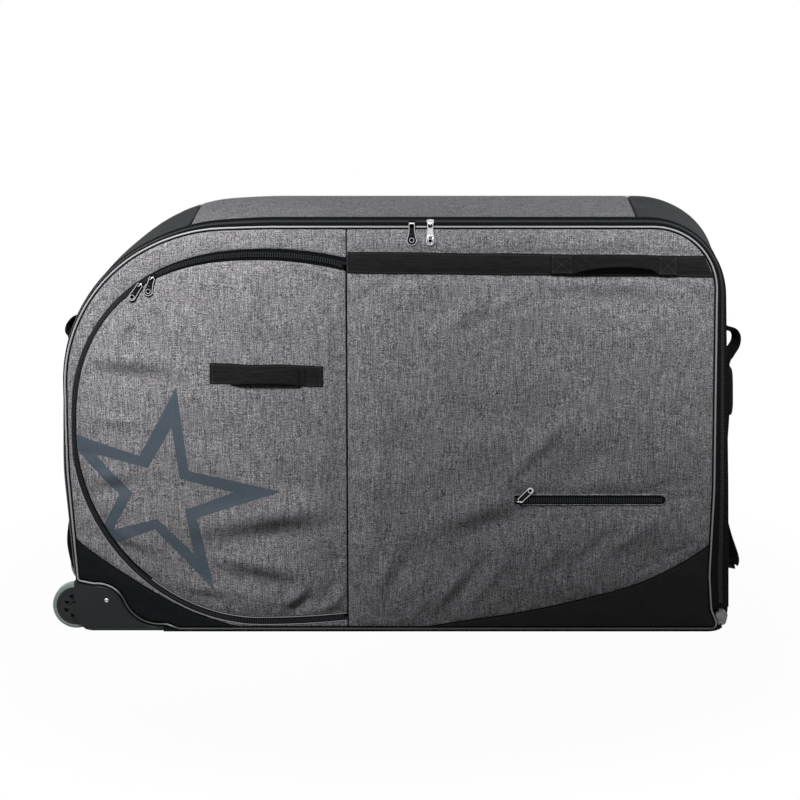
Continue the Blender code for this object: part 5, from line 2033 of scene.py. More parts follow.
@dataclass
class LidCloth:
    """The lid: two grey panels, two black corners, the piping and its flange."""

    # the black flange beside the cord: partly the piping's own tape, partly painted shade for the
    # seam's groove
    flange_w: float = 0.0075
    flange_out: float = 0.0010
    flange_y: Spot = (0.0030, 0.0045)       # how deep it lies behind the lid's face
    cord_share: float = 0.72                # how much of the piping's room its cord fills
    pocket: Sequence[float] = (0.232, 0.512, 0.252, 0.270)
    creases_right: Sequence[Crease] = (
        Crease(0.268, 0.359, 46, 0.079, 0.015, 0.0085),
        Crease(0.333, 0.301, 38, 0.085, 0.032, -0.0090),
        Crease(0.181, 0.251, 18, 0.085, 0.024, 0.0080),
        Crease(0.193, 0.214, 18, 0.085, 0.024, -0.0080),
        Crease(0.101, 0.081, 55, 0.049, 0.012, 0.0065),
        Crease(0.192, 0.116, 55, 0.053, 0.012, 0.0062),
        Crease(0.059, 0.057, 50, 0.034, 0.010, 0.0045),
        Crease(0.144, 0.097, 56, 0.049, 0.012, -0.0060),
        Crease(0.288, 0.144, 50, 0.045, 0.013, 0.0045),
        Crease(0.128, 0.618, 36, 0.053, 0.013, 0.0055),
        Crease(0.211, 0.639, 34, 0.053, 0.013, 0.0050),
        Crease(0.171, 0.607, 35, 0.049, 0.013, -0.0050),
        Crease(0.401, 0.683, -3, 0.117, 0.020, 0.0062),
        Crease(0.400, 0.651, -3, 0.117, 0.020, -0.0062),
        Crease(0.548, 0.547, 62, 0.056, 0.015, 0.0060),
        Crease(0.512, 0.505, 58, 0.056, 0.018, -0.0052),
        Crease(0.466, 0.203, 36, 0.060, 0.015, 0.0052),
        Crease(0.391, 0.174, 40, 0.060, 0.015, -0.0050),
        Crease(-0.024, 0.359, 86, 0.150, 0.022, 0.0055),
        Crease(-0.016, 0.122, 62, 0.053, 0.020, 0.0060),
        Crease(0.012, 0.107, 62, 0.053, 0.020, -0.0060),
    )
    creases_left: Sequence[Crease] = (
        Crease(-0.400, 0.748, 30, 0.030, 0.010, -0.0023),
        Crease(-0.200, 0.757, 88, 0.018, 0.012, 0.0019),
        Crease(-0.480, 0.180, -38, 0.060, 0.006, -0.0019),
    )

    def build(self) -> dict[str, Item]:
        """Make the lid's cloth and its edge.

        Returns:
            The panels that other pieces lie on, by name.
        """
        right = PaddedPanel("lid_right_canvas", "lid_right_panel", "lid", CANVAS, "grey_cloth",
                            seed=3, creases=self.creases_right, sewn=(
                                box_outline(*Webbing().band_box()),
                                box_outline(*self.pocket))).build()
        left = PaddedPanel("lid_left_canvas", "lid_left_panel", "lid", CANVAS, "grey_cloth",
                           seed=4, spacing=0.0065, swell=Swell(0.0020, 0.0010, held=0.006),
                           creases=self.creases_left).build()
        for side in ("left", "right"):
            PaddedPanel("lid_%s_corner_cloth" % side, "lid_%s_corner" % side, "lid", BLACK_CLOTH,
                        "black_cloth", seed=6, spacing=0.0075, uneven=0.0008,
                        swell=Swell(0.0025, 0.0015)).build()
        self.piping()
        return {"right": right, "left": left}

    def piping(self) -> None:
        """The vinyl piping and the black flange it is sewn in with, partly painted shade."""
        loop = evenly(LINES.piping_loop(), 0.005, closed=True)
        path = [(x, LINES.pipe_y, z) for x, z in loop]
        cord = tube("lid_piping_cord", path, LINES.pipe_r * self.cord_share, closed=True)
        fitted(cord, "lid", ("lid_piping",), PIPING)
        outer = offset_loop([tuple(p) for p in loop], -self.flange_out)
        inner = offset_loop([tuple(p) for p in loop], self.flange_w)
        y0, y1 = (LINES.front_y + deep for deep in self.flange_y)
        rings = [[(a[0], y0, a[1]), (a[0], y1, a[1]), (b[0], y1, b[1]), (b[0], y0, b[1])]
                 for a, b in zip(outer, inner)]
        flange = loft("lid_piping_flange", rings, closed=True)
        fitted(flange, "lid", (), TAPE)


@dataclass
class RoundFlap:
    """The round access flap with its print and top stitch; Webbing adds its patch and loop."""

    stitch_in: float = 0.0085       # how far the top stitch lies inside the rim
    print_in: float = 0.0028
    ink_t: float = 0.0002
    ink_step: float = 0.005         # its longest edge, so that it follows the folds
    star_tips: Sequence[Spot] = ((-0.403, 0.480), (-0.210, 0.279), (-0.338, 0.085),
                                 (-0.572, 0.160), (-0.632, 0.402))
    star_notches: Sequence[Spot] = ((-0.383, 0.319), (-0.369, 0.228), (-0.449, 0.206),
                                    (-0.514, 0.273), (-0.474, 0.348))
    star_inner_tips: Sequence[Spot] = ((-0.4130, 0.404), (-0.299, 0.277), (-0.376, 0.157),
                                       (-0.528, 0.204), (-0.558, 0.352))
    star_inner_notches: Sequence[Spot] = ((-0.400, 0.304), (-0.391, 0.243), (-0.443, 0.226),
                                          (-0.489, 0.275), (-0.459, 0.325))
    creases: Sequence[Crease] = (
        Crease(-0.490, 0.532, -6, 0.079, 0.020, 0.0070),
        Crease(-0.493, 0.500, -6, 0.079, 0.020, -0.0070),
        Crease(-0.513, 0.417, -9, 0.053, 0.012, 0.0050),
        Crease(-0.238, 0.232, 8, 0.113, 0.026, 0.0110),
        Crease(-0.232, 0.190, 8, 0.113, 0.026, -0.0110),
        Crease(-0.245, 0.134, -12, 0.071, 0.020, 0.0080),
        Crease(-0.251, 0.103, -12, 0.071, 0.020, -0.0080),
        Crease(-0.365, 0.089, -6, 0.049, 0.013, 0.0050),
        Crease(-0.367, 0.068, -6, 0.049, 0.013, -0.0050),
        Crease(-0.188, 0.068, 48, 0.032, 0.013, 0.0085),
        Crease(-0.172, 0.054, 48, 0.032, 0.013, -0.0085),
        Crease(-0.112, 0.061, 42, 0.034, 0.013, 0.0080),
        Crease(-0.496, 0.185, -22, 0.045, 0.015, 0.0055),
        Crease(-0.505, 0.163, -22, 0.045, 0.015, -0.0055),
        Crease(-0.254, 0.660, 82, 0.064, 0.024, 0.0046),
        Crease(-0.171, 0.598, 84, 0.056, 0.022, -0.0040),
        Crease(-0.530, 0.309, 12, 0.049, 0.016, 0.0048),
        Crease(-0.525, 0.284, 12, 0.049, 0.016, -0.0048),
        Crease(-0.103, 0.301, 87, 0.132, 0.020, -0.0060),
    )

    def build(self) -> Item:
        """Make the flap, its printed star and its top stitch.

        Returns:
            The flap's canvas.
        """
        canvas = PaddedPanel("flap_canvas", "access_flap", "flap", CANVAS, "grey_cloth", seed=8,
                             swell=Swell(0.0040, 0.0020), uneven=0.0014, trim=0.0014,
                             creases=self.creases).build()
        self.print_star(canvas)
        rim = offset_loop(node_loops("access_flap", LINES.front_y)[0], self.stitch_in)
        rim = [p for p in rim if p[0] < LINES.seam_x - self.stitch_in - 0.0002]
        start = max(range(len(rim)), key=lambda i: math.dist(rim[i], rim[i - 1]))
        stitched("flap_topstitch", canvas, [rim[start:] + rim[:start]], "flap",
                 GREY_THREAD)
        return canvas

    def print_star(self, canvas: Item) -> None:
        """The printed outline of a five-point star, cut off at the flap's edge.

        Args:
            canvas: the flap's canvas.
        """
        bound = offset_loop(node_loops("access_flap", LINES.front_y)[0], self.print_in)
        outer = [p for pair in zip(self.star_tips, self.star_notches) for p in pair]
        inner = [p for pair in zip(self.star_inner_tips, self.star_inner_notches) for p in pair]
        work = bmesh.new()
        for i in range(len(outer)):
            j = (i + 1) % len(outer)
            quad = clipped([outer[i], inner[i], inner[j], outer[j]][::-1], bound)
            if len(quad) > 2:
                work.faces.new([work.verts.new((x, 0.0, z)) for x, z in quad])
        bmesh.ops.remove_doubles(work, verts=work.verts, dist=1e-5)
        bmesh.ops.triangulate(work, faces=work.faces)
        for _ in range(6):
            long = [e for e in work.edges if e.calc_length() > self.ink_step]
            if long:
                bmesh.ops.subdivide_edges(work, edges=long, cuts=1)
                bmesh.ops.triangulate(work, faces=work.faces)
        places = front_spots(canvas, [(v.co.x, v.co.z) for v in work.verts], 0.0003)
        for vert, place in zip(work.verts, places):
            vert.co = place
        bmesh.ops.recalc_face_normals(work, faces=work.faces)
        if sum(f.normal.y for f in work.faces) > 0:
            bmesh.ops.reverse_faces(work, faces=work.faces)
        mesh = bpy.data.meshes.new("flap_star_print")
        work.to_mesh(mesh)
        work.free()
        item = linked("flap_star_print", mesh)
        step = item.modifiers.new("ink", "SOLIDIFY")
        step.thickness = self.ink_t
        step.offset = -1
        settled(item)
        smooth(item, 60)
        fitted(item, "flap", (), INK)


def clipped(shape: Sequence[Spot], bound: Sequence[Spot]) -> list[Spot]:
    """The part of a convex shape that lies inside a convex, anticlockwise outline.

    Args:
        shape: the shape's corners.
        bound: the outline's points.

    Returns:
        The part's corners.
    """
    kept = list(shape)
    for a, b in zip(bound, list(bound[1:]) + [bound[0]]):
        if not kept:
            break
        edge = (b[0] - a[0], b[1] - a[1])

        def side(p: Spot) -> float:
            """Positive inside this edge of the outline."""
            return edge[0] * (p[1] - a[1]) - edge[1] * (p[0] - a[0])

        made = []
        for i, p in enumerate(kept):
            q = kept[i - 1]
            if (side(p) >= 0) != (side(q) >= 0):
                t = side(q) / (side(q) - side(p))
                made.append((q[0] + (p[0] - q[0]) * t, q[1] + (p[1] - q[1]) * t))
            if side(p) >= 0:
                made.append(p)
        kept = made
    return kept


@dataclass(frozen=True)
class Grip:
    """A carry loop, as rows of (along, out, low edge, high edge, thickness)."""

    name: str
    node: str
    body: str
    x: float
    z: float
    slope: float
    rows: Sequence[tuple[float, float, float, float, float]]


BAND_GRIP = Grip("band_handle_webbing", "front_band_handle", "lid", 0.4075, 0.7105, -0.0112, (
    (-0.116, 0.0, -0.0180, 0.0180, 0.0030), (-0.096, 0.0, -0.0180, 0.0180, 0.0030),
    (-0.080, 0.0005, -0.0180, 0.0182, 0.0030), (-0.071, 0.0050, -0.0150, 0.0188, 0.0034),
    (-0.055, 0.0110, -0.0092, 0.0195, 0.0045), (-0.028, 0.0150, -0.0035, 0.0200, 0.0052),
    (0.008, 0.0160, -0.0005, 0.0200, 0.0052), (0.042, 0.0150, -0.0020, 0.0200, 0.0052),
    (0.066, 0.0105, -0.0060, 0.0195, 0.0045), (0.077, 0.0048, -0.0135, 0.0188, 0.0034),
    (0.084, 0.0005, -0.0180, 0.0182, 0.0030), (0.098, 0.0, -0.0180, 0.0180, 0.0030),
    (0.116, 0.0, -0.0180, 0.0180, 0.0030)))
FLAP_GRIP = Grip("flap_handle_webbing", "flap_handle", "flap", -0.2365, 0.5035, -0.026, (
    (-0.0660, 0.0000, -0.0185, 0.0185, 0.0030), (-0.0600, 0.0004, -0.0185, 0.0185, 0.0030),
    (-0.0535, 0.0019, -0.0180, 0.0165, 0.0034), (-0.0460, 0.0038, -0.0170, 0.0118, 0.0042),
    (-0.0350, 0.0054, -0.0155, 0.0104, 0.0050), (-0.0100, 0.0066, -0.0140, 0.0115, 0.0054),
    (0.0200, 0.0067, -0.0140, 0.0135, 0.0054), (0.0440, 0.0062, -0.0150, 0.0160, 0.0050),
    (0.0560, 0.0045, -0.0175, 0.0165, 0.0044), (0.0620, 0.0024, -0.0192, 0.0150, 0.0036),
    (0.0650, 0.0005, -0.0185, 0.0150, 0.0030), (0.0730, 0.0000, -0.0180, 0.0160, 0.0030)))


@dataclass
class Webbing:
    """The band across the lid, the flap's patch and the two carry loops."""

    thick: float = 0.0018
    inset: float = 0.0035           # how far in from the edges a tape is stitched
    patch_inset: float = 0.0030
    band_x: Spot = (-0.0835, 0.590)
    band_middle: float = 0.25
    band_z: float = 0.7105          # its height there
    band_w: float = 0.0405
    band_slope: float = -0.0112
    box_x: Sequence[Spot] = ((-0.1130, -0.0800), (0.0850, 0.1130))
    box_z: float = 0.0140
    patch: Sequence[float] = (-0.2350, 0.5035, 0.2105, 0.0395)  # x, z, length and width
    patch_slope: float = -0.026
    patch_wave: Spot = (0.0006, 55)
    band_wave: Spot = (0.0005, 31)

    def band_box(self) -> tuple[float, float, float, float]:
        """The reach of the band, as x and z."""
        return (self.band_x[0] + 0.004, self.band_x[1], self.band_z - self.band_w / 2,
                self.band_z + self.band_w / 2)

    def build(self, lid: Item, flap: Item) -> None:
        """Make both tapes and both loops.

        Args:
            lid: the lid's right canvas.
            flap: the flap's canvas.
        """
        band = self.band(lid)
        handle = self.loop(BAND_GRIP, band)
        for x0, x1 in self.box_x:
            middle = BAND_GRIP.z + BAND_GRIP.slope * (x0 + x1) / 2
            stitched("band_handle_box_%s" % ("left" if x0 < 0 else "right"), handle,
                     frame_of(BAND_GRIP.x + x0, BAND_GRIP.x + x1, middle - self.box_z,
                              middle + self.box_z), "lid")
        px, pz, length, width = self.patch
        height, pace = self.patch_wave
        steps = [px - length / 2 + length * k / 40 for k in range(41)]
        wave = [pz + self.patch_slope * (x - px) + height * math.sin((x - px) * pace)
                for x in steps]
        low = [(x, z - width / 2) for x, z in zip(steps, wave)]
        high = [(x, z + width / 2) for x, z in zip(steps, wave)]
        patch = ribbon_on("flap_patch_webbing", flap, low, high, self.thick)
        fitted(patch, "flap", ("flap_patch",), WEBBING_X)
        inset = self.patch_inset
        rows = [[(x, z + inset) for x, z in low[1:-1]], [(x, z - inset) for x, z in high[1:-1]],
                [(low[1][0], low[1][1] + inset), (high[1][0], high[1][1] - inset)],
                [(low[-2][0], low[-2][1] + inset), (high[-2][0], high[-2][1] - inset)]]
        stitched("flap_patch_stitches", patch, rows, "flap")
        self.loop(FLAP_GRIP, patch)

    def band(self, lid: Item) -> Item:
        """The band, cut off where the lid's piping runs.

        Args:
            lid: the lid's right canvas.

        Returns:
            The band.
        """
        panel = offset_loop(node_loops("lid_right_panel", LINES.front_y)[0], 0.0012)
        ends = []
        for side in (-1, 1):
            z = (self.band_z + self.band_slope * (self.band_x[1] - self.band_middle)
                 + side * self.band_w / 2)
            ends.append(crossing(panel, 1, z, 1)[1][0])
        count = 110
        height, pace = self.band_wave
        low, high = [], []
        for k in range(count + 1):
            share = k / count
            for row, end, side in ((low, ends[0], -1), (high, ends[1], 1)):
                x = self.band_x[0] + (end - self.band_x[0]) * share
                z = (self.band_z + self.band_slope * (x - self.band_middle)
                     + side * self.band_w / 2)
                row.append((x, z + height * math.sin(x * pace + side)))
        band = ribbon_on("band_webbing", lid, low, high, self.thick)
        fitted(band, "lid", ("front_band",), WEBBING_X)
        rows = [[(x, z + self.inset) for x, z in low[1:-1]],
                [(x, z - self.inset) for x, z in high[1:-1]]]
        stitched("band_stitches", band, rows, "lid")
        return band

    def loop(self, grip: Grip, under: Item) -> Item:
        """A carry loop whose feet lie flat and whose folded middle stands off.

        Args:
            grip: its place and its rows.
            under: the piece that its feet are sewn to.

        Returns:
            The loop.
        """
        runs = smooth_path([(r[0], max(r[1], 0.0), r[4]) for r in grip.rows])
        edges = smooth_path([(r[0], r[2], r[3]) for r in grip.rows])
        seats = front_spots(under, [(grip.x + p.x, grip.z + grip.slope * p.x) for p in runs], 0.0)
        path, widths, thick = [], [], []
        for p, e, seat in zip(runs, edges, seats):
            y = seat.y - p.z / 2 - 0.0003 - max(0.0, p.y)
            path.append(Vector((grip.x + p.x, y, grip.z + grip.slope * p.x)))
            widths.append((e.y, e.z))
            thick.append(p.z)
        made = strap(grip.name, path, widths, thick, Vector((0, 0, 1)), cup=-0.0007)
        return fitted(made, grip.body, (grip.node,), WEBBING_X)


@dataclass
class Zips:
    """The three coil zips: their tapes and their teeth."""

    tooth_pitch: float = 0.0044     # a 2 mm coil drawn coarser, so that its turns show
    tape_t: float = 0.0014
    tape_end: float = 0.0040        # how far from the seam the flap's own half begins
    teeth_end: float = 0.0100
    halves: Sequence[Spot] = ((0.0, 0.47), (0.53, 1.0))     # the main tapes' shares of the slope
    teeth_at: Spot = (0.445, 0.555)
    binding_t: float = 0.0009
    binding_y: Spot = (-0.0008, 0.0085)     # how far it reaches over the wall's edge
    binding_ring: Sequence[Spot] = ((0.0, 0.6), (0.0012, 1.0), (-0.001, 1.0), (0.0, 0.4))
    binding_foot: Spot = (-0.002, -0.001)
    # body, highest point and offset of each pale cord that is a painted edge highlight
    edge_highlights: Sequence[tuple[str, float, float]] = (("lid", 0.330, 0.0008), ("flap", 0.110, -0.0006))
    pocket_sink: Spot = (0.0004, 0.0008)    # how far its band stands out and reaches in
    flap_halves: Sequence[Spot] = ((-0.10, 0.470), (0.530, 1.10))
    flap_dip: Spot = (0.0016, 0.0018)       # depth of the flap's tape, and its rise to the teeth
    tooth_off: float = 0.0021       # from a zip's middle to one row of its teeth
    tooth_out: float = 0.0004
    edge_highlight_r: float = 0.0010
    welt: Spot = (0.0016, 0.0017)   # how far out the pocket's welt lies, and its radius

    def build(self) -> None:
        """Make the main zip, the flap's zip and the small pocket's."""
        self.main_zip()
        self.flap_zip()
        self.pocket_zip()

    def teeth(self, name: str, body: str, path: Sequence[Vector],
              outs: Sequence[Vector] | None = None) -> None:
        """A row of coil teeth.

        Args:
            name: the row's name.
            body: the body that moves it.
            path: its line.
            outs: the way out of the cloth at each point, unless it is to the front.
        """
        outs = outs or [Vector((0, -1, 0))] * len(path)
        made = Row(name, self.tooth_pitch, coil_tooth, COIL).lay([path], [outs])
        smooth(made, 50)
        fitted(made, body)

    def sloping(self, name: str, inner: Sequence[Spot], outer: Sequence[Spot], share: Spot,
                depths: Spot, across: int = 5) -> Item:
        """A tape on the slope between two paths at different depths.

        Args:
            name: the tape's name.
            inner: the path nearer the lid.
            outer: the path nearer the wall.
            share: the part of the slope that it covers.
            depths: depths of both paths.
            across: steps across it.

        Returns:
            The tape.
        """
        rings = []
        for a, b in zip(inner, outer):
            face = []
            for k in range(across + 1):
                s = share[0] + (share[1] - share[0]) * k / across
                y = depths[0] + (depths[1] - depths[0]) * s
                face.append((a[0] + (b[0] - a[0]) * s, y, a[1] + (b[1] - a[1]) * s))
            back = [(x, y + self.tape_t, z) for x, y, z in face[::-1]]
            rings.append(face + back)
        made = loft(name, rings)
        smooth(made, 40)
        return made

    def main_zip(self) -> None:
        """Both tapes of the main zip, its teeth and the binding over the wall's edge."""
        end_z = LINES.housing_left_z + LINES.pipe_turn
        inner = evenly(LINES.sides(LINES.pipe.drawn_in(-LINES.pipe_r - LINES.gap),
                                   LINES.zip_foot_z, end_z), 0.006)
        outer = evenly(LINES.sides(LINES.wall, LINES.zip_foot_z, end_z), 0.006)
        count = min(len(inner), len(outer))
        inner, outer = (evenly(path, self.length(path) / (count - 1) * 1.0001)
                        for path in (inner, outer))
        count = min(len(inner), len(outer))
        inner, outer = inner[:count], outer[:count]
        depths = (LINES.pipe_y, LINES.wall_front_y - LINES.gap - self.tape_t)
        lid = self.sloping("main_zip_tape_lid", inner, outer, self.halves[0], depths)
        fitted(lid, "lid", ("lid_zip_tape",), TAPE)
        case = self.sloping("main_zip_tape_case", inner, outer, self.halves[1], depths)
        fitted(case, "case", ("case_zip_tape",), TAPE)
        for body, share in zip(("lid", "case"), self.teeth_at):
            path, outs = [], []
            for i in range(2, count - 2):
                a = Vector((inner[i][0], depths[0], inner[i][1]))
                b = Vector((outer[i][0], depths[1], outer[i][1]))
                ahead = Vector((inner[i + 1][0] - inner[i - 1][0], 0,
                                inner[i + 1][1] - inner[i - 1][1]))
                out = ahead.cross(b - a).normalized()
                if out.y > 0:
                    out = -out
                path.append(a.lerp(b, share))
                outs.append(out)
            self.teeth("main_zip_teeth_%s" % body, body, path, outs)
        self.binding(outer)

    @staticmethod
    def length(path: np.ndarray) -> float:
        """Length of a path."""
        return float(np.linalg.norm(np.diff(path, axis=0), axis=1).sum())

    def binding(self, outer: np.ndarray) -> None:
        """The black binding that wraps the front edge of the walls.

        Args:
            outer: the wall's front edge in (x, z).
        """
        y0, y1 = (LINES.wall_front_y + y for y in self.binding_y)
        rows = [(y0, self.binding_foot[0])]
        rows += [(y + deep, self.binding_t * share)
                 for y, (deep, share) in zip((y0, y0, y1, y1), self.binding_ring)]
        rows.append((y1, self.binding_foot[1]))
        rings = []
        for i, (x, z) in enumerate(outer):
            a, b = outer[max(i - 1, 0)], outer[min(i + 1, len(outer) - 1)]
            way = np.array([b[1] - a[1], -(b[0] - a[0])])
            way /= np.linalg.norm(way)
            rings.append([(x + way[0] * off, y, z + way[1] * off) for y, off in rows])
        made = loft("wall_edge_binding", rings)
        smooth(made, 40)
        fitted(made, "case", (), TAPE)

    @staticmethod
    def up_to(outer: Sequence[Spot], inner: Sequence[Spot], last: float
              ) -> tuple[list[Spot], list[Spot]]:
        """Two rims with both of their ends drawn back to a line beside the seam."""
        return tuple([(min(x, last), z) for x, z in rim] for rim in (outer, inner))

    def flap_zip(self) -> None:
        """The flap's zip: tapes, two rows of teeth, and pale cords as painted edge highlights."""
        seam = LINES.seam_x - 0.0003
        opening = LINES.flap_rim(LINES.opening, seam, -LINES.gap)
        edge = LINES.flap_rim(LINES.flap_edge, seam, LINES.gap)
        y = LINES.front_y
        dip, rise = self.flap_dip
        for (name, node, body), (lo, hi) in zip((
                ("flap_zip_tape_outer", "flap_zip_tape_lid", "lid"),
                ("flap_zip_tape_inner", "flap_zip_tape", "flap")), self.flap_halves):
            rings = []
            last = seam - (self.tape_end if body == "flap" else 0.0)
            for a, b in zip(*self.up_to(opening, edge, last)):
                face = []
                for k in range(7):
                    s = lo + (hi - lo) * k / 6
                    near = 1 - min(1.0, abs(s - 0.5) / 0.5)
                    depth = y + dip - rise * near
                    face.append((a[0] + (b[0] - a[0]) * s, depth, a[1] + (b[1] - a[1]) * s))
                rings.append(face + [(x, d + self.tape_t, z) for x, d, z in face[::-1]])
            tape = loft(name, rings)
            smooth(tape, 40)
            fitted(tape, body, (node,), TAPE)
        for body, side in (("lid", -self.tooth_off), ("flap", self.tooth_off)):
            path = []
            last = seam - (self.teeth_end if body == "flap" else 0.0)
            for a, b in zip(*self.up_to(opening, edge, last)):
                s = 0.5 + side / math.dist(a, b)
                path.append(Vector((a[0] + (b[0] - a[0]) * s, y - self.tooth_out,
                                    a[1] + (b[1] - a[1]) * s)))
            self.teeth("flap_zip_teeth_%s" % body, body, path)
        # pale cords along the lower edges: painted highlights of the cloth's turned edges
        for (body, top, grow), rim in zip(self.edge_highlights, (LINES.opening, LINES.flap_edge)):
            line = [p for p in LINES.flap_rim(rim, seam - 0.002, grow) if p[1] < top]
            highlight_cord = tube("flap_zip_hem_%s" % body, [(x, y - self.tooth_out, z) for x, z in line],
                       self.edge_highlight_r, 8)
            smooth(highlight_cord, 50)
            fitted(highlight_cord, body, (), EDGE_HIGHLIGHT)

    def pocket_zip(self) -> None:
        """The small pocket's zip between two narrow welts of canvas."""
        low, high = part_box("pocket_zip_tape")
        z = (low.z + high.z) / 2
        half = (high.z - low.z) / 2
        outline = rounded([(low.x, z - half, 0, 0), (high.x, z - half, half * 0.98, 8),
                           (high.x, z + half, half * 0.98, 8), (low.x, z + half, 0, 0)])
        tape = plate("pocket_zip_band", [outline], low.y - self.pocket_sink[0],
                     high.y + self.pocket_sink[1], 0.006, 0.0006)
        smooth(tape, 40)
        fitted(tape, "lid", ("pocket_zip_tape",), TAPE)
        for side in (-1, 1):
            path = [Vector((x, low.y - 0.0007, z + side * self.tooth_off))
                    for x in np.linspace(low.x + 0.002, high.x - 0.008, 60)]
            self.teeth("pocket_zip_teeth_%s" % ("low" if side < 0 else "high"), "lid", path)
        welt = evenly(offset_loop(outline, -self.welt[0]), 0.004, True)
        cord = tube("pocket_welt", [(x, high.y - 0.0002, up) for x, up in welt], self.welt[1], 8,
                    closed=True)
        fitted(cord, "lid", (), CANVAS)


@dataclass
class ZipPull:
    """A zip's slider and the puller that hangs on it."""

    stem: str
    finish: Finish
    slot: str
    pivot: Vector
    pull: Vector
    along: Vector
    foot_w: float = 0.0150
    head_w: float = 0.0120
    length: float = 0.0405
    thick: float = 0.0018
    hole_r: float = 0.0032
    crown_reach: float = 0.0050
    crown_rise: float = 0.0030
    crown_r: float = 0.0010
    bead_r: float = 0.0009
    ring_out: float = 0.0008
    ease: float = 0.0007
    eye: Sequence[float] = (0.0028, -0.0009, -0.0036)   # half width, top and foot of the eye
    neck: Spot = (0.0012, 0.0032)   # how far the plate reaches over its eye, and its corners
    waist: Spot = (0.95, 0.30)      # shares of its head's width and of its length
    shoulder: float = 0.74          # share of its length where its foot begins
    edge: Spot = (0.0030, 0.0004)   # mesh size on the plate, and the radius of its rim
    out: Vector = field(default_factory=lambda: Vector((0, -1, 0)))

    def build(self) -> None:
        """Make the slider and its puller in place of their solids."""
        self.slider()
        self.puller()

    def puller_body(self) -> str:
        """The puller's body in the record."""
        return self.stem.replace("slider", "puller")

    def slider(self) -> None:
        """The wedge-shaped slider with its crown, the arch that holds the puller."""
        item = eased_copy(self.stem, self.stem + "_wedge", 1e-6, 3, self.ease, 3)
        item.data.materials.clear()
        item.data.materials.append(self.finish.material())
        low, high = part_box(self.stem)
        middle = (low + high) / 2
        seat = middle + self.out * (high.y - low.y) / 2
        arch = []
        for k in range(13):
            turn = math.pi * k / 12
            arch.append(seat - self.along * self.crown_reach * math.cos(turn)
                        + self.out * (self.crown_rise * math.sin(turn) - 0.0006))
        crown = tube(self.stem + "_crown", arch, self.crown_r, 8,
                     depth=self.out.cross(self.along))
        crown.data.materials.append(BRIGHT.material())
        body = joined(self.stem + "_body", [item, crown])
        smooth(body, 40)
        fitted(body, self.stem, (self.stem,))

    def puller(self) -> None:
        """A drop-shaped plate with an eye, bright raised edges and a hole near its end."""
        hinge = self.pull.cross(self.out).normalized()
        face = hinge.cross(self.pull).normalized()
        if face.dot(self.out) < 0:
            face = -face
        head, foot, end = self.head_w / 2, self.foot_w / 2, -self.length + 0.001
        top, corner = self.neck
        half = [(head, top, corner, 6),
                (head * self.waist[0], -self.length * self.waist[1], 0.02, 3),
                (foot, -self.length * self.shoulder, 0.012, 4), (foot, end, foot * 0.97, 9)]
        outline = rounded([(-x, z, r, steps) for x, z, r, steps in half] + half[::-1],
                          closed=True)
        middle = end + foot + 0.0004
        drill = [(self.hole_r * math.cos(-math.tau * k / 20),
                  middle + self.hole_r * math.sin(-math.tau * k / 20)) for k in range(20)]
        wide, high, low = self.eye
        eye = rounded([(-wide, high, 0.0008, 3), (wide, high, 0.0008, 3),
                       (wide, low, 0.0012, 4), (-wide, low, 0.0012, 4)], closed=True)
        if signed_area(eye) > 0:
            eye = eye[::-1]
        half = self.thick / 2
        body = plate(self.stem + "_plate", [outline, drill, eye], -half, half, *self.edge, 2,
                     fill=False)
        body.data.materials.append(self.finish.material())
        parts = [body]
        rim = offset_loop(outline, self.bead_r)
        for name, loop in (("bead", evenly(rim, 0.0016, True)),
                           ("ring", drill_rim(drill, self.ring_out))):
            bead = tube("%s_%s" % (self.stem, name), [(x, -half, z) for x, z in loop],
                        self.bead_r, 6, closed=True)
            bead.data.materials.append(BRIGHT.material())
            parts.append(bead)
        item = joined(self.stem + "_puller_plate", parts)
        turn = Matrix((hinge, -face, -self.pull)).transposed().to_4x4()
        item.data.transform(Matrix.Translation(self.pivot) @ turn)
        work = bmesh.new()
        work.from_mesh(item.data)
        bmesh.ops.recalc_face_normals(work, faces=work.faces)
        work.to_mesh(item.data)
        work.free()
        smooth(item, 40)
        fitted(item, self.puller_body(), (self.stem + "_puller",))


def drill_rim(loop: Sequence[Spot], grow: float) -> list[Spot]:
    """A hole's outline grown outwards from its own middle.

    Args:
        loop: the hole's outline.
        grow: by how much.

    Returns:
        The grown outline.
    """
    spots = np.array(loop)
    middle = spots.mean(axis=0)
    away = spots - middle
    away /= np.linalg.norm(away, axis=1)[:, None]
    return [tuple(p) for p in spots + away * grow]


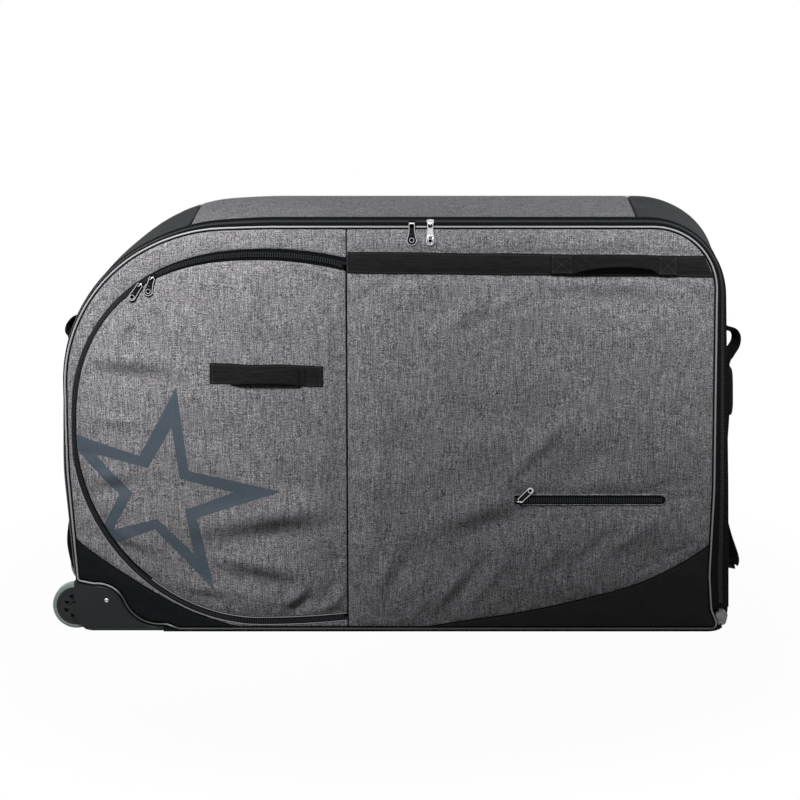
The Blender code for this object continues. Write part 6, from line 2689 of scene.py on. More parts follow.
@dataclass
class Walls:
    """The gusset: grey top, black ends, base, rear panel and its piping."""

    step: float = 0.009
    edge: float = 0.0030
    settle: float = 0.0030          # how far the walls are drawn in at the rear edge
    notch: float = 0.0012
    notch_x: Spot = (-0.4, -0.38)   # the runs left of here may cross a housing's edge
    rim_welt: float = 0.0038        # radii of the bound seams inside
    seam_welt: float = 0.0022
    across: int = 24                # steps between the front and rear rims
    billow: float = 0.0011
    billow_length: float = 0.16
    calm: float = 0.03              # how far the rims keep the cloth still
    middle_z: float = 0.39          # the height that the cloth swells away from
    lined: float = 0.3              # the share of the thickness that shows the lining
    levels: Sequence[float] = (0.0, 0.5, 1.0)
    settle_y: Spot = (0.118, 0.152)     # depths between which they are drawn in
    settle_z: Spot = (0.1, 0.69)
    half_length: float = 0.62
    housing_room: float = 0.003
    tab: Sequence[tuple[float, float, float, int]] = (
        (0.6150, 0.0330, 0.0015, 3), (0.6225, 0.0062, 0.002, 3), (0.6360, 0.0090, 0.007, 4),
        (0.6402, 0.0290, 0.006, 4), (0.6280, 0.0434, 0.002, 3))
    tab_middle: Spot = (0.628, 0.026)
    tab_way: Spot = (0.94, 0.34)    # the direction across its ribs
    tab_rib: Spot = (0.00035, 0.0036)   # their height and pitch
    hinge_in: float = 0.0015        # how far the hinge is sewn in under the base cloth
    hinge_rise: float = 0.0072      # how much higher it is beside the housing
    hinge_step: Spot = (0.409, 0.431)   # distances left of the middle where it rises
    hinge_x: Sequence[float] = (-0.400, -0.380, 0.600)  # ends of its fine and coarse steps
    hinge_end: Sequence[Spot] = ((0.608, 0.0004), (0.615, 0.0016), (0.622, 0.0042),
                                 (0.628, 0.0085))

    def build(self) -> None:
        """Make the walls and the rear."""
        outline = LINES.wall_outline()
        half = 0.0003
        runs = (
            ("top_wall", "top_canvas", CANVAS_TOP_SHADED, "grey_cloth",
             (0, LINES.top_right_x - half, 1), (0, LINES.top_left_x + half, 1)),
            ("right_end_wall", "right_end_cloth", BLACK_CLOTH, "black_cloth",
             (0, LINES.base_right_x + half, -1), (0, LINES.top_right_x + half, 1)),
            ("left_end_wall", "left_end_cloth", BLACK_CLOTH, "black_cloth",
             (0, LINES.top_left_x - half, 1), (0, LINES.base_left_x - half, -1)),
            ("base_panel", "base_cloth", BLACK_CLOTH, "black_cloth",
             (0, LINES.base_left_x + half, -1), (0, LINES.base_right_x - half, -1)),
        )
        for node, name, finish, slot, start, end in runs:
            run = self.with_notch(evenly(run_of(outline, start, end), self.step))
            item = self.wall(name, run, node)
            item.data.materials.append(finish.material())
            item.data.materials.append(LINING.material())
            fitted(item, "case", (node,))
        self.rear()
        self.trims()

    def with_notch(self, run: np.ndarray) -> np.ndarray:
        """Add points close to where the wheel housings begin and end.

        Args:
            run: the wall's run in (x, z).

        Returns:
            The run with more points.
        """
        marks = []
        for i in range(len(run) - 1):
            a, b = run[i], run[i + 1]
            marks.append(a)
            for axis, value in ((1, LINES.housing_left_z + LINES.gap),
                                (0, LINES.housing_tip[0] + LINES.gap)):
                low_run = a[0] < self.notch_x[0] and b[0] < self.notch_x[1]
                if low_run and (a[axis] - value) * (b[axis] - value) < 0:
                    t = (value - a[axis]) / (b[axis] - a[axis])
                    spot = a + (b - a) * t
                    way = (b - a) / np.linalg.norm(b - a) * self.notch / 2
                    marks += [spot - way, spot + way]
        marks.append(run[-1])
        return np.array(marks)

    def depths(self, spot: np.ndarray) -> Spot:
        """How far the wall reaches to the front and rear at a point of its run.

        Args:
            spot: the point in (x, z).

        Returns:
            Depths of the front and rear rims.
        """
        x, z = spot
        if x < LINES.housing_tip[0] + LINES.gap and z < LINES.housing_left_z + LINES.gap:
            return LINES.housing_rear_y + LINES.gap, -LINES.housing_rear_y - LINES.gap
        return LINES.wall_front_y, LINES.wall_rear_y

    def wall(self, name: str, run: np.ndarray, node: str) -> Item:
        """A padded wall swept along its run.

        Args:
            name: the wall's name.
            run: its run in (x, z) at the front.
            node: the solid that it replaces.

        Returns:
            The wall, not dressed yet.
        """
        rear = np.array(LINES.at_rear([tuple(p) for p in run]))
        rings = []
        for i, front in enumerate(run):
            before, after = run[max(i - 1, 0)], run[min(i + 1, len(run) - 1)]
            way = after - before
            inward = np.array([-way[1], way[0]]) / np.linalg.norm(way)
            ring = []
            for y, deep in self.profile(*self.depths(front)):
                spot = front + (rear[i] - front) * LINES.depth_share(y) + inward * deep
                ring.append((spot[0], y, spot[1]))
            rings.append(ring)
        item = loft(name, rings)
        set_coords(item, self.drawn(coords(item)))
        item = refined(item)
        points = coords(item)
        billow = 0.0 if node == "base_panel" else self.billow
        lift = (billow * ripples(points, len(name), self.billow_length)
                * self.outwardness(points, run, rear))
        away = points - np.array([[0.0, 0.0, self.middle_z]])
        away[:, 1] = 0
        away /= np.maximum(np.linalg.norm(away, axis=1), 1e-6)[:, None]
        edge = np.minimum(points[:, 1] - LINES.wall_front_y, LINES.wall_rear_y - points[:, 1])
        calm = np.clip(edge / self.calm, 0, 1)
        set_coords(item, points + away * (lift * calm)[:, None])
        smooth(item, 50)
        outer = self.outwardness(face_values(item, "center"), run, rear)
        item.data.polygons.foreach_set("material_index", (outer < self.lined).astype(np.int32))
        return item

    def profile(self, y0: float, y1: float) -> list[Spot]:
        """The wall's cross-section as (depth, distance inwards) pairs.

        Args:
            y0: where its front rim lies.
            y1: where its rear rim lies.

        Returns:
            The pairs, out along the outer face and back along the inner one.
        """
        r, thick, run = self.edge, LINES.wall_t, y1 - y0 - 2 * self.edge
        late, early = (math.pi / 4, math.pi / 2), (0.0, math.pi / 4)
        steps = range(self.across + 1)
        spots = [(y0 + r + run * k / self.across, 0.0) for k in steps]
        spots += [(y1 - r + r * math.sin(t), r - r * math.cos(t)) for t in late]
        spots += [(y1 - r + r * math.cos(t), thick - r + r * math.sin(t)) for t in early]
        spots += [(y1 - r - run * k / self.across, thick) for k in steps]
        spots += [(y0 + r - r * math.sin(t), thick - r + r * math.cos(t)) for t in late]
        return spots + [(y0 + r - r * math.cos(t), r - r * math.sin(t)) for t in early]

    def outwardness(self, points: np.ndarray, run: np.ndarray, rear: np.ndarray) -> np.ndarray:
        """1 on the wall's outer face and 0 on its inner one.

        Args:
            points: places in x, y and z.
            run: the wall's run at the front.
            rear: its run at the rear.

        Returns:
            One value for each point.
        """
        depth = LINES.wall_rear_y - LINES.wall_front_y
        spots = []
        for a, b in zip(run, rear):
            for share in self.levels:
                p = a + (b - a) * share
                spots.append((p[0], LINES.wall_front_y + depth * share, p[1]))
        tree = search_tree(spots)
        result = np.empty(len(points))
        for n, p in enumerate(points):
            share = LINES.depth_share(p[1])
            level = min(self.levels, key=lambda s: abs(s - share))
            y = LINES.wall_front_y + depth * level
            index = tree.find((p[0], y, p[2]))[1] // len(self.levels)
            a = run[index] + (rear[index] - run[index]) * share
            j = min(index + 1, len(run) - 1)
            i = max(index - 1, 0)
            way = run[j] - run[i]
            inward = np.array([-way[1], way[0]]) / np.linalg.norm(way)
            deep = (p[0] - a[0]) * inward[0] + (p[2] - a[1]) * inward[1]
            result[n] = 1 - deep / LINES.wall_t
        return np.clip(result, 0, 1)

    def drawn(self, points: np.ndarray) -> np.ndarray:
        """Points near the rear edge, drawn in as the padding rounds there.

        Args:
            points: places in x, y and z.

        Returns:
            The moved points.
        """
        share = ramp(points[:, 1], *self.settle_y)
        moved = points.copy()
        moved[:, 0] *= 1 - self.settle / self.half_length * share
        high = np.clip((points[:, 2] - self.settle_z[0]) / self.settle_z[1], 0, 1)
        moved[:, 2] -= self.settle * share * high
        return moved

    def rear(self) -> None:
        """The rear panel, its black corners and piping."""
        y0 = LINES.wall_rear_y + LINES.gap
        for node, name, finish, slot in (
                ("rear_panel", "rear_canvas", CANVAS, "grey_cloth"),
                ("rear_left_corner", "rear_left_corner_cloth", BLACK_CLOTH, "black_cloth"),
                ("rear_right_corner", "rear_right_corner_cloth", BLACK_CLOTH, "black_cloth")):
            panel = PaddedPanel(name, node, "case", finish, slot, front=y0, rear=LINES.rear_y,
                                faces_rear=True, seed=12, spacing=0.011, edge=0.003,
                                uneven=0.0012)
            rims = [offset_loop(rim, panel.trim) for rim in node_loops(node, LINES.rear_y)]
            item = refined(plate(name, rims, y0, LINES.rear_y, panel.spacing, panel.edge))
            panel.fold(item, rims)
            set_coords(item, self.drawn(coords(item)))
            smooth(item, 60)
            fitted(item, "case", (node,), finish)
            panel.line(item)
        loop = np.array(LINES.at_rear([tuple(p) for p in evenly(
            offset_loop(LINES.wall_outline(), LINES.pipe_r), 0.006, closed=True)]))
        loop = self.kept(loop, self.clear_of_housing(loop))
        path = np.array([(x, y0 + LINES.pipe_r, z) for x, z in loop])
        cord = tube("rear_piping_cord", self.drawn(path), LINES.pipe_r * 0.92, 12)
        fitted(cord, "case", ("rear_piping",), PIPING)
        self.welts(y0)

    def welts(self, y0: float) -> None:
        """The bound seams inside the rear: round its rim and along both corners.

        Args:
            y0: the rear panel's inner face.
        """
        rim = np.array(LINES.at_rear([tuple(p) for p in evenly(
            offset_loop(LINES.wall_outline(), LINES.wall_t), 0.012, closed=True)]))
        lines = [("rear_rim_binding", rim, self.clear_of_housing(rim), self.rim_welt)]
        for side in ("left", "right"):
            loop = np.array(node_loops("rear_%s_corner" % side, LINES.rear_y)[0])
            loop = evenly([tuple(p) for p in loop], 0.008, closed=True)
            free = np.array([np.linalg.norm(rim - p, axis=1).min() >= 0.010 for p in loop])
            lines.append(("rear_%s_seam_binding" % side, loop, free, self.seam_welt))
        for name, line, free, radius in lines:
            path = np.array([(x, y0 - 0.0005, z) for x, z in self.kept(line, free)])
            cord = tube(name, self.drawn(path), radius, 8)
            fitted(cord, "case", (), LINING)

    def clear_of_housing(self, loop: np.ndarray) -> np.ndarray:
        """Which points of an outline lie clear of the wheel housing.

        Args:
            loop: the outline in (x, z).

        Returns:
            One truth value for each point.
        """
        near_x = loop[:, 0] < LINES.housing_tip[0] + self.housing_room
        return ~(near_x & (loop[:, 1] < LINES.housing_left_z + self.housing_room))

    @staticmethod
    def kept(loop: np.ndarray, keep: np.ndarray) -> np.ndarray:
        """The one run of a closed outline that is kept."""
        start = int(np.nonzero(keep & ~np.roll(keep, 1))[0][0])
        return np.roll(loop, -start, axis=0)[:int(keep.sum())]

    def trims(self) -> None:
        """The tab over the zip's end and the lid's cloth hinge."""
        low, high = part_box("zip_end_tab")
        tab = plate("zip_end_webbing", [rounded(self.tab, closed=True)], low.y - 0.0010, high.y,
                    0.0035, 0.0012)
        points = coords(tab)
        lean = ((points[:, 0] - self.tab_middle[0]) * self.tab_way[0]
                + (points[:, 2] - self.tab_middle[1]) * self.tab_way[1])
        ribs = self.tab_rib[0] * np.sin(lean * math.tau / self.tab_rib[1])
        points[:, 1] -= np.where(points[:, 1] < low.y - 0.0005, ribs, 0.0)
        set_coords(tab, points)
        smooth(tab, 60)
        fitted(tab, "case", ("zip_end_tab",), TAB_WEBBING_LIT)
        low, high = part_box("lid_hinge_tape")
        high.y += self.hinge_in
        rings = []
        start = LINES.housing_tip[0] - 0.0002
        near, far, end = self.hinge_x
        for x in np.concatenate([np.linspace(start, near, 24), np.linspace(far, end, 60)]):
            top = high.z + self.hinge_rise * eased(-x, *self.hinge_step)
            rings.append([(x, low.y, low.z), (x, high.y, low.z), (x, high.y, top - 0.0003),
                          (x, (low.y + high.y) / 2, top), (x, low.y, top - 0.0002)])
        for x, z in self.hinge_end:
            rings.append([(x, low.y, z), (x, high.y, z), (x - 0.001, high.y, z + 0.0024),
                          (x - 0.001, (low.y + high.y) / 2, z + 0.0027),
                          (x - 0.001, low.y, z + 0.0025)])
        strip = loft("hinge_cloth", rings)
        smooth(strip, 30)
        fitted(strip, "case", ("lid_hinge_tape",), BLACK_CLOTH)


@dataclass
class EndStraps:
    """The hauling straps on both ends, and the padded grip on the right one."""

    width: float = 0.038
    thick: float = 0.003
    clear: float = 0.0009
    grip: Spot = (0.388, 0.490)
    grip_w: float = 0.046
    grip_t: float = 0.007
    grip_taper: Spot = (0.35, 6)    # how much its ends thin out, and how late
    grip_square: Spot = (0.55, 0.7)     # how square its section is across and outwards
    grip_narrow: float = 0.04       # how much less wide its ends may be
    lean: float = 0.92              # how near the wall a loop's rear edge hangs
    lean_most: float = 0.56
    lean_high: float = 0.34         # the upper loops are less twisted, so they stay open
    high_z: float = 0.45
    right: Sequence[Spot] = (
        (0.0, 0.600), (0.0, 0.574), (0.010, 0.566), (0.028, 0.559), (0.036, 0.545), (0.034, 0.526),
        (0.023, 0.507), (0.015, 0.490), (0.015, 0.440), (0.015, 0.388), (0.010, 0.300),
        (0.009, 0.215), (0.013, 0.180), (0.022, 0.146), (0.033, 0.112), (0.035, 0.094),
        (0.028, 0.081), (0.012, 0.084), (0.001, 0.081), (0.0, 0.060))
    left: Sequence[Spot] = (
        (0.0, 0.612), (0.002, 0.596), (0.015, 0.588), (0.022, 0.573), (0.020, 0.557),
        (0.010, 0.543), (0.004, 0.500), (0.003, 0.330), (0.007, 0.215), (0.019, 0.175),
        (0.026, 0.135), (0.023, 0.096), (0.019, 0.081), (0.006, 0.074), (0.0, 0.069),
        (0.0, 0.060))

    def build(self) -> None:
        """Make both straps and the grip."""
        self.one("left_end_webbing", "left_end_strap", -1, self.left)
        held = self.one("right_end_webbing", "right_end_strap", 1, self.right)
        self.grip_pad(held)

    def reach(self, z: float, side: int) -> float:
        """How far an end wall stands out under either edge of its strap.

        Args:
            z: the height.
            side: 1 for the right end, -1 for the left.

        Returns:
            The reach in metres.
        """
        front = LINES.wall_outline()
        rear = LINES.at_rear(front)
        return max(side * crossing(between(front, rear, LINES.depth_share(y)), 1, z, side)[1][0]
                   for y in (-self.grip_w / 2, self.grip_w / 2))

    def one(self, name: str, node: str, side: int, loops: Sequence[Spot]) -> list[Vector]:
        """A strap down an end wall, in place of its solid.

        Args:
            name: the piece's name.
            node: the solid that it replaces.
            side: 1 for the right end, -1 for the left.
            loops: distance off the wall and height of the strap's points.

        Returns:
            The strap's centre line before it is eased off the wall.
        """
        points = [(side * (self.reach(z, side) + off + LINES.gap + self.thick / 2), 0.0, z)
                  for off, z in loops]
        path = smooth_path(points)
        count = len(path)
        moved = []
        for i, here in enumerate(path):
            along = (path[min(i + 1, count - 1)] - path[max(i - 1, 0)]).normalized()
            thin = abs(along.z) * self.thick / 2
            short = self.clear + self.reach(here.z, side) - side * here.x + thin
            moved.append(here + Vector((side * max(0.0, short), 0, 0)))
        half = self.width / 2
        turns, centres = [], []
        for i, here in enumerate(moved):
            along = (moved[min(i + 1, count - 1)] - moved[max(i - 1, 0)]).normalized()
            away = Vector((-along.z, 0, along.x)) * side
            off = side * here.x - self.reach(here.z, side) - self.clear - self.thick / 2
            most = self.lean_high if here.z > self.high_z else self.lean_most
            share = min(most, max(0.0, off) * self.lean / self.width)
            turns.append(-side * math.asin(share))
            centres.append(here - away * half * share)
        made = strap(name, centres, [(-half, half)] * count, [self.thick * 0.9] * count,
                     Vector((0, 1, 0)), turns=turns)
        fitted(made, "case", (node,), WEBBING_Z)
        return path

    def grip_pad(self, path: Sequence[Vector]) -> None:
        """The padded sleeve round the right strap, rounded, its ends thinned.

        Args:
            path: the right strap's centre line.
        """
        held = [p for p in path if self.grip[0] <= p.z <= self.grip[1]]
        rings = []
        count = len(held)
        for i, p in enumerate(held):
            share = i / (count - 1)
            full = 1 - self.grip_taper[0] * abs(2 * share - 1) ** self.grip_taper[1]
            ring = []
            for k in range(24):
                turn = math.tau * k / 24
                c, s = math.cos(turn), math.sin(turn)
                wide = (math.copysign(abs(s) ** self.grip_square[0], s) * self.grip_w / 2
                        * (1 - self.grip_narrow * (1 - full)))
                deep = (math.copysign(abs(c) ** self.grip_square[1], c)
                        * (self.grip_t + self.thick / 2) * full)
                ring.append((p.x + deep, p.y + wide, p.z))
            rings.append(ring)
        made = refined(loft("right_grip_pad", rings))
        smooth(made, 60)
        fitted(made, "case", ("right_end_grip",), BLACK_CLOTH)


@dataclass
class WheelCorner:
    """A moulded housing with its wheel, axle, bearings and rivet."""

    end: str
    side: int
    x: float = -0.6045
    z: float = 0.0465
    radius: float = 0.045
    core_r: float = 0.0412
    tooth: float = 0.0034
    bore: float = 0.0088
    window_r: Spot = (0.0150, 0.0240)
    spread: Spot = (13, 4)          # half angles of a window's wide and narrow ends
    inset: float = 0.0014
    width: float = 0.024
    front: float = -0.146
    teeth: int = 24
    web_t: float = 0.0020           # half of it
    web_r: Spot = (0.0100, 0.0330)
    beads: Sequence[Spot] = ((0.0320, 0.0009), (0.0115, 0.0014))
    rim_grow: float = -0.0022
    rim_r: float = 0.0017
    foot_x: Spot = (-0.585, -0.447)
    foot_z: float = 0.0068
    foot_r: float = 0.0013
    rim_out: float = 0.0002
    rivet: Spot = (-0.544, 0.064)
    dome: Sequence[Spot] = ((0.0002, 0.0042), (0.0007, 0.0042), (0.0013, 0.0037),
                            (0.0018, 0.0028), (0.0021, 0.0016), (0.0022, 0.0004))
    # the dark bar across the rivet's head: painted shade where its slot is
    slot_reach: float = 0.0038
    slot_r: float = 0.0008
    slot_out: float = 0.0019
    slot_drop: float = 0.0006
    ease: float = 0.0009
    tread_in: float = 0.0008        # how far the tread's bore stands back from its faces
    tread_gap: float = 0.0004
    tread_round: Sequence[Spot] = ((0.0, 0.0055), (0.0006, 0.0030), (0.0022, 0.0010),
                                   (0.0052, 0.0001))

    def build(self) -> None:
        """Make the housing's shell, its raised rim and the wheel."""
        self.housing()
        self.wheel()
        self.metal()

    def y(self, depth: float) -> float:
        """A depth on the front corner, or its mirror at the rear."""
        return depth if self.side < 0 else -depth

    def housing(self) -> None:
        """The housing's solid with its edges eased, and the rim that stiffens it."""
        node = "%s_housing" % self.end
        item = eased_copy(node, "%s_shell" % node, 2e-5, 4, self.ease, 2)
        edge = LINES.housing_edge(self.rim_grow)
        face = self.y(LINES.housing_front_y + self.rim_out)
        path = [(x, face, z) for x, z in evenly(edge[1:-1], 0.004)]
        rim = tube("%s_rim" % node, path, self.rim_r, 10)
        foot = tube("%s_foot_rim" % node,
                    [(x, face, self.foot_z) for x in np.linspace(*self.foot_x, 36)],
                    self.foot_r, 8)
        shell = joined("%s_moulding" % node, [item, rim, foot])
        smooth(shell, 35)
        fitted(shell, "case", (node,), MOULDING)

    def wheel(self) -> None:
        """A spoked hub with a toothed edge, cast into a clear tread."""
        body = "%s_wheel" % self.end
        y0, y1 = sorted((self.y(self.front), self.y(self.front + self.width)))
        centre = (self.x, 0.0, self.z)
        disc = self.spoked(self.teeth * 4, y0, y1)
        low, high = self.web_r
        web = turned("%s_web" % body, [(-self.web_t, low), (-self.web_t, high),
                                       (self.web_t, high), (self.web_t, low)],
                     (self.x, (y0 + y1) / 2, self.z), (0, 1, 0), 48, bored=True)
        rings = [web]
        for face in (y0 + self.inset, y1 - self.inset):
            for radius, bead in self.beads:
                path = [(self.x + radius * math.cos(math.tau * k / 48), face,
                         self.z + radius * math.sin(math.tau * k / 48)) for k in range(48)]
                rings.append(tube("%s_ring" % body, path, bead, 8, closed=True))
        core = joined("%s_hub" % body, [disc] + rings)
        smooth(core, 35)
        fitted(core, body, ("%s_core" % body,), HUB)
        inner = self.core_r - self.tooth - self.tread_gap
        r = self.radius
        profile = [(y0 + self.tread_in, inner)]
        profile += [(y0 + deep, r - drop) for deep, drop in self.tread_round]
        profile.append(((y0 + y1) / 2, r))
        profile += [(y1 - deep, r - drop) for deep, drop in self.tread_round[::-1]]
        profile.append((y1 - self.tread_in, inner))
        tread = turned("%s_tread_cast" % body, profile, centre, (0, 1, 0), 96, bored=True)
        smooth(tread, 50)
        fitted(tread, body, ("%s_tread" % body,), TREAD)
        LOG.info("%s wheel is %.0f mm wide", self.end, self.width * 1000)

    def spoked(self, columns: int, y0: float, y1: float) -> Item:
        """The hub: a disc with eight windows and a toothed edge, from a grid of rings.

        Args:
            columns: how many cells go round.
            y0: the depth of the wheel's front face.
            y1: the depth of its rear face.

        Returns:
            The disc, not riding yet.
        """
        radii = (self.bore, self.window_r[0], self.window_r[1], self.core_r - self.tooth,
                 self.core_r)
        sector = columns // 8
        spoke = sector // 4

        def turn(ring: int, k: int) -> float:
            """The angle of a grid line, bent round the windows.

            Args:
                ring: the ring's number.
                k: the line's number.

            Returns:
                The angle in radians.
            """
            number, j = divmod(k, sector)
            if ring not in (1, 2):
                return math.tau * k / columns
            wide = self.spread[(ring + number) % 2]
            half = 180 / 8
            stops = ((0, -half), (spoke, -wide), (sector - spoke, wide), (sector, half))
            angle = float(np.interp(j, [s[0] for s in stops], [s[1] for s in stops]))
            return math.tau * number / 8 + math.radians(angle + half)

        def filled(ring: int, k: int) -> bool:
            """Whether a cell is solid.

            Args:
                ring: the ring inside it.
                k: the line before it.

            Returns:
                True where it is.
            """
            j = k % sector
            if ring == 1:
                return j < spoke or j >= sector - spoke
            if ring == len(radii) - 2:
                return k % 4 in (0, 1)
            return 0 <= ring < len(radii) - 2

        verts = [(self.x + r * math.cos(turn(i, k)), y, self.z + r * math.sin(turn(i, k)))
                 for y in (y0 + self.inset, y1 - self.inset) for i, r in enumerate(radii)
                 for k in range(columns)]

        def at(ring: int, k: int, side: int) -> int:
            """The number of a grid point."""
            return (side * len(radii) + ring) * columns + k % columns

        faces = []
        for i in range(len(radii) - 1):
            for k in range(columns):
                if not filled(i, k):
                    continue
                corners = ((i, k), (i + 1, k), (i + 1, k + 1), (i, k + 1))
                beyond = (filled(i, (k - 1) % columns), filled(i + 1, k),
                          filled(i, (k + 1) % columns), filled(i - 1, k))
                for side in (0, 1):
                    faces.append([at(a, b, side) for a, b in corners])
                for n, closed in enumerate(beyond):
                    if not closed:
                        a, b = corners[n], corners[(n + 1) % 4]
                        faces.append([at(*a, 0), at(*b, 0), at(*b, 1), at(*a, 1)])
        return new_object("%s_wheel_disc" % self.end, verts, faces)

    def metal(self) -> None:
        """A domed rivet with a dark bar as its slot's painted shade; plated axle and bearings."""
        face = self.y(LINES.housing_front_y)
        out = -1.0 if self.side < 0 else 1.0
        x, z = self.rivet
        rivet = turned("%s_rivet_head" % self.end, self.dome, (x, face, z), (0, out, 0), 24)
        fitted(rivet, "case", ("%s_rivet" % self.end,), BRIGHT)
        # painted shade: a dark bar across the head where the slot is
        slot = tube("%s_rivet_slot" % self.end, [
            (x + reach, face + out * self.slot_out, z - self.slot_drop)
            for reach in (-self.slot_reach, self.slot_reach)], self.slot_r, 8)
        fitted(slot, "case", (), DARK)
        for node, finish in (("%s_axle" % self.end, DARK),
                             ("%s_wheel_bearing_inner" % self.end, BRIGHT),
                             ("%s_wheel_bearing_outer" % self.end, BRIGHT)):
            repaint(node, finish)


def repaint(node: str, finish: Finish) -> None:
    """Give a solid that stays in view its finish.

    Args:
        node: the solid's name.
        finish: its finish.
    """
    item = bpy.data.objects[node]
    item.data.materials.clear()
    item.data.materials.append(finish.material())
    LOG.info("%s: repainted", node)


@dataclass
class Inside:
    """What shows when the lid or the flap is open.

    Its sheets are rows of name, solid, softness, mesh size, rim radius and padding.
    """

    strap_room: float = 0.0002
    strap_steps: int = 48
    sheets: Sequence[tuple[str, str, bool, float, float, float]] = (
        ("pocket_divider_cloth", "wheel_pocket_divider", True, 0.012, 0.0015, 0.4),
        ("pocket_wall_cloth", "wheel_pocket_wall", False, 0.010, 0.0012, 0.3),
        ("pouch_cloth", "pocket_pouch", True, 0.012, 0.002, 0.2))

    def build(self) -> None:
        """Make the board, frame straps, pocket wall, divider and pouch."""
        repaint("base_board", BOARD)
        for node in ("frame_strap_lower", "frame_strap_upper"):
            low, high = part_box(node)
            path = [Vector((x, (low.y + high.y) / 2, (low.z + high.z) / 2))
                    for x in np.linspace(low.x, high.x, self.strap_steps)]
            width = high.z - low.z
            item = strap(node + "_webbing", path, [(-width / 2, width / 2)] * self.strap_steps,
                         [high.y - low.y - self.strap_room] * self.strap_steps,
                         Vector((0, 0, 1)))
            fitted(item, "case", (node,), WEBBING_X)
        for name, node, soft, spacing, edge, padding in self.sheets:
            low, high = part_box(node)
            if node == "pocket_pouch":
                loops = [rounded([(low.x, low.z, 0.02, 5), (high.x, low.z, 0.02, 5),
                                  (high.x, high.z, 0.006, 3), (low.x, high.z, 0.006, 3)],
                                 closed=True)]
            else:
                loops = node_loops(node, low.y)
            item = plate(name, loops, low.y, high.y, spacing, edge, fill=soft)
            if soft:
                item = refined(item)
            smooth(item, 60 if soft else 50)
            fitted(item, "lid", (node,), LINING)


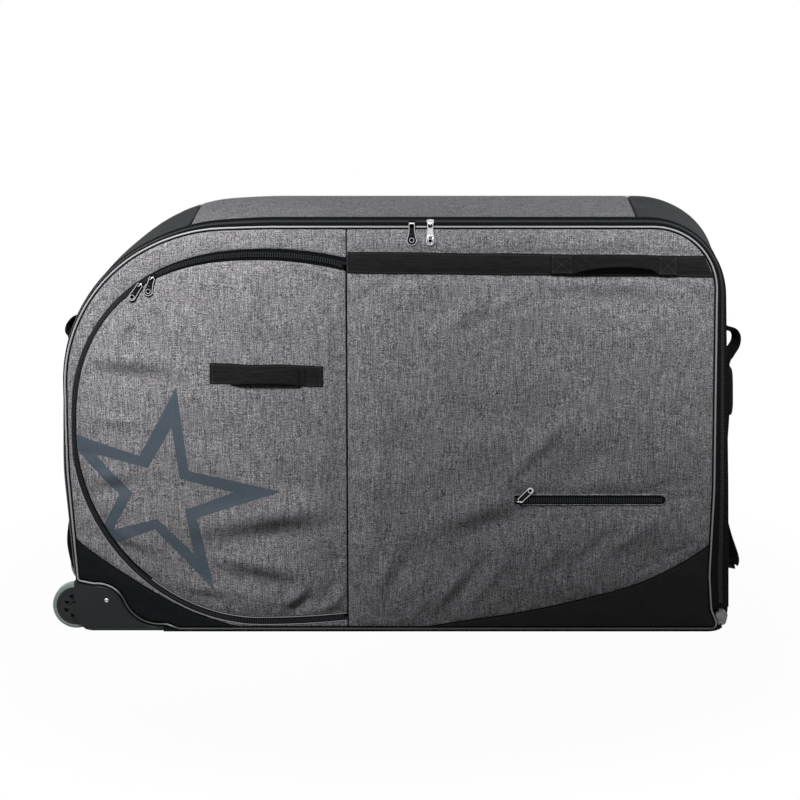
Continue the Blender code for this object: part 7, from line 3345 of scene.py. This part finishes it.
@dataclass
class Studio:
    """A plain pale floor, soft lamps and the camera of the photograph."""

    eye: Sequence[float] = (0.0135, -4.698, 1.525)
    pitch: float = 13.28
    lens: float = 112.5
    ambient: float = 0.077          # how strongly the white all round lights the case
    floor_reach: float = 60.0
    shadow_reach: Spot = (0.70, 1.1)    # distances between which the floor turns white
    near_white: float = 0.965
    floor_lit: str = "#6e6e6e"      # the floor as its light sees it, and as the eye does
    floor_seen: str = "#f2f2f2"
    lamps: Sequence[tuple[str, Sequence[float], Sequence[float], float, float, float]] = (
        ("key_lamp", (-0.600, -1.414, 1.686), (-0.775, -0.16, 1.084), 96, 0.16, 166),
        ("second_lamp", (0.700, -1.216, 1.603), (0.799, -0.16, 0.992), 73, 0.14, 86),
        ("rear_lamp", (0.0, 3.0, 0.420), (0.0, 0.16, 0.400), 27, 0.20, 330))

    def build(self) -> None:
        """Set up the floor, the lights and the camera."""
        self.floor()
        self.world()
        for row in self.lamps:
            self.lamp(*row)
        data = bpy.data.cameras.new("camera")
        data.lens = self.lens
        data.sensor_width = 36
        camera = linked("camera", data)
        camera.location = self.eye
        camera.rotation_euler = (math.radians(90 - self.pitch), 0, 0)
        bpy.context.scene.camera = camera
        bpy.context.scene.view_settings.view_transform = "Standard"

    def lamp(self, name: str, place: Sequence[float], aim: Sequence[float], angle: float,
             radius: float, power: float) -> None:
        """A round soft lamp whose light fades out towards the edge of its beam.

        Args:
            name: the lamp's name.
            place: where it hangs.
            aim: the middle of its beam.
            angle: its beam's full angle in degrees.
            radius: its own size, which softens the shadows.
            power: its strength in watts.
        """
        data = bpy.data.lights.new(name, "SPOT")
        data.energy = power
        data.spot_size = math.radians(angle)
        data.spot_blend = 1.0
        data.shadow_soft_size = radius
        item = linked(name, data)
        item.location = place
        way = Vector(aim) - Vector(place)
        item.rotation_euler = way.to_track_quat("-Z", "Y").to_euler()

    @staticmethod
    def looked_at(tree: Tree) -> Socket:
        """1 where the camera looks straight at it, or through glass or in a gloss.

        Args:
            tree: the tree that takes the nodes.

        Returns:
            The value, which is 0 where it only lights something.
        """
        path = add_node(tree, "ShaderNodeLightPath")
        straight = add_node(tree, "ShaderNodeMath", {
            0: path.outputs["Is Camera Ray"], 1: path.outputs["Is Transmission Ray"]},
            operation="MAXIMUM")
        return add_node(tree, "ShaderNodeMath", {
            0: straight.outputs[0], 1: path.outputs["Is Glossy Ray"]},
            operation="MAXIMUM").outputs[0]

    def world(self) -> None:
        """White where the camera or gloss looks, weaker where it lights."""
        world = bpy.data.worlds.new("studio")
        bpy.context.scene.world = world
        world.use_nodes = True
        tree = world.node_tree
        tree.nodes.clear()
        strength = add_node(tree, "ShaderNodeMapRange", {
            "Value": self.looked_at(tree), "To Min": self.ambient, "To Max": 1.0})
        light = add_node(tree, "ShaderNodeBackground", {
            "Color": (1, 1, 1, 1), "Strength": strength.outputs["Result"]})
        add_node(tree, "ShaderNodeOutputWorld", {"Surface": light.outputs[0]})

    def floor(self) -> None:
        """A wide floor, white all round and holding the case's soft shadow."""
        mesh = bpy.data.meshes.new("floor")
        r = self.floor_reach
        mesh.from_pydata([(-r, -r, 0), (r, -r, 0), (r, r, 0), (-r, r, 0)], [], [(0, 1, 2, 3)])
        item = linked("floor", mesh)
        material = bpy.data.materials.new("studio_floor")
        material.use_nodes = True
        tree = material.node_tree
        tree.nodes.clear()
        place = add_node(tree, "ShaderNodeTexCoord")
        far = add_node(tree, "ShaderNodeVectorMath", {0: place.outputs["Object"]},
                       operation="LENGTH")
        fade = add_node(tree, "ShaderNodeMapRange", {
            "Value": far.outputs["Value"], "From Min": self.shadow_reach[0],
            "From Max": self.shadow_reach[1], "To Min": self.near_white, "To Max": 1.0},
            interpolation_type="SMOOTHSTEP")
        seen = self.looked_at(tree)
        share = add_node(tree, "ShaderNodeMath", {
            0: fade.outputs["Result"], 1: seen}, operation="MULTIPLY")
        tone = add_node(tree, "ShaderNodeMix", {
            "Factor": seen, 6: linear(self.floor_lit), 7: linear(self.floor_seen)},
            data_type="RGBA")
        matt = add_node(tree, "ShaderNodeBsdfDiffuse", {"Color": tone.outputs[2]})
        white = add_node(tree, "ShaderNodeEmission", {"Color": (1, 1, 1, 1), "Strength": 1.0})
        both = add_node(tree, "ShaderNodeMixShader", {
            0: share.outputs[0], 1: matt.outputs[0], 2: white.outputs[0]})
        add_node(tree, "ShaderNodeOutputMaterial", {"Surface": both.outputs[0]})
        item.data.materials.append(material)


def add_zip_pulls(joints: Sequence[dict[str, Any]]) -> None:
    """The sliders and pullers of all three zips, hung where their joints are.

    Args:
        joints: the frame's joints.
    """
    down, level = Vector((0, -0.10, -1)), Vector((1, 0, 0))
    rim = Vector((0.76, 0, 0.65)).normalized()
    pivots = {j["child"]: Vector(j["pos_m"]) for j in joints if j["type"] == "hinge"}
    for stem, finish, slot, pull, along, foot_w, length in (
            ("main_slider_left", DARK, "dark_metal", down, level, 0.0190, 0.0405),
            ("main_slider_right", BRIGHT, "bright_metal", down, level, 0.0160, 0.0405),
            ("flap_slider_high", DARK, "dark_metal", Vector((-0.28, -0.07, -0.96)), rim,
             0.0165, 0.0360),
            ("flap_slider_low", DARK, "dark_metal", Vector((-0.5524, -0.07, -0.8336)), rim,
             0.0135, 0.0360),
            ("pocket_slider", DARK, "dark_metal", Vector((0.7021, 0, 0.7121)), level,
             0.0125, 0.0360)):
        pivot = pivots[stem.replace("slider", "puller")]
        ZipPull(stem, finish, slot, pivot, pull.normalized(), along, foot_w, length=length).build()


def main() -> None:
    """Build the whole case and its studio."""
    logging.basicConfig(level=logging.INFO, format="%(message)s")
    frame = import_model()
    panels = LidCloth().build()
    flap = RoundFlap().build()
    Webbing().build(panels["right"], flap)
    Zips().build()
    add_zip_pulls(frame["joints"])
    Walls().build()
    EndStraps().build()
    for end, side in (("front", -1), ("rear", 1)):
        WheelCorner(end, side).build()
    Inside().build()
    Studio().build()


if __name__ == "__main__":
    main()
